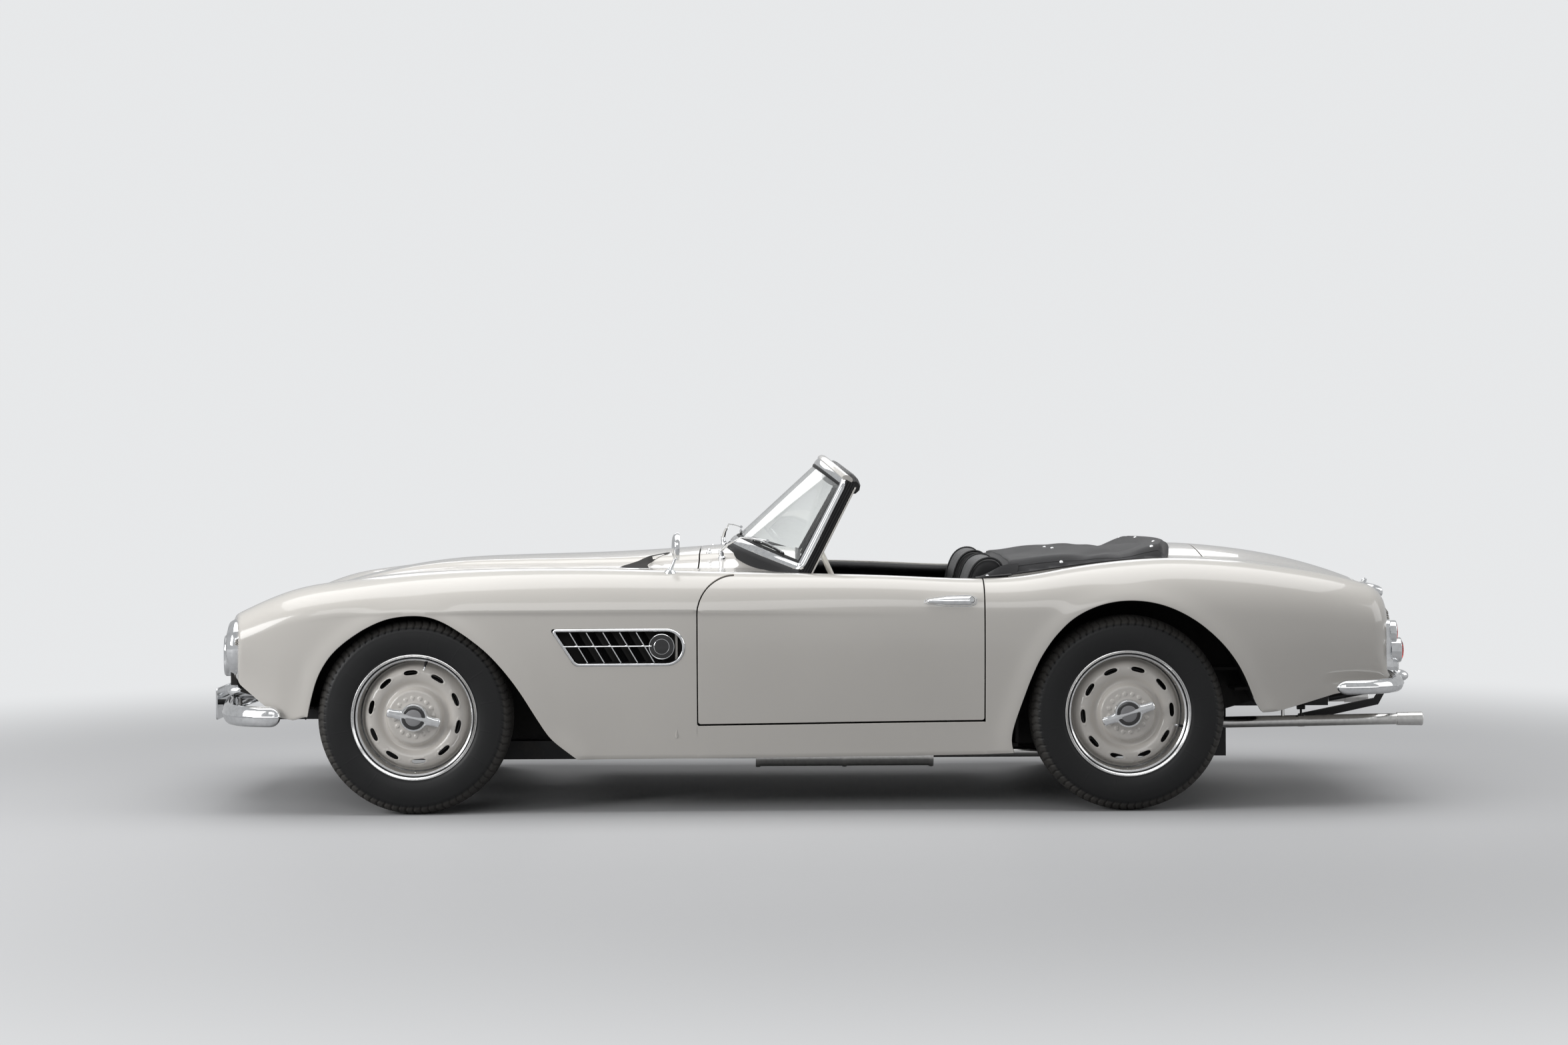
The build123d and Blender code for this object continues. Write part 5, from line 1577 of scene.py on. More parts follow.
def road_wheel(name, centre, side, turn, ear_turn, stem):
    """Rim, disc, brake drum, hub and spinner as pieces of one wheel."""
    node = "wheel_" + name
    y = Vector((0, side, 0))
    c = Vector(centre)
    points, normals, faces = DISC_MESH
    placed = wheel_frame(points, centre, side, turn)
    facing = wheel_frame(normals, (0, 0, 0), side, turn)
    if side < 0:
        faces = faces[:, ::-1]
    piece(f"disc_{name}", placed, facing, outward(placed, facing, faces), ["wheel_paint"], node, [node])
    rim = Build("rim_alloy")
    rim.lathe([(0.1905, -0.002), (0.1925, -0.006), (0.1945, 0.01), (0.195, 0.042), (0.1962, 0.052),
               (0.1985, 0.059), (0.203, 0.0625), (0.2085, 0.0655), (0.2135, 0.0705), (0.2165, 0.0738),
               (0.2185, 0.0732), (0.219, 0.07), (0.218, 0.0672), (0.214, 0.064), (0.2075, 0.0612),
               (0.201, 0.056), (0.199, 0.044), (0.199, -0.05), (0.204, -0.059), (0.214, -0.064),
               (0.218, -0.07), (0.213, -0.069), (0.204, -0.064), (0.196, -0.054), (0.1945, -0.04),
               (0.1935, -0.012), (0.1905, -0.011)], c, y, 128, closed=True)
    for k in range(3):
        angle = 2 * pi * (k + 0.25) / 3
        spot = c + Vector((cos(angle), 0, sin(angle))) * 0.1945 + y * 0.035
        rim.lathe([(0, -0.0005), (0.0028, -0.0005), (0.003, 0.0008), (0.002, 0.0018), (0, 0.0021)], spot,
                  Vector((-cos(angle), 0, -sin(angle))), 10)
    rim.done(f"rim_{name}", node, "wheel_paint", sharp=28)
    back = Build("black_steel", "cast_alloy")
    back.lathe([(0.024, -0.06), (0.146, -0.06), (0.15, -0.055), (0.15, -0.004), (0.146, 0.002), (0.09, 0.014),
                (0.085, 0.036), (0.024, 0.036)], c, y, 72, "black_steel", closed=True)
    for k in range(5):
        low = -0.052 + 0.011 * k
        back.lathe([(0.149, low), (0.1535, low + 0.001), (0.1535, low + 0.004), (0.149, low + 0.005)], c, y,
                   72, "cast_alloy", closed=True)
    back.done(f"drum_{name}", node, "black_steel")
    hub = Build("chrome", "black_enamel", "cast_alloy")
    hub.lathe([(0, 0.054), (0.05, 0.054), (0.0505, 0.0615), (0.049, 0.066), (0.0475, 0.069),
               (0.046, 0.0715), (0.044, 0.0735), (0.04, 0.075), (0, 0.075)], c, y, 64, "chrome")
    outline = []
    swing = radians(ear_turn)
    for px, pz in spinner_outline():
        x, z = px * cos(swing) - pz * sin(swing), px * sin(swing) + pz * cos(swing)
        outline.append((c[0] + x, c[1] + side * 0.0735, c[2] + z))
    count = len(outline)
    rings = []
    for inset, rise in ((0.003, 0.0), (0.0, 0.0026), (0.0, 0.0058), (0.0012, 0.0088), (0.0042, 0.0108),
                        (0.008, 0.0118)):
        ring = []
        for k in range(count):
            p = Vector(outline[k])
            run = (Vector(outline[(k + 1) % count]) - Vector(outline[k - 1])).normalized()
            normal = run.cross(Vector((0, 1, 0)))
            if normal.dot(Vector((p[0] - c[0], 0, p[2] - c[2]))) < 0:
                normal = -normal
            span = hypot(p[0] - c[0], p[2] - c[2])
            ear = min(max((span - 0.04) / 0.05, 0), 1)
            ring.append(p - normal * inset + y * (rise * (1 + 0.25 * ear) + 0.004 * ear * ear))
        rings.append(ring)
    hub.loft(rings, "chrome")
    hub.lathe([(0, 0.074), (0.048, 0.074), (0.0492, 0.079), (0.0484, 0.084), (0.0462, 0.0868),
               (0.0438, 0.0876), (0.042, 0.0872), (0.0412, 0.086), (0, 0.086)], c, y, 64, "chrome")
    hub.lathe([(0, 0.085), (0.041, 0.085), (0.0408, 0.0868), (0.038, 0.0884), (0.0335, 0.0892),
               (0.03, 0.089), (0.0296, 0.0884), (0, 0.0884)], c, y, 64, "black_enamel")
    hub.lathe([(0, 0.0878), (0.0286, 0.0878), (0.0288, 0.0888), (0.0276, 0.0893), (0.018, 0.0901),
               (0, 0.0905)], c, y, 48, "cast_alloy")
    hub.done(f"spinner_{name}", node, "chrome", sharp=32)
    valve = Build("seal_rubber", "chrome")
    root = c + Vector((cos(stem), 0, sin(stem))) * 0.195 + y * 0.046
    lean = Vector((-cos(stem) * 0.75, side * 0.66, -sin(stem) * 0.75)).normalized()
    valve.lathe([(0, -0.004), (0.0055, -0.004), (0.005, 0.006), (0.0036, 0.014), (0.0034, 0.024), (0, 0.024)],
                root, lean, 16, "seal_rubber")
    valve.lathe([(0, 0.023), (0.004, 0.023), (0.0042, 0.027), (0.0036, 0.036), (0.0022, 0.038), (0, 0.038)],
                root, lean, 16, "chrome")
    valve.done(f"valve_{name}", node, "wheel_paint")


NOTCHES = 78         # chevrons cut round each shoulder of the tread
# (radius, half width) of the tyre's section, from the bead outwards to the middle of the tread
SECTION = [(0.204, 0.0655), (0.212, 0.0668), (0.219, 0.069), (0.223, 0.0722), (0.233, 0.0772),
           (0.248, 0.0808), (0.264, 0.0822), (0.28, 0.0821), (0.293, 0.0806), (0.304, 0.0782),
           (0.312, 0.0754), (0.318, 0.0724), (0.3245, 0.0675), (0.33, 0.061), (0.3345, 0.052),
           (0.3372, 0.042), (0.3388, 0.03), (0.3396, 0.016), (0.34, 0.0)]


def tyre_section(count):
    """The section at an even spacing from bead to bead, as radius, width and outward normal."""
    half = np.array(SECTION)
    full = np.concatenate([half, (half * (1, -1))[-2::-1]])
    run = np.concatenate([[0], np.cumsum(np.hypot(*np.diff(full, axis=0).T))])
    at = np.linspace(0, run[-1], count)
    radius, width = np.interp(at, run, full[:, 0]), np.interp(at, run, full[:, 1])
    for _ in range(2):
        radius[1:-1] = (radius[:-2] + 2 * radius[1:-1] + radius[2:]) / 4
        width[1:-1] = (width[:-2] + 2 * width[1:-1] + width[2:]) / 4
    slope = np.column_stack([np.gradient(radius), np.gradient(width)])
    normal = unit(np.column_stack([-slope[:, 1], slope[:, 0]]))
    return radius, width, normal


def tread(angle, width, radius):
    """How deep the pattern is cut, in metres, by place round the tyre and across it."""
    across = np.abs(width)
    cut = np.zeros(np.shape(angle))
    on_tread = smooth(radius, 0.3225, 0.329)
    wave = 0.0028 * np.sin(angle * 72)
    for centre, breadth in ((0.0, 0.002), (0.018, 0.0019), (0.035, 0.0019)):
        groove = 1 - smooth(np.abs(across - centre - wave), breadth, breadth + 0.0011)
        cut = np.maximum(cut, groove * 0.0062 * on_tread)
    shoulder = smooth(across, 0.04, 0.043) * (1 - smooth(radius, 0.3385, 0.3399))
    shoulder = shoulder * smooth(radius, 0.3085, 0.3125)
    reach = 0.022 * (1 - np.abs(np.clip((radius - 0.3245) / 0.0135, -1, 1)))
    tooth = ((angle + reach) * NOTCHES / (2 * pi)) % 1
    slot = 1 - smooth(np.abs(tooth - 0.5), 0.07, 0.13)
    cut = np.maximum(cut, slot * shoulder * 0.0046)
    sipe = 1 - smooth(np.abs(((angle + across * 6.0) * 144 / (2 * pi)) % 1 - 0.5), 0.035, 0.075)
    cut = np.maximum(cut, sipe * on_tread * (1 - smooth(across, 0.038, 0.042)) * 0.0022)
    return cut


def sidewall(angle, radius, width):
    """Raised lines and ribs of the sidewall."""
    lift = np.zeros(np.shape(angle))
    for centre, height, breadth in ((0.2262, 0.0011, 0.0011), (0.2315, 0.0006, 0.0008),
                                    (0.2945, 0.0009, 0.0008), (0.2995, 0.0009, 0.0008),
                                    (0.3045, 0.0011, 0.001)):
        lift = np.maximum(lift, height * (1 - smooth(np.abs(radius - centre), breadth, breadth + 0.0011)))
    ray = (angle / (2 * pi) * 16) % 1 - 0.5
    reach = np.abs(ray) * 2 * pi / 16 * radius
    span = smooth(radius, 0.235, 0.237) * (1 - smooth(radius, 0.288, 0.29))
    lift = np.maximum(lift, 0.0005 * (1 - smooth(reach, 0.0005, 0.0014)) * span)
    serration = 0.00045 * np.cos(angle * 216) * smooth(radius, 0.306, 0.3075)
    serration = serration * (1 - smooth(radius, 0.31, 0.3112))
    return lift + serration * (np.abs(width) > 0.05)


ROUND, ACROSS = 780, 66       # steps round a tyre and across it


def road_tyre(name, centre):
    """Cross-ply tyre with a zigzag tread, toothed shoulders and a plain sidewall."""
    radius, width, normal = tyre_section(ACROSS)
    angle = np.arange(ROUND) * 2 * pi / ROUND
    rr, aa = np.meshgrid(radius, angle)
    ww, _ = np.meshgrid(width, angle)
    nr, _ = np.meshgrid(normal[:, 0], angle)
    nw, _ = np.meshgrid(normal[:, 1], angle)
    out = sidewall(aa, rr, ww) - tread(aa, ww, rr)
    rr, ww = rr + nr * out, ww + nw * out
    x, z = rr * np.cos(aa), rr * np.sin(aa)
    points = np.column_stack([(centre[0] + x).ravel(), (centre[1] + ww).ravel(), (centre[2] + z).ravel()])
    k, a = np.meshgrid(np.arange(ROUND), np.arange(ACROSS - 1), indexing="ij")
    n = (k + 1) % ROUND
    faces = np.stack([k * ACROSS + a, n * ACROSS + a, n * ACROSS + a + 1, k * ACROSS + a + 1],
                     -1).reshape(-1, 4)
    base = len(points)
    inner = [(0.204, -0.0655), (0.2075, -0.058), (0.215, -0.056), (0.31, -0.06), (0.327, -0.04),
             (0.33, 0.0), (0.327, 0.04), (0.31, 0.06), (0.215, 0.056), (0.2075, 0.058)]
    stack, lining, count = [points], [], len(inner)
    for r, w in inner[1:]:
        stack.append(np.column_stack([centre[0] + r * np.cos(angle), np.full(ROUND, centre[1] + w),
                                      centre[2] + r * np.sin(angle)]))
    rows = [np.arange(ROUND) * ACROSS + ACROSS - 1]
    rows += [base + i * ROUND + np.arange(ROUND) for i in range(count - 1)]
    rows.append(np.arange(ROUND) * ACROSS)
    for low, high in zip(rows, rows[1:]):
        lining.append(np.stack([low, np.roll(low, -1), np.roll(high, -1), high], -1))
    points = np.concatenate(stack)
    faces = np.concatenate([faces] + lining)
    mesh = raw_mesh(f"tyre_{name}", points, faces, ["tyre_rubber"])
    cleaned(mesh)
    shaded(mesh, 0)
    settle(linked(f"road_tyre_{name}", mesh), "wheel_" + name, [f"tyre_{name}"])


# distance back and track in metres, turn of the disc, turn of the spinner and place of the valve in degrees
WHEELS = {"front": (0.0, FRONT_TRACK, -5, -12, 78), "rear": (WHEELBASE, REAR_TRACK, 14, 18, -14)}
for end, (behind, track, turned, ears, stem) in WHEELS.items():
    for side_name, side in SIDES.items():
        middle = (FRONT_AXLE_X + behind, side * track / 2, AXLE_Z)
        road_wheel(f"{end}_{side_name}", middle, side, radians(turned), ears, radians(stem))
        road_tyre(f"{end}_{side_name}", middle)


# ---------------------------------------------------------------- lamps
def eased(points, step, rounds, closed=False):
    """A line through 3-D points, evenly spaced and with its corners eased."""
    line = resample(points, step, closed)
    for _ in range(rounds):
        if closed:
            line = (np.roll(line, 1, 0) + 2 * line + np.roll(line, -1, 0)) / 4
        else:
            line[1:-1] = (line[:-2] + 2 * line[1:-1] + line[2:]) / 4
    return line


def headlamp(name, side):
    """Conical bright rim, reflector with its bulb, and a plain domed lens."""
    c, out = at(-618, side * 620, 578), (-1, 0, 0)
    lamp = Build("chrome", "dial_white")
    lamp.lathe([(0.086, 0.0), (0.1015, 0.0), (0.1022, 0.006), (0.1025, 0.0245), (0.1015, 0.0275),
                (0.0985, 0.033), (0.0945, 0.04), (0.0905, 0.0465), (0.0885, 0.0492), (0.0862, 0.05),
                (0.0846, 0.0488), (0.0842, 0.0465), (0.0848, 0.044), (0.088, 0.04), (0.0885, 0.02)], c, out,
               112, "chrome", closed=True)
    lamp.lathe([(0.087, 0.043), (0.07, 0.0405), (0.056, 0.0375), (0.05, 0.03), (0.04, 0.012),
                (0.022, 0.002), (0, 0), (0, -0.003), (0.024, -0.001), (0.043, 0.009), (0.053, 0.028),
                (0.06, 0.035), (0.088, 0.0405)], c, out, 72, "chrome")
    lamp.lathe([(0, 0), (0.011, 0), (0.011, 0.012), (0.0095, 0.022), (0.005, 0.03), (0, 0.032)], c, out, 20,
               "dial_white")
    lamp.lathe([(0, -0.002), (0.0032, -0.002), (0.003, 0.0012), (0, 0.0018)],
               c + Vector((-0.0365, 0, -0.0975)), Vector((-0.7, 0, -0.7)), 12, "chrome")
    lamp.done(f"lamp_rim_{name}", "body", "chrome", [f"headlamp_{name}"], sharp=30)
    lens = Build("lamp_glass")
    front = [(0.0862, 0.0478), (0.081, 0.0512), (0.07, 0.055), (0.055, 0.0583), (0.038, 0.0604),
             (0.019, 0.0616), (0, 0.062)]
    back = [(0, 0.0592), (0.019, 0.0588), (0.038, 0.0576), (0.055, 0.0555), (0.07, 0.0522),
            (0.08, 0.0484), (0.0862, 0.0455)]
    lens.lathe(front + back, c, out, 96)
    lens.done(f"lamp_lens_{name}", "body", "lamp_glass", sharp=50)


def tail_spot(y, z):
    """Station of the outer skin near the tail at a breadth and height in millimetres."""
    d, v = np.meshgrid(np.linspace(3250, 3660, 160), np.linspace(700, SIDE_LOW, 160))
    p = skin(d.ravel(), v.ravel())
    gap = np.hypot(p[:, 1] - y, p[:, 2] - z)
    k = int(np.argmin(gap))
    if gap[k] > 12:
        return float(tail_face(y, z))
    return float(p[k, 0])


def tail_lamp(name, side):
    """Bright upright base with two red lamps and a clear one."""
    lamp = Build("chrome")
    line = rounded([(632, 462), (692, 462), (692, 655), (632, 655)], 29, 4.0)
    heights = (470, 560, 650)
    reach = np.poly1d(np.polyfit(heights, [tail_spot(662, z) for z in heights], 2))

    def base(grow, out):
        return [at(reach(z) + out, side * y, z) for y, z in ring_out(line, grow)]

    lamp.loft([base(g, h) for g, h in ((0, -22), (0, 3), (-1.2, 6), (-4, 8), (-9, 8.5))], "chrome")
    red, clear = Build("red_lens"), Build("lamp_glass")
    for z, radius, long, lens in ((611, 0.04, 0.023, red), (548, 0.044, 0.036, red),
                                  (492, 0.0275, 0.021, clear)):
        c = at(reach(z) + 4, side * 661, z)
        out = Vector((1, side * 0.1, 0)).normalized()
        lamp.lathe([(radius * 0.8, 0), (radius, 0), (radius * 1.01, long * 0.5), (radius, long * 0.86),
                    (radius * 0.96, long * 0.97), (radius * 0.9, long), (radius * 0.84, long * 0.97),
                    (radius * 0.82, long * 0.86)], c, out, 56, "chrome", closed=True)
        lamp.lathe([(0, 0.002), (radius * 0.82, 0.002), (radius * 0.78, 0.005), (0, 0.004)], c, out, 40,
                   "chrome")
        lens.lathe([(0, long * 0.8), (radius * 0.83, long * 0.8), (radius * 0.835, long * 0.9),
                    (radius * 0.76, long * 1.07), (radius * 0.55, long * 1.18), (radius * 0.28, long * 1.24),
                    (0, long * 1.26)], c, out, 56)
    lamp.done(f"tail_base_{name}", "body", "chrome", [f"tail_lamp_{name}"], sharp=30)
    red.done(f"tail_lens_{name}", "body", "red_lens", sharp=40)
    clear.done(f"reverse_lens_{name}", "body", "lamp_glass", sharp=40)


# ---------------------------------------------------------------- grilles
def grille(name, side):
    """Rounded bright surround, its upright bars and the dark core behind them."""
    sweep = 0.123               # how far the grille falls back for each step outwards

    def spot(x, y, out):
        n = hypot(1, sweep)
        return at(-742 + (sweep * x - out) / n, side * (258 + (x + sweep * out) / n), 533 + y)

    line = resample(rounded([(-218, -74), (218, -74), (218, 74), (-218, 74)], 59, 5.0), 12.0)
    rim = Build("chrome", "underseal")
    profile = [(0, -16), (0.2, 1), (-1.2, 5), (-4.5, 8.5), (-9.0, 9.6), (-12.5, 7.5), (-14.0, 3.0),
               (-14.2, -6), (-17, -16)]
    rim.loft([[spot(*p, h) for p in ring_out(line, g)] for g, h in profile], "chrome", closed=True)
    rim.loft([[spot(*p, h) for p in ring_out(line, -2)] for h in (-46, -42)], "underseal")
    funnel = ((-3, -12), (-6, -12), (-6, -43), (-3, -43))
    rim.loft([[spot(*p, h) for p in ring_out(line, g)] for g, h in funnel], "underseal", closed=True)
    rim.done(f"grille_surround_{name}", "body", "chrome", [f"grille_{name}"], sharp=32)
    bar = Build("chrome")
    outline = [Vector((x, y, 0)) for x, y in ((-0.0034, -0.01), (-0.0038, 0.0), (-0.003, 0.0042),
                                              (-0.0012, 0.006), (0.0012, 0.006), (0.003, 0.0042),
                                              (0.0038, 0.0), (0.0034, -0.01))]
    bar.loft([[p + Vector((0, 0, h)) for p in outline] for h in (-0.0625, 0.0, 0.0625)])
    places = []
    lean = atan2(sweep * side, 1)
    for k in range(-9, 10):
        x = k * 21.4
        half = 61 - (46 - sqrt(max(46 ** 2 - max(abs(x) - 159, 0) ** 2, 0)))
        places.append((spot(x, 0, -4), (0, 0, pi / 2 - lean), (1, 1, half / 61.0)))
    repeat(f"grille_bars_{name}", bar, places, "chrome", "body", sharp=40)


# ---------------------------------------------------------------- bumpers and plates
# (outwards, up) of the blade's section in millimetres
BLADE = [(-3, -30), (1, -34), (9, -32), (16, -26), (20.5, -17), (22.5, -8), (23.5, -2.5), (26, 0),
         (23.5, 2.5), (22.5, 8), (20.5, 17), (16, 26), (9, 32), (1, 34), (-3, 30), (4, 24), (10, 12), (12, 0),
         (10, -12), (4, -24)]


def blade(thing, half_path, z, tall, taper):
    """Bumper blade along a plan path from one rounded end round to the other."""
    path = [(d, -y) for d, y in half_path] + [(d, y) for d, y in half_path[-2::-1]]
    line = eased([(d, y, 0) for d, y in path], 14.0, 30)[:, :2]
    run = np.concatenate([[0], np.cumsum(np.hypot(*np.diff(line, axis=0).T))])
    end = taper * (1 - np.cos(np.linspace(0, pi / 2, 12)))
    stops = np.concatenate([end, run[(run > taper + 4) & (run < run[-1] - taper - 4)], (run[-1] - end)[::-1]])
    line = np.column_stack([np.interp(stops, run, line[:, 0]), np.interp(stops, run, line[:, 1])])
    run = stops
    rings = []
    for k, (d, y) in enumerate(line):
        ahead = line[min(k + 1, len(line) - 1)] - line[max(k - 1, 0)]
        normal = unit(np.array([ahead[1], -ahead[0]]))
        if normal @ np.array([d - 1000, y]) < 0:    # 1000 is about the car's middle
            normal = -normal
        near = min(run[k], run[-1] - run[k])
        size = tall * max(min(1.0, sqrt(max(0.0, 1 - (1 - min(near / taper, 1)) ** 2))), 0.06)
        deep = max(size / tall, 0.2)
        rings.append([at(d + normal[0] * o * deep, y + normal[1] * o * deep, z + h * size) for o, h in BLADE])
    thing.loft(rings, "chrome")


def bullet(thing, d, y, z, radius, long, toward):
    """Overrider: a chrome bullet along the car on a waisted foot."""
    shape = [(0, 0), (0.86, 0.0), (0.97, 0.12), (1.0, 0.3), (1.0, 0.5), (0.95, 0.66), (0.82, 0.8),
             (0.62, 0.9), (0.36, 0.97), (0.16, 0.994), (0, 1.0)]
    thing.lathe([(r * radius, a * long) for r, a in shape], at(d, y, z), (toward, 0, 0), 40, "chrome")


def foot(thing, d, y, low, high, wide, deep):
    """Upright oval post of an overrider."""
    rings = []
    for z, size in ((low, 0.8), (low + 8, 1.0), ((low + high) / 2, 0.86), (high - 14, 0.74), (high, 0.8)):
        rings.append([at(d + deep * size * cos(a), y + wide * size * sin(a), z)
                      for a in np.linspace(0, 2 * pi, 28, endpoint=False)])
    thing.loft(rings, "chrome")


def bumpers():
    """Both blades with their overriders and brackets."""
    front = Build("chrome", "black_steel")
    blade(front, [(-462, 799), (-530, 794), (-592, 774), (-636, 733), (-666, 664), (-689, 560), (-710, 440),
                  (-726, 330), (-740, 180), (-746, 0)], 345, 1.05, 38)
    for side in (-1, 1):
        bullet(front, -600, side * 350, 399.5, 0.0285, 0.137, -1)
        foot(front, -700, side * 350, 318, 392, 13, 20)
        front.tube([at(-725, side * 355, 328), at(-640, side * 360, 328), at(-565, side * 362, 326)], 0.011,
                   14, "black_steel")
    front.done("bumper_front", "body", "chrome", ["front_bumper"], sharp=32)
    rear = Build("chrome", "black_steel")
    r = WHEELBASE * 1000
    blade(rear, [(r + 720, 807), (r + 795, 803), (r + 872, 784), (r + 930, 742), (r + 962, 670),
                 (r + 982, 560), (r + 1000, 430), (r + 1012, 300), (r + 1020, 150), (r + 1022, 0)], 428.5,
          0.76, 42)
    for side in (-1, 1):
        bullet(rear, r + 960, side * 350, 432, 0.0255, 0.112, 1)
        foot(rear, r + 1012, side * 350, 396, 430, 20, 24)
        rear.tube([at(r + 1000, side * 355, 425), at(r + 960, side * 360, 385), at(r + 780, side * 360, 352)],
                  0.011, 14, "black_steel")
    rear.done("bumper_rear", "body", "chrome", ["rear_bumper"], sharp=32)


def plate(thing, d, toward, low, high, half):
    """Pressed number plate with no characters, in a bright tray."""
    outline = rounded([(-half, low), (half, low), (half, high), (-half, high)], 9, 3.0)
    tray = [(0, 0.0), (0.4, 1.0), (0.4, 5.4), (-1.2, 6.6), (-3.2, 6.4), (-4.0, 4.4)]
    thing.loft([[at(d - toward * 6 + toward * h, y, z) for y, z in ring_out(outline, g)] for g, h in tray],
               "chrome")
    face = [(-3.6, 3.0), (-3.6, 4.9), (-7.5, 4.9), (-8.6, 5.9), (-10.6, 5.9), (-11.6, 4.9)]
    thing.loft([[at(d - toward * 6 + toward * h, y, z) for y, z in ring_out(outline, g)] for g, h in face],
               "blank_plate")
    for y in (-half * 0.62, half * 0.62):
        thing.lathe([(0, -0.001), (0.0052, -0.001), (0.0052, 0.0014), (0.0036, 0.0028), (0, 0.003)],
                    at(d - toward * 1.2, y, (low + high) / 2), (toward, 0, 0), 20, "chrome")


def plates():
    """Both number plates, with the rear one's lamp above it."""
    front = Build("blank_plate", "chrome", "black_steel")
    plate(front, -798, -1, 286, 400, 258)
    for side in (-1, 1):
        front.tube([at(-792, side * 150, 342), at(-768, side * 150, 342)], 0.01, 14, "black_steel")
    front.done("plate_front", "body", "blank_plate", ["front_plate"], sharp=32)
    rear = Build("blank_plate", "chrome", "lamp_glass", "black_steel")
    r = WHEELBASE * 1000
    plate(rear, r + 993, 1, 482, 594, 258)
    for side in (-1, 1):
        rear.tube([at(r + 987, side * 170, 537), at(r + 972, side * 170, 537)], 0.012, 14, "black_steel")
    line = rounded([(-74, 704), (74, 704), (74, 752), (-74, 752)], 20, 4.0)
    rings = []
    for g, d, drop in ((2, r + 955, 2), (2, r + 992, 1), (0.5, r + 1008, -1), (-4, r + 1030, -4),
                       (-9, r + 1041, -6), (-15, r + 1044, -7)):
        rings.append([at(d, y, z + drop) for y, z in ring_out(line, g)])
    rear.loft(rings, "chrome")
    rear.loft([[at(d_, y, z) for d_, y in ((r + 1000, -52), (r + 1036, -52), (r + 1036, 52), (r + 1000, 52))]
               for z in (698, 704)], "lamp_glass")
    rear.lathe([(0, 0), (0.0095, 0), (0.01, 0.006), (0.008, 0.014), (0, 0.016)], at(r + 985, 0, 757),
               (0.35, 0, 1), 24, "chrome")
    rear.done("plate_rear", "body", "blank_plate", ["rear_plate"], sharp=32)


def fender_mirror():
    """Round mirror in a domed bright shell on a raked stalk."""
    mirror = Build("chrome", "black_enamel")
    c, out = at(912, -700, 925), Vector((-1, -0.06, 0)).normalized()
    mirror.lathe([(0, -0.0035), (0.044, -0.0035), (0.045, -0.0075), (0.0478, -0.0085), (0.0492, -0.006),
                  (0.0492, 0.0), (0.0475, 0.006), (0.0425, 0.011), (0.034, 0.015), (0.022, 0.0175),
                  (0, 0.019)], c, out, 72, "chrome")
    foot_z = surface(0.888, -0.7) * 1000
    mirror.tube([at(888, -700, foot_z - 4), at(893, -700, foot_z + 16), at(902, -700, 872),
                 at(908, -700, 890)], [0.0095, 0.0068, 0.0058, 0.0062], 20, "chrome")
    mirror.lathe([(0, -0.004), (0.02, -0.003), (0.0205, 0.001), (0.016, 0.0055), (0.01, 0.011), (0, 0.012)],
                 at(888, -700, foot_z), (0.05, -0.28, 1), 36, "chrome")
    mirror.done("mirror", "body", "chrome", ["fender_mirror"], sharp=35)


for side_name, side in SIDES.items():
    headlamp(side_name, side)
    tail_lamp(side_name, side)
    grille(side_name, side)
bumpers()
plates()
fender_mirror()


# ---------------------------------------------------------------- windscreen
SCREEN = {  # corner, middle of the arc, in millimetres; radius and half angle follow
    "low": ((1345.0, 622.0, 842.0), (1099.0, 928.0)),
    "high": ((1505.0, 552.0, 1150.0), (1421.0, 1222.0)),
}
HALF_WIDE, TALL = 660.0, 365.0         # the glass laid flat, from its middle line and from its lower edge


def screen_arc(edge, share):
    """Place on the lower or upper arc of the glass, share from -1 at one pillar to 1 at the other."""
    (d, half, z), (mid_d, mid_z) = SCREEN[edge]
    rise = np.array([mid_d - d, 0.0, mid_z - z])
    sag = np.linalg.norm(rise)
    radius = (half ** 2 + sag ** 2) / (2 * sag)
    turn = np.arcsin(half / radius) * np.asarray(share)
    out = (sag - radius * (1 - np.cos(turn)))[..., None] * rise / sag
    spot = np.array([d, 0.0, z]) + out
    spot[..., 1] += radius * np.sin(turn)
    return spot


def screen(points, out=0.0):
    """(across, up) in millimetres on the glass to places out millimetres in front of it, in metres."""
    pts = np.array(points, float)

    def on_glass(u, w):
        low, high = screen_arc("low", u / HALF_WIDE), screen_arc("high", u / HALF_WIDE)
        return low + (high - low) * (w / TALL)[..., None]

    u, w = pts[:, 0], pts[:, 1]
    here = on_glass(u, w)
    across = on_glass(u + 1, w) - on_glass(u - 1, w)
    up = on_glass(u, w + 1) - on_glass(u, w - 1)
    normal = unit(np.cross(up, across))
    normal[normal[:, 0] > 0] *= -1
    return world(here + normal * out)


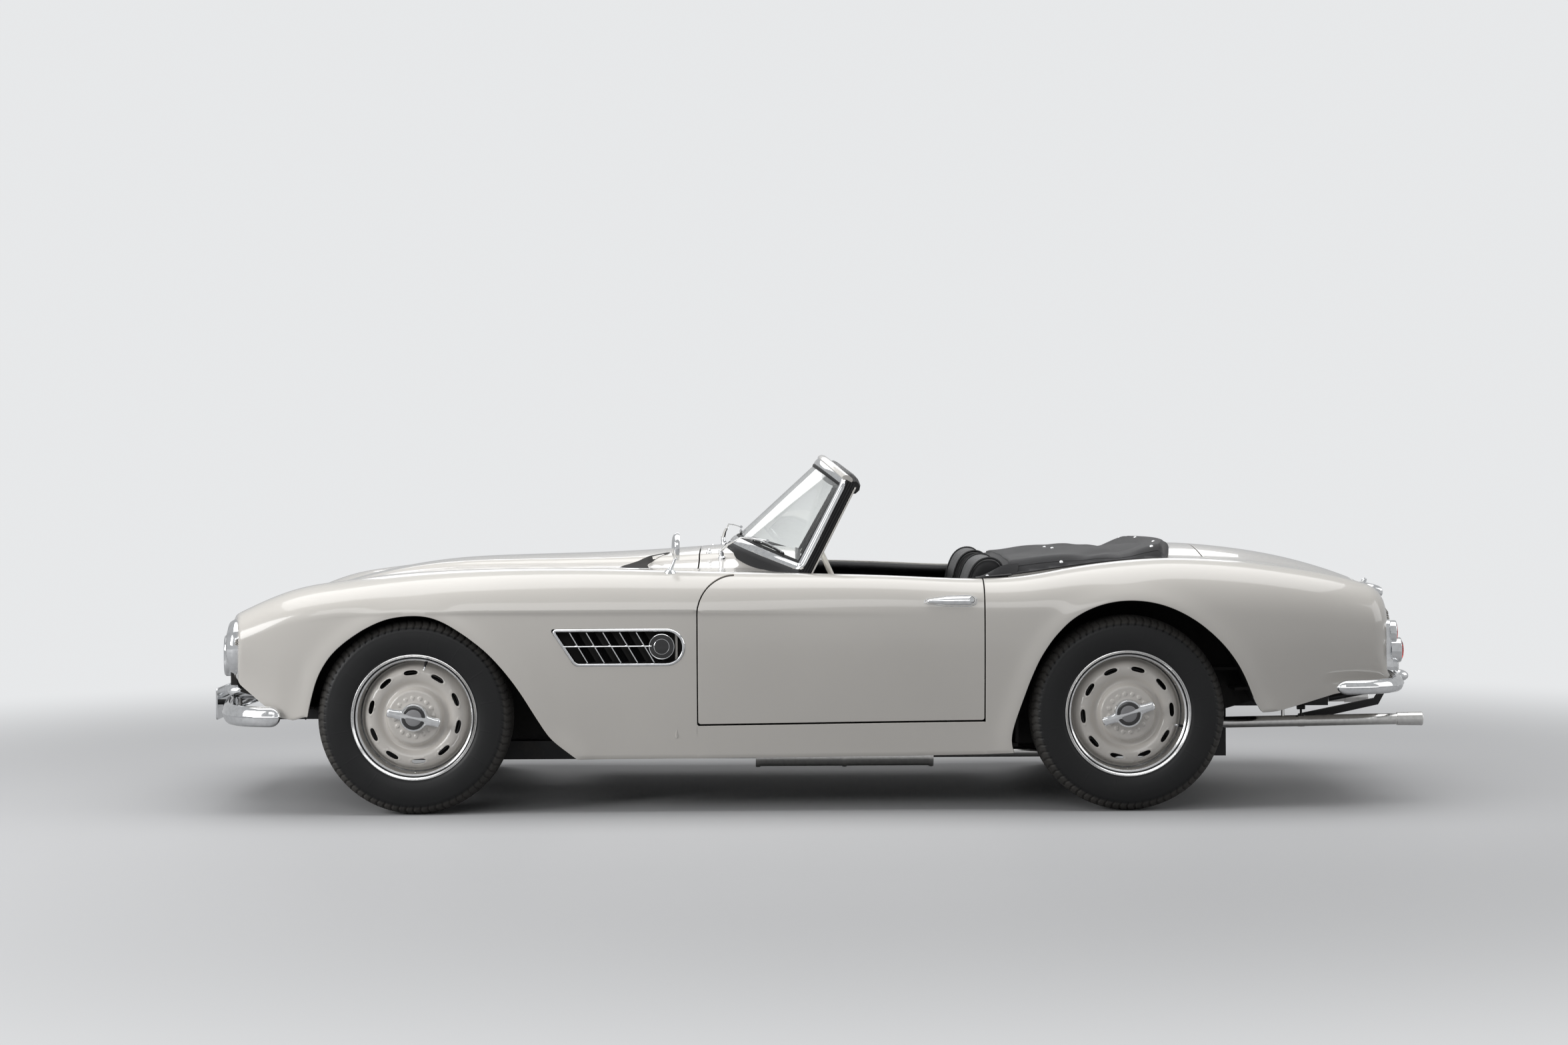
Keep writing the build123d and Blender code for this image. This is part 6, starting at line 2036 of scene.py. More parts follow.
def windscreen():
    """Curved pane in its bright frame, with rubber seals, fluted pillars, header and sun visors."""
    line = resample(rounded([(-HALF_WIDE, 0), (HALF_WIDE, 0), (HALF_WIDE, TALL), (-HALF_WIDE, TALL)],
                            [16, 16, 26, 26], 3.0), 14.0)
    body = Build("chrome", "seal_rubber", "ivory_paint", "black_leather")

    def band(profile, material):
        body.loft([screen(ring_out(line, g), h) for g, h in profile], material, closed=True)

    band([(12, -6), (12.5, 3), (10, 7.5), (4, 10.5), (-8, 10.5), (-15, 8), (-18, 4), (-18, -6), (-8, -8)],
         "chrome")
    band([(-16.5, -4), (-16.5, 6.0), (-19, 7.5), (-24, 5.0), (-27, 2.6), (-27, -4)], "seal_rubber")
    low = [(u, -9.0) for u in np.linspace(-HALF_WIDE * 1.01, HALF_WIDE * 1.01, 90)]
    rings = []
    for p, (u, _) in zip(screen(low, 0.0), low):
        p = Vector(p)
        turn = u / HALF_WIDE * 0.75
        ahead = Vector((-cos(turn), sin(turn), 0.0))
        fall = surface(p[0] - FRONT_AXLE_X, min(abs(p[1]), 0.6)) - p[2]
        rings.append([p + ahead * o + Vector((0, 0, h)) for o, h in (
            (0.016, -0.004), (0.02, -0.01), (0.024, fall + 0.004), (0.03, fall - 0.004),
            (-0.01, fall - 0.006), (-0.01, 0.0), (0.0, 0.004), (0.008, 0.003))])
    body.loft(rings, "seal_rubber")
    for side in (-1, 1):
        lower, head = (np.array([d, side * y, z]) for (d, y, z), _ in SCREEN.values())
        axis = unit(head - lower)
        back = unit(np.cross(axis, [0, 1, 0]))
        back = back if back[0] > 0 else -back
        out = np.array([0, side, 0.0])
        profile = [(2, -14), (2, 4)]
        for k in range(4):
            base = 4 + 9.0 * k
            profile += [(base + 0.8, 4.2), (base + 2.5, 7.2), (base + 6.0, 7.2), (base + 7.8, 4.2)]
        profile += [(41, 3.0), (41, -14)]
        strip = [(41, -16), (41, 5), (43, 7), (46, 6), (47, 2), (47, -16)]
        for shape, first, last, material in ((profile, -22, 362, "seal_rubber"),
                                             (strip, -20, 352, "ivory_paint")):
            body.loft([[Vector(world([lower + axis * a + back * r + out * o])[0]) for r, o in shape]
                       for a in np.linspace(first, last, 14)], material)
        post = [[Vector(world([(1322 + 8 * k + r, side * (600 + y), z)])[0]) for r, y in
                 ((-22, -12), (36, -12), (40, 0), (36, 14), (-22, 14), (-26, 0))]
                for k, z in enumerate((780, 812, 838, 852))]
        body.loft(post, "ivory_paint")
        body.lathe([(0, -0.002), (0.0065, -0.002), (0.0065, 0.0012), (0.0045, 0.0024), (0, 0.0026)],
                   Vector(screen([(side * (HALF_WIDE - 6), 9)], 10.2)[0]), (-0.6, side * 0.8, 0.1), 18,
                   "chrome")
    share = np.linspace(-1.0, 1.0, 60) * (HALF_WIDE - 2)
    cap = [(3, 12), (6, 15), (12, 15), (19, 11), (24, 3), (26, -8), (24, -22), (16, -28), (6, -24), (0, -10),
           (0, 4)]
    body.loft([[Vector(screen([(u, TALL + g)], h)[0]) for g, h in cap] for u in share], "ivory_paint")
    visor = [(2, -30), (14, -28), (26, -26), (34, -32), (38, -44), (34, -62), (22, -80), (2, -88), (-18, -82),
             (-30, -66), (-30, -50), (-18, -38)]
    for u0, u1 in ((-0.965, -0.05), (0.05, 0.965)):
        spans = np.linspace(u0, u1, 26) * HALF_WIDE
        rings = []
        for k, u in enumerate(spans):
            near = min(k, 25 - k)
            size = (0.55, 0.86, 0.97, 1.0)[min(near, 3)]
            rings.append([Vector(screen([(u, TALL + 2 + (g - 2) * size)], -56 + (h + 56) * size)[0])
                          for g, h in visor])
        body.loft(rings, "black_leather")
    body.done("screen_frame", "body", "chrome", ["windscreen_frame"], sharp=38)
    pane = Build("clear_glass")
    across, up = np.linspace(-1, 1, 56) * (HALF_WIDE - 19), np.linspace(19, TALL - 19, 12)
    front = [[Vector(p) for p in screen([(u, w) for w in up], 2.0)] for u in across]
    behind = [[Vector(p) for p in screen([(u, w) for w in up], -2.6)] for u in across]
    pane.loft([f + b[::-1] for f, b in zip(front, behind)], "clear_glass")
    pane.done("screen_pane", "body", "clear_glass", ["windscreen_glass"], sharp=50)


def inner_mirror():
    """Dipping mirror on a ball stalk from the header."""
    mirror = Build("black_enamel", "chrome")
    top = Vector(screen([(0, TALL - 12)], -4)[0])
    ball = top + Vector((0.05, 0, -0.062))
    mirror.lathe([(0, -0.002), (0.017, -0.002), (0.017, 0.003), (0.009, 0.009), (0, 0.01)], top,
                 Vector((0.6, 0, -0.8)), 24, "chrome")
    mirror.tube([top, top + Vector((0.02, 0, -0.035)), ball], [0.0055, 0.0048, 0.0048], 12, "chrome")
    mirror.lathe([(0, -0.009), (0.006, -0.008), (0.0095, -0.003), (0.0095, 0.003), (0.006, 0.008),
                  (0, 0.009)], ball, (1, 0, 0), 20, "chrome")
    outline = rounded([(-96, -24), (96, -24), (96, 24), (-96, 24)], 15, 4.0)
    lean = radians(12)

    def spot(y, z, out):
        return ball + Vector((0.01 + out * cos(lean) + z / 1000 * sin(lean), y / 1000,
                              z / 1000 - out * sin(lean)))

    back = ((-10, 0), (-3, 0.001), (0, 0.004), (0, 0.01), (-1.5, 0.012))
    mirror.loft([[spot(y, z, h) for y, z in ring_out(outline, g)] for g, h in back], "black_enamel")
    mirror.loft([[spot(y, z, h) for y, z in ring_out(outline, -2.2)] for h in (0.0112, 0.0126)], "chrome")
    mirror.done("inner_mirror", "body", "black_steel", sharp=32)


# ---------------------------------------------------------------- wipers and washer jets
def wipers():
    """Two sprung arms on splined spindles, with pressed blades and rubber squeegees."""
    wiper = Build("chrome", "seal_rubber", "black_enamel")
    for y, tip in ((-300, -470), (120, -50)):
        base_z = surface(1.06, y / 1000) * 1000
        spindle = at(1060, y, base_z)
        wiper.lathe([(0, -0.006), (0.014, -0.006), (0.0145, 0.002), (0.012, 0.006), (0.0095, 0.008),
                     (0.0095, 0.022), (0.0075, 0.024), (0.0075, 0.034), (0, 0.036)], spindle, (-0.15, 0, 1),
                    24, "chrome")
        joint = spindle + Vector((-0.004, 0, 0.03))
        mid_u = (tip + 60) / 622 * HALF_WIDE
        holder = Vector(screen([(mid_u, 44)], 17)[0])
        knee = joint.lerp(holder, 0.5) + Vector((-0.012, 0, 0.03))
        wiper.tube([joint + Vector((0, 0, -0.004)), joint.lerp(knee, 0.35) + Vector((0, 0, 0.004)),
                    joint.lerp(knee, 0.7)], [0.0072, 0.0062, 0.0044], 12, "chrome", flat=0.7)
        wiper.tube([joint.lerp(knee, 0.62), knee, knee.lerp(holder, 0.5) + Vector((-0.003, 0, 0.002)),
                    holder], 0.0026, 10, "chrome")
        wiper.lathe([(0, -0.006), (0.0055, -0.006), (0.0055, 0.006), (0, 0.006)], holder, (0, 1, 0), 14,
                    "chrome")
        reach = np.clip(np.linspace(mid_u - 118, mid_u + 122, 14), -HALF_WIDE + 24, HALF_WIDE - 24)
        spine = [Vector(p) for p in screen([(u, 30 + 7 * sin(pi * k / 13)) for k, u in enumerate(reach)],
                                           10.5)]
        wiper.tube(spine, 0.0028, 8, "chrome", flat=0.8)
        lip = [Vector(p) for p in screen([(u, 27 + 5 * sin(pi * k / 13)) for k, u in enumerate(reach)], 5.0)]
        wiper.tube(lip, 0.0026, 8, "seal_rubber", flat=1.5)
        for k in (1, 4, 9, 12):
            wiper.tube([spine[k], lip[k]], 0.0022, 8, "chrome")
    for y in (-260, 260):
        jet = at(1012, y, surface(1.012, y / 1000) * 1000)
        wiper.lathe([(0, -0.003), (0.01, -0.003), (0.0105, 0.002), (0.007, 0.005), (0.0052, 0.009),
                     (0.0056, 0.013), (0.0035, 0.016), (0, 0.017)], jet, (0.1, 0, 1), 20, "chrome")
    wiper.done("wiper_set", "body", "chrome", ["wipers"], sharp=35)


windscreen()
inner_mirror()
wipers()


# ---------------------------------------------------------------- upholstery by cloth simulation
VOXEL, FILL, MOST = 0.009, 0.6, 0.026   # cloth's mesh size, the seats' padding and its largest bulge
STEPS = 18                              # frames of the cloth simulation


def stuffed(name, form, pinned, material, body, replaces):
    """A stuffed piece: the form is remeshed, then blown up as cloth that its seams hold back."""
    thing = form.done(name + "_form", body, material, sharp=0)
    remesh = thing.modifiers.new("remesh", "REMESH")
    remesh.mode, remesh.voxel_size = "VOXEL", VOXEL
    bpy.context.view_layer.update()
    mesh = bpy.data.meshes.new_from_object(thing.evaluated_get(bpy.context.evaluated_depsgraph_get()))
    count = len(mesh.vertices)
    rest = np.empty(count * 3)
    mesh.vertices.foreach_get("co", rest)
    rest = rest.reshape(-1, 3)
    bpy.data.objects.remove(thing)
    cloth_thing = linked(name + "_cloth", mesh)
    group = cloth_thing.vertex_groups.new(name="seams")
    group.add([int(k) for k in np.nonzero(pinned(rest))[0]], 1.0, "REPLACE")
    cloth = cloth_thing.modifiers.new("cloth", "CLOTH")
    settings = cloth.settings
    settings.quality, settings.mass = 4, 0.25
    settings.tension_stiffness = settings.compression_stiffness = 22
    settings.shear_stiffness, settings.bending_stiffness = 8, 0.6
    settings.use_pressure, settings.uniform_pressure_force = True, 4.5
    settings.vertex_group_mass = "seams"
    settings.effector_weights.gravity = 0
    cloth.point_cache.frame_start, cloth.point_cache.frame_end = 1, STEPS
    for number in range(1, STEPS + 1):
        bpy.context.scene.frame_set(number)
    blown = cloth_thing.evaluated_get(bpy.context.evaluated_depsgraph_get()).to_mesh()
    moved = np.empty(count * 3)
    blown.vertices.foreach_get("co", moved)
    shift = moved.reshape(-1, 3) - rest
    shift *= np.minimum(1, MOST / np.maximum(np.linalg.norm(shift, axis=1, keepdims=True), 1e-9))
    final = rest + shift
    bpy.context.scene.frame_set(1)
    bpy.data.objects.remove(cloth_thing)
    mesh.vertices.foreach_set("co", final.ravel())
    mesh.materials.clear()
    mesh.materials.append(M[material])
    thing = linked(name, mesh)
    soft = thing.modifiers.new("soft", "SUBSURF")
    soft.levels = soft.render_levels = 1
    bpy.context.view_layer.update()
    smoothed = bpy.data.meshes.new_from_object(thing.evaluated_get(bpy.context.evaluated_depsgraph_get()))
    thing.modifiers.remove(soft)
    thing.data = smoothed
    smoothed.shade_smooth()
    settle(thing, body, replaces)


SEAT_Y = 375                            # breadth of a seat's middle
BACK = [(1884, 440), (1898, 560), (1915, 690), (1934, 786), (1950, 832), (1966, 856), (1988, 871),
        (2013, 876), (2036, 872), (2054, 858), (2065, 834), (2068, 800), (2062, 690), (2052, 560),
        (2040, 440)]
SQUAB = [(1476, 366), (1474, 420), (1484, 462), (1508, 484), (1560, 490), (1700, 480), (1830, 470),
         (1900, 468), (1930, 450), (1934, 380), (1920, 362)]
PLEATS = np.arange(-0.165, 0.166, 0.055)


def seat(name, side):
    """Low bucket seat: fluted squab and backrest with a rolled top, and piped edges."""
    mid = side * SEAT_Y
    form = Build("black_leather")
    for outline in (BACK, SQUAB):
        line = resample(outline, 14.0)
        form.slab([at(d, mid - 216, z) for d, z in line], (0, 0.432, 0), "black_leather", 0.022, 4)

    def seams(points):
        d = (points[:, 0] - FRONT_AXLE_X) * 1000
        z, y = points[:, 2] * 1000, points[:, 1] - mid / 1000
        flute = np.min(np.abs(y[:, None] - PLEATS), axis=1) < 0.0045
        on_face = ((z > 455) & (d > 1500) & (d < 1880)) | ((d < 1945) & (z > 480) & (z < 850))
        edge = np.abs(np.abs(y) - 0.212) < 0.006
        cross = (np.abs(z - 836) < 5) & (d < 1962) | (np.abs(d - 1512) < 5) & (z > 470)
        return (flute & on_face & (np.abs(y) < 0.17)) | edge | (z < 385) | (cross & (np.abs(y) < 0.2))

    stuffed(f"seat_{name}_cushion", form, seams, "black_leather", "body", [f"seat_{name}"])
    piping = Build("black_leather", "black_enamel", "chrome")
    for offset in (-213, 213):
        for outline in (BACK, SQUAB):
            line = eased([(d, 0, z) for d, z in outline], 10.0, 4, closed=True)
            heart = line.mean(0)
            path = [at(d + (d - heart[0]) * 0.006, mid + offset, z + (z - heart[2]) * 0.006)
                    for d, _, z in line]
            piping.tube(path + path[:1], 0.0042, 8, "black_leather", caps=False)
    for offset in (-190, 190):
        rail = [at(d, mid + offset, 244) for d in (1490, 1910)]
        piping.tube(rail, 0.013, 12, "black_enamel", flat=0.8)
        for d in (1530, 1870):
            piping.tube([at(d, mid + offset, 250), at(d, mid + offset * 0.95, 372)], 0.011, 12,
                        "black_enamel")
    piping.tube([at(1478, mid - 70, 300), at(1458, mid - 70, 296), at(1452, mid, 294),
                 at(1458, mid + 70, 296), at(1478, mid + 70, 300)], 0.0055, 12, "chrome")
    piping.done(f"seat_{name}_piping", "body", "black_leather", sharp=35)


# ---------------------------------------------------------------- roof cover
# (station, height) of the cover's top along its middle
BOWS = [(2060, 860), (2100, 872), (2160, 879), (2230, 885), (2287, 890), (2400, 895), (2460, 892),
        (2525, 884), (2575, 892), (2625, 910), (2670, 923), (2698, 922), (2708, 908)]


def rear_hem(y):
    """Station of the cover's rear edge, which bows towards the tail."""
    return 2706.0 - 64.0 * (np.abs(y) / 520.0) ** 1.8


def cover_height(d, y):
    """Top of the folded roof's cover in millimetres, over the deck."""
    d, y = np.asarray(d, float), np.asarray(y, float)
    v = girth_at_y(d, np.abs(y))
    deck = skin(d, v)[:, 2]
    bow = np.interp(d + (2706 - rear_hem(y)) * smooth(d, 2300, 2600), *zip(*BOWS))
    half = np.interp(d, (2060, 2694), (600, 510))
    edge = np.clip((half - np.abs(y)) / 70, 0, 1)
    arch = bow - 10 * (np.abs(y) / half) ** 2 * (1 - 0.4 * smooth(d, 2560, 2660))
    sag = 3.2 * np.sin(d / 83.0 + y / 95.0) * smooth(d, 2100, 2200) * (1 - smooth(d, 2540, 2620))
    sag = sag + 1.6 * np.sin(d / 31.0 - y / 58.0 + 1.3) * (1 - smooth(d, 2600, 2660))
    crease = (d - 2360 - 0.55 * (520 - np.abs(y))) / 34.0
    sag = sag - 6.0 * np.exp(-crease * crease) * smooth(np.abs(y), 90, 260)
    lift = (arch + sag - deck) * (1 - (1 - edge) ** 2.2)
    ends = smooth(rear_hem(y) + 6 - d, 0, 20) * smooth(d, 2062, 2092)
    return deck + np.maximum(lift * (0.12 + 0.88 * ends), 0) + 3.0


def roof_cover():
    """Canvas cover stretched over the stowed roof, hemmed and snapped to the deck."""
    side = [(2062, 604), (2300, 576), (2500, 548), (rear_hem(520) + 6, 522)]
    hem_line = [(rear_hem(y) + 6, y) for y in range(440, -441, -80)]
    loop = [(2062, -604), *side, *hem_line] + [(d, -y) for d, y in side[::-1][:-1]]
    radii = [14, 14, 200, 200, 20] + [60] * len(hem_line) + [20, 200, 200]
    outline = resample(rounded(loop, radii, 8.0), 12.0)
    flat, faces = filled([outline], 11.0)
    z = cover_height(flat[:, 0], flat[:, 1])
    top = np.column_stack([flat, z])
    slope_d = (cover_height(flat[:, 0] + 1, flat[:, 1]) - cover_height(flat[:, 0] - 1, flat[:, 1])) / 2
    slope_y = (cover_height(flat[:, 0], flat[:, 1] + 1) - cover_height(flat[:, 0], flat[:, 1] - 1)) / 2
    normals = unit(np.column_stack([-slope_d, -slope_y, np.ones(len(flat))]))
    points, normals, faces, _ = shell(top, normals, faces, 2.4, 1.0)
    cover = piece("roof_cover", world(points), normals, faces, ["black_cloth"], "body", ["tonneau_cover"])
    hem = Build("black_cloth", "chrome")
    for line, lift, radius, steps, flatness in ((outline, 0.4, 0.0033, 8, 0.8),
                                                (ring_out(outline, -26), 0.1, 0.0013, 6, 1.0)):
        path = world(np.column_stack([line, cover_height(line[:, 0], line[:, 1]) + lift]))
        hem.tube([*path, path[0]], radius, steps, "black_cloth", caps=False, flat=flatness)
    for sign in SIDES.values():
        lap = rounded([(1984, 628), (2004, 612), (2075, 575), (2092, 590), (2090, 632), (1998, 655)],
                      [10, 14, 6, 6, 8, 12], 4.0) * (1, sign)
        lap = resample(lap, 8.0)
        hem.loft([on_top(ring_out(lap, g), h) for g, h in ((-1, 0.5), (0, 2), (0, 4.5), (-1.5, 6))],
                 "black_cloth")
        flap = []
        for t in np.linspace(0, 1, 16):
            low = Vector(on_top([(1962 + 150 * t, sign * (652 - 50 * t))], 1.0)[0])
            rise = 0.003 + 0.036 * smooth(t, 0.0, 0.75)
            lean = Vector((0.008 * t, -sign * (0.012 + 0.016 * t), rise))
            thick = Vector((0, -sign * 0.0035, 0))
            flap.append([low, low + lean * 0.5 + Vector((0, sign * 0.003, 0)), low + lean, low + lean + thick,
                         low + lean * 0.5 + thick, low + thick])
        hem.loft(flap, "black_cloth")
    hem.done("cover_hem", "body", "black_cloth", sharp=50)
    stud = dome(0.0072, 0.0042, 20, 4, 0.001)
    places = []
    for sign in (-1, 1):
        for d, y in ((2004, 632), (2273, 556), (2604, 478), (2280, 150), (2640, 260)):
            if d < 2050:
                spot, up = on_top([(d, sign * y)], 6.0)[0], (0, sign * 0.25, 1)
            else:
                z = cover_height(np.array([d]), np.array([sign * y]))[0]
                z1 = cover_height(np.array([d]), np.array([sign * (y + 6)]))[0]
                z2 = cover_height(np.array([d + 6]), np.array([sign * y]))[0]
                spot, up = at(d, sign * y, z), ((z - z2) / 6, sign * (z - z1) / 6, 1)
            places.append((spot, aim(up), (1, 1, 1)))
    repeat("cover_studs", stud, places, "chrome", "body", sharp=35)


# ---------------------------------------------------------------- dashboard
def dashboard():
    """Enamelled dash with a padded brow, round gauges without figures, switches and a grab handle."""
    dash = Build("dash_paint", "black_leather", "chrome", "dial_face", "dial_white", "clear_glass")
    ys = np.linspace(-640, 640, 30)
    rings = []
    for y in ys:
        top = surface(1.318, y / 1000) * 1000 - 16
        low = 672 + 14 * (abs(y) / 640) ** 2
        rings.append([at(d, y, z) for d, z in ((1288, top - 12), (1318, top - 4), (1329, top - 12),
                                               (1331, top - 40), (1331, (top + low) / 2), (1329, low + 16),
                                               (1322, low + 4), (1308, low), (1290, low + 6))])
    dash.loft(rings, "dash_paint")
    brow = [at(1330, y, surface(1.318, y / 1000) * 1000 - 16) for y in ys]
    dash.tube(brow, [0.015] + [0.0185] * (len(brow) - 2) + [0.015], 20, "black_leather", flat=0.82)
    for y, z, radius in ((-458, 792, 0.052), (-300, 796, 0.052), (-170, 800, 0.027), (-96, 802, 0.027),
                         (330, 790, 0.04)):
        c = at(1331, y, z)
        dash.lathe([(radius * 0.86, -0.002), (radius, -0.002), (radius * 1.01, 0.003), (radius * 0.97, 0.008),
                    (radius * 0.91, 0.009), (radius * 0.86, 0.005)], c, (1, 0, 0), 56, "chrome", closed=True)
        dash.lathe([(0, -0.001), (radius * 0.87, -0.001), (radius * 0.87, 0.0018), (0, 0.0018)], c, (1, 0, 0),
                   56, "dial_face")
        dash.lathe([(0, 0.0052), (radius * 0.88, 0.0052), (radius * 0.88, 0.0062), (0, 0.007)], c, (1, 0, 0),
                   48, "clear_glass")
        for k in range(25):
            turn = radians(-130 + 260 * k / 24)
            r0, r1 = radius * (0.7 if k % 4 == 0 else 0.76), radius * 0.82
            way = Vector((0, sin(turn), cos(turn)))
            dash.tube([c + way * r0 + Vector((0.002, 0, 0)), c + way * r1 + Vector((0.002, 0, 0))],
                      0.0007 if k % 4 == 0 else 0.0004, 6, "dial_white")
        way = Vector((0, sin(radians(-118)), cos(radians(-118))))
        dash.tube([c + way * radius * share + Vector((0.0034, 0, 0)) for share in (-0.16, 0.7)],
                  [0.0012, 0.0005], 8, "dial_white")
        dash.lathe([(0, 0.0018), (radius * 0.1, 0.0018), (radius * 0.09, 0.0046), (0, 0.005)], c, (1, 0, 0),
                   20, "dial_face")
    knob = [(0, 0), (0.0046, 0), (0.0046, 0.012), (0.0105, 0.015), (0.0118, 0.02), (0.01, 0.025), (0, 0.027)]
    for y, z in ((-208, 742), (-160, 738), (-112, 736), (-64, 738), (-16, 742), (60, 760), (110, 760)):
        dash.lathe(knob, at(1331, y, z), (1, 0, 0), 22, "dial_white" if y < 0 else "chrome")
    box_line = rounded([(210, 700), (540, 700), (540, 750), (210, 750)], 12, 4.0)
    rings = [[at(1331 + h, y, z) for y, z in ring_out(box_line, g)]
             for g, h in ((0, -1), (0, 1.8), (-1.4, 2.8))]
    dash.loft(rings, "dash_paint")
    dash.tube([at(1332, 200, 858), at(1352, 206, 858), at(1358, 240, 858), at(1358, 480, 854),
               at(1352, 512, 853), at(1332, 518, 853)], 0.0068, 14, "chrome")
    dash.done("dash", "body", "dash_paint", ["dashboard"], sharp=35)


def steering_wheel():
    """Ivory two-tone wheel: grooved rim, three slim spokes, bright horn ring and a blank centre."""
    lean = radians(24)
    axis = Vector((cos(lean), 0, sin(lean)))
    c = at(1500, -370, 718)
    across, up = Vector((0, 1, 0)), Vector((-sin(lean), 0, cos(lean)))
    wheel = Build("ivory_plastic", "chrome", "black_enamel")
    rings = []
    for k in range(144):
        turn = 2 * pi * k / 144
        out = across * cos(turn) + up * sin(turn)
        ring = []
        for j in range(16):
            a = 2 * pi * j / 16
            grip = 0.0012 * max(0.0, cos(turn * 36)) * (cos(a) < -0.2)
            ring.append(c + out * (0.205 + (0.0112 - grip) * cos(a)) + axis * (0.0098 - grip) * sin(a))
        rings.append(ring)
    wheel.loft(rings, "ivory_plastic", closed=True)
    for turn in (0, 180, 270):
        out = across * cos(radians(turn)) + up * sin(radians(turn))
        along = axis.cross(out)
        for shift in (-0.0075, 0.0075):
            wheel.tube([c + out * 0.03 - axis * 0.01 + along * shift * 1.6,
                        c + out * 0.1 - axis * 0.012 + along * shift,
                        c + out * 0.196 - axis * 0.001 + along * shift * 0.8], [0.0048, 0.004, 0.0036], 12,
                       "chrome")
        wheel.lathe([(0, -0.012), (0.0105, -0.008), (0.0125, 0.0), (0.0095, 0.01), (0, 0.013)],
                    c + out * 0.194, out, 16, "ivory_plastic")
    wheel.lathe([(0, -0.022), (0.03, -0.022), (0.0345, -0.012), (0.035, 0.002), (0.032, 0.012),
                 (0.026, 0.0175), (0, 0.018)], c, axis, 48, "ivory_plastic")
    wheel.lathe([(0.0205, 0.0165), (0.0255, 0.0165), (0.0262, 0.0195), (0.0235, 0.0218), (0.0205, 0.02)], c,
                axis, 48, "chrome", closed=True)
    wheel.lathe([(0, 0.017), (0.0208, 0.017), (0.0208, 0.0196), (0.014, 0.0216), (0, 0.0222)], c, axis, 40,
                "black_enamel")
    horn = []
    for k in range(72):
        turn = 2 * pi * k / 72
        out = across * cos(turn) + up * sin(turn)
        horn.append([c + out * (0.118 + 0.0034 * cos(a)) + axis * (0.004 + 0.0034 * sin(a))
                     for a in np.linspace(0, 2 * pi, 10, endpoint=False)])
    wheel.loft(horn, "chrome", closed=True)
    wheel.done("wheel_rim", "steering_wheel", "ivory_plastic", ["steering_wheel"], sharp=40)


# ---------------------------------------------------------------- the tub
def box_at(thing, d0, d1, y0, y1, z0, z1, material):
    """A rounded box between stations, breadths in either order, and heights, in millimetres."""
    y0, y1 = sorted((y0, y1))
    line = rounded([(d0, y0), (d1, y0), (d1, y1), (d0, y1)], 4.0, 2.0)
    thing.slab([at(d, y, z0) for d, y in line], (0, 0, (z1 - z0) / 1000), material, 0.0015, 2)


def tub():
    """Floor, firewall, hinge posts, rear bulkhead and boot floor, pressed with swages."""
    form = Build("underseal", "ivory_paint")
    box_at(form, 884, 2106, -690, 690, 216.5, 230, "underseal")
    for d in range(1040, 2000, 115):
        for side in (-1, 1):
            form.tube([at(d, side * y, 217) for y in (170, 420, 660)], 0.006, 8, "underseal", flat=0.5)
    for side in (-1, 1):
        box_at(form, 906, 916, side * 694, side * 772, 262, 735, "ivory_paint")
        box_at(form, 918, 970, side * 692, side * 700, 240, 760, "underseal")
        for z in (470, 680):
            form.lathe([(0, -0.012), (0.0078, -0.012), (0.0078, 0.0118), (0, 0.0118)],
                       at(927.5, side * 777, z), (0, 0, 1), 20, "ivory_paint")
            box_at(form, 911, 929, side * 771, side * 782, z - 23, z - 1, "ivory_paint")
        box_at(form, 990, 1978, side * 700, side * 745, 226, 296, "underseal")
    box_at(form, 962, 973, -688, 688, 232, 760, "underseal")
    box_at(form, 2094, 2108, -690, 690, 232, 786, "underseal")
    box_at(form, 2112, 3380, -548, 548, 470, 481, "underseal")
    for d in range(2200, 3300, 150):
        form.tube([at(d, -500, 481), at(d, 500, 481)], 0.007, 8, "underseal", flat=0.5)
    form.done("tub", "body", "black_steel", ["cabin_tub"], sharp=35)


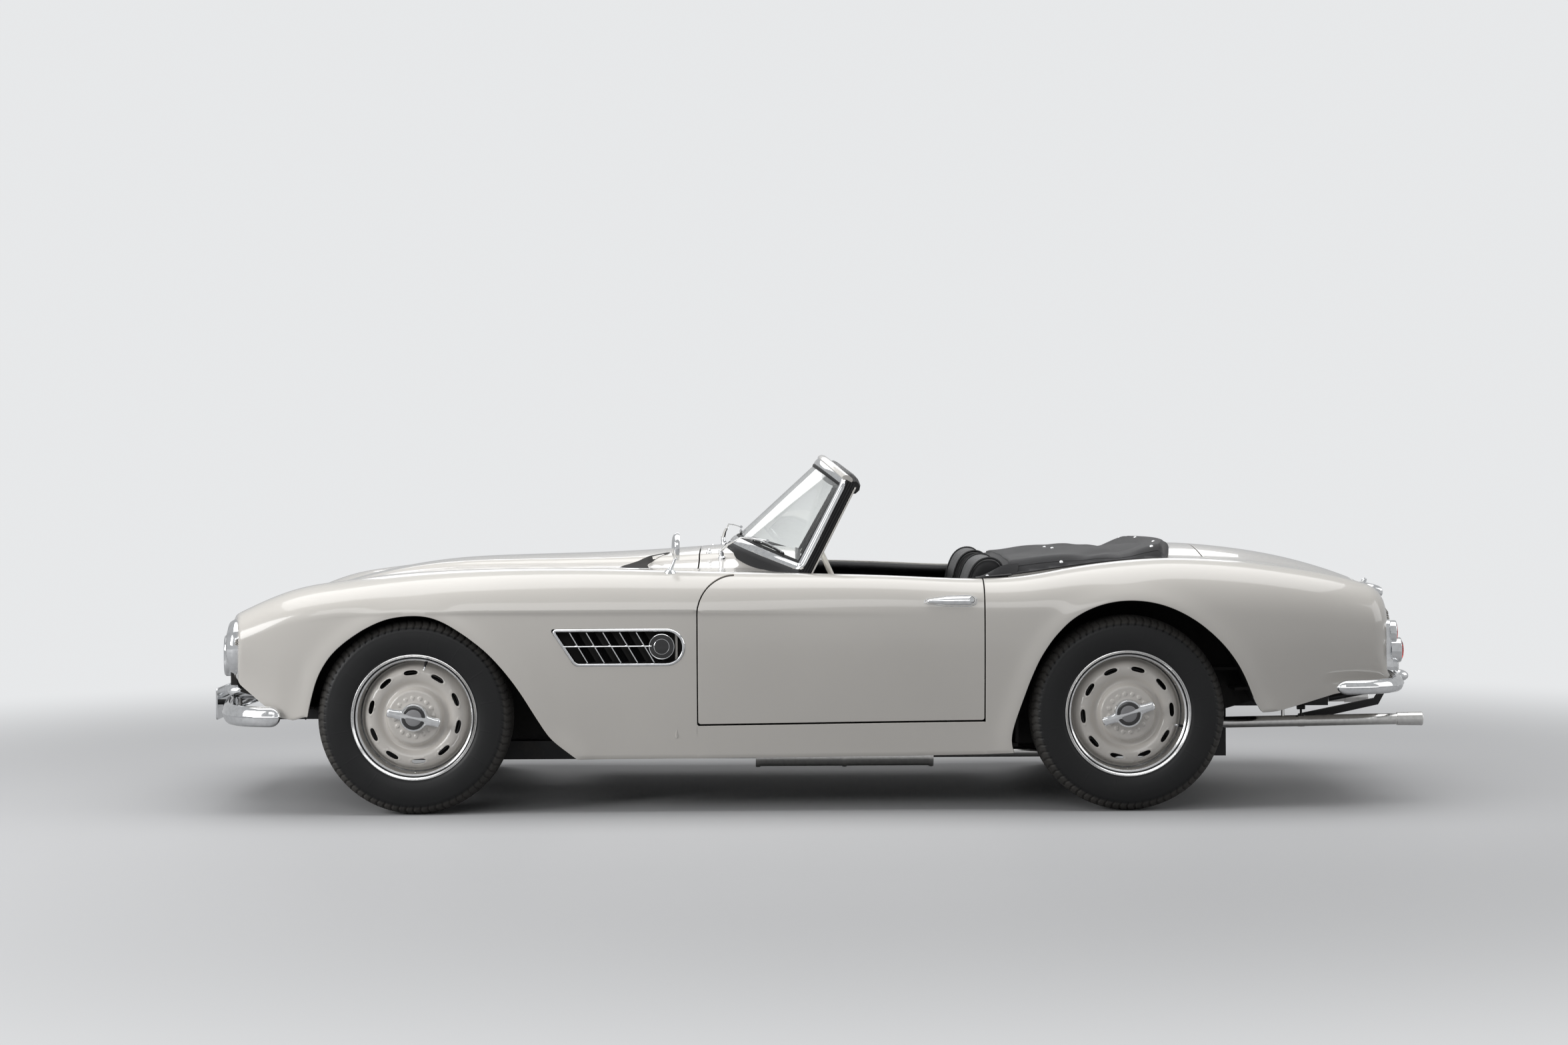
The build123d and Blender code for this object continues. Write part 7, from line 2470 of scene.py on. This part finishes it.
# ---------------------------------------------------------------- floor and controls
def interior():
    """Carpets, tunnel cover, bulkhead trim, gear lever, handbrake and pedals."""
    trim = Build("carpet", "black_leather", "chrome", "ivory_plastic", "seal_rubber", "black_enamel")
    for side in (-1, 1):
        y0, y1 = side * 148, side * 690
        line = rounded([(985, y0), (985, y1), (1950, y1), (1950, y0)], 24, 8.0)
        trim.loft([[at(d, y, 230.4 + h) for d, y in ring_out(line, g)]
                   for g, h in ((0, 0), (0, 7), (-3, 10))], "carpet")
        for k in range(7):
            x = side * SEAT_Y - 78 + 26 * k
            trim.tube([at(1130, x, 241), at(1400, x, 241)], 0.0045, 8, "seal_rubber", flat=0.7)
        wall = rounded([(side * 150, 236), (side * 655, 236), (side * 655, 640), (side * 150, 640)], 20, 10.0)
        trim.loft([[at(977 + h, y, z) for y, z in ring_out(wall, g)] for g, h in ((0, 0), (0, 6), (-4, 9))],
                  "carpet")
    hump = [(-147, 230), (-147, 460), (-140, 490), (-118, 507), (-60, 512), (60, 512), (118, 507),
                (140, 490), (147, 460), (147, 230)]
    rings = [[at(d, y * (1 - 0.02 * sin(k)), z + rise) for y, z in hump]
             for k, (d, rise) in enumerate(((980, 40), (1100, 34), (1250, 12), (1400, 0), (1700, 0),
                                            (1935, 0), (2088, 0)))]
    trim.loft(rings, "carpet")
    trim.loft([[at(d, y, z) for y, z in rounded([(-654, 236), (654, 236), (654, 782), (-654, 782)], 30, 12.0)]
               for d in (2082, 2091)], "black_leather")
    for y in (-640, 640):
        rings = [[at(d, y + w, z) for d, z in ((985, 240), (1325, 240), (1325, 665), (985, 665))]
                 for w in (-5, 5)]
        trim.loft(rings, "black_leather")
    gaiter = at(1420, -10, 512)
    trim.lathe([(0, 0), (0.058, 0.0), (0.054, 0.01), (0.046, 0.014), (0.044, 0.022), (0.034, 0.026),
                (0.032, 0.034), (0.02, 0.04), (0.012, 0.052), (0, 0.054)], gaiter, (0.05, 0, 1), 40,
               "black_leather")
    trim.tube([gaiter + Vector(step) for step in ((0, 0, 0.04), (0.004, 0, 0.1), (-0.006, 0, 0.185))],
              [0.007, 0.0062, 0.0052], 14, "chrome")
    trim.lathe([(0, -0.02), (0.011, -0.018), (0.0195, -0.006), (0.0205, 0.006), (0.015, 0.018), (0, 0.023)],
               gaiter + Vector((-0.007, 0, 0.202)), (-0.05, 0, 1), 28, "ivory_plastic")
    trim.tube([at(1560, -95, 512), at(1600, -95, 520), at(1740, -92, 560)], [0.01, 0.0085, 0.0075], 14,
              "chrome")
    trim.tube([at(1715, -92, 553), at(1800, -92, 577)], [0.0125, 0.014], 16, "black_enamel")
    for y, wide in ((-455, 24), (-375, 24), (-300, 17)):
        trim.tube([at(1000, y, 560), at(1030, y, 470), at(1062, y, 392)], 0.0075, 10, "black_enamel")
        pad = rounded([(-wide, -30), (wide, -30), (wide, 30), (-wide, 30)], 7, 3.0)
        trim.loft([[at(1058 + 0.3 * b + h, y + a, 385 + b) for a, b in ring_out(pad, g)]
                   for g, h in ((0, 0), (0, 7), (-2, 9))], "seal_rubber")
    trim.done("cabin_trim", "body", "black_cloth", sharp=40)


for side_name, side in SIDES.items():
    seat(side_name, side)
roof_cover()
dashboard()
steering_wheel()
tub()
interior()


# ---------------------------------------------------------------- underneath
def pipes():
    """Flared ends, clamps and hangers on the twin tailpipes, and bands on the silencers."""
    for name, side in SIDES.items():
        y = side * 462
        band = Build("exhaust_steel", "black_steel", "seal_rubber")
        end = WHEELBASE * 1000 + 1094
        band.lathe([(0.0205, -0.07), (0.0238, -0.05), (0.0242, -0.01), (0.0248, -0.002), (0.024, 0.0),
                    (0.0222, -0.002), (0.0216, -0.06), (0.0, -0.062), (0.0, -0.066), (0.02, -0.068)],
                   at(end, y, 286), (1, 0, 0), 48, "exhaust_steel")
        hanger = 3140
        for d, radius, z in ((hanger, 0.0205, 281.6), (1190, 0.0385, 166), (1500, 0.0388, 166),
                             (1810, 0.0385, 166)):
            wide = 0.012 if radius < 0.03 else 0.008
            band.lathe([(radius * 0.98, -wide), (radius * 1.06, -wide), (radius * 1.09, 0),
                        (radius * 1.06, wide), (radius * 0.98, wide)], at(d, y, z), (1, 0, 0), 40,
                       "exhaust_steel", closed=True)
        band.tube([at(hanger, y, 300), at(hanger, y, 326)], 0.0042, 12, "black_steel")
        band.tube([at(hanger - 14, y, 330), at(hanger + 14, y, 330)], 0.009, 14, "seal_rubber")
        band.tube([at(hanger, y, 334), at(hanger, y, 380), at(hanger, side * 400, 384)], 0.005, 12,
                  "black_steel")
        band.done(f"tailpipe_{name}", "body", "exhaust_steel", sharp=35)


def undersides():
    """Black inner panels behind the nose and the tail, and diagonal stays to the rear bumper."""
    under = Build("underseal", "black_steel")
    stay = ((3150, 296), (3425, 352), (3462, 408), (3470, 392), (3436, 330), (3150, 268))
    tail = ((2880, 402), (3250, 424), (3380, 436), (3380, 442), (3250, 434), (2880, 412))
    chin = ((-640, 416), (-430, 356), (-380, 356), (-380, 362), (-428, 364), (-640, 424))
    nose = ((-700, 430), (-676, 430), (-676, 640), (-700, 640))
    wide = (-600, -300, 300, 600)
    for shape, breadths, material in ((stay, (-352, -378), "black_steel"), (stay, (352, 378), "black_steel"),
                                      (tail, wide, "underseal"), (chin, wide, "underseal"),
                                      (nose, (-470, -235, 235, 470), "underseal")):
        under.loft([[at(d, y, z) for d, z in shape] for y in breadths], material)
    under.done("inner_panels", "body", "underseal", sharp=35)


pipes()
undersides()


# ---------------------------------------------------------------- finishes of the frame pieces that stay
STAYING = {
    "chassis_frame": "black_steel", "engine_block": "cast_alloy", "front_suspension": "black_steel",
    "rear_axle": "black_steel", "knuckle_left": "cast_alloy", "knuckle_right": "cast_alloy",
    "exhaust_left": "exhaust_steel", "exhaust_right": "exhaust_steel", "steering_column": "black_enamel",
}
for node_name, finish_name in STAYING.items():
    node_mesh = frame["nodes"][node_name].data
    node_mesh.materials.clear()
    node_mesh.materials.append(M[finish_name])


# ---------------------------------------------------------------- floor
def floor():
    """A pale floor with the car's shadow, which fades into the backdrop far out; in the light it throws back
    and in reflections it is darker, as painted shade on the car's lower body.
    """
    size = 60.0
    mesh = raw_mesh("floor", [(-size, -size, 0), (size, -size, 0), (size, size, 0), (-size, size, 0)],
                    [(0, 1, 2, 3)])
    ground = linked("floor", mesh)
    finish = Finish("floor_pale_shading_car", Roughness=0.55, Specular_IOR_Level=0.25)
    tree = finish.tree
    glow = finish.add("Emission", inputs={"Color": BACKDROP, "Strength": 1.0})
    far = finish.add("VectorMath", {"operation": "LENGTH"}, {0: finish.place()}, output=1)
    path = tree.nodes.new("ShaderNodeLightPath")
    # painted shade: the floor is pale (0.66) only where the camera sees it; in the light it throws onto the
    # car it is dark (0.26), and half dark in reflections, which darkens the car's lower body
    finish.set(Base_Color=finish.blend(seen_directly(tree, path), (0.26, 0.26, 0.265), (0.66, 0.665, 0.675)))
    mix = finish.add("MixShader", inputs={0: far.step(2.7, 6.0) * seen_directly(tree, path), 2: glow})
    tree.links.new(finish.shader.outputs[0], mix.socket.node.inputs[1])
    tree.links.new(mix.socket, tree.nodes["Material Output"].inputs["Surface"])
    mesh.materials.append(finish.material)


floor()
studio()
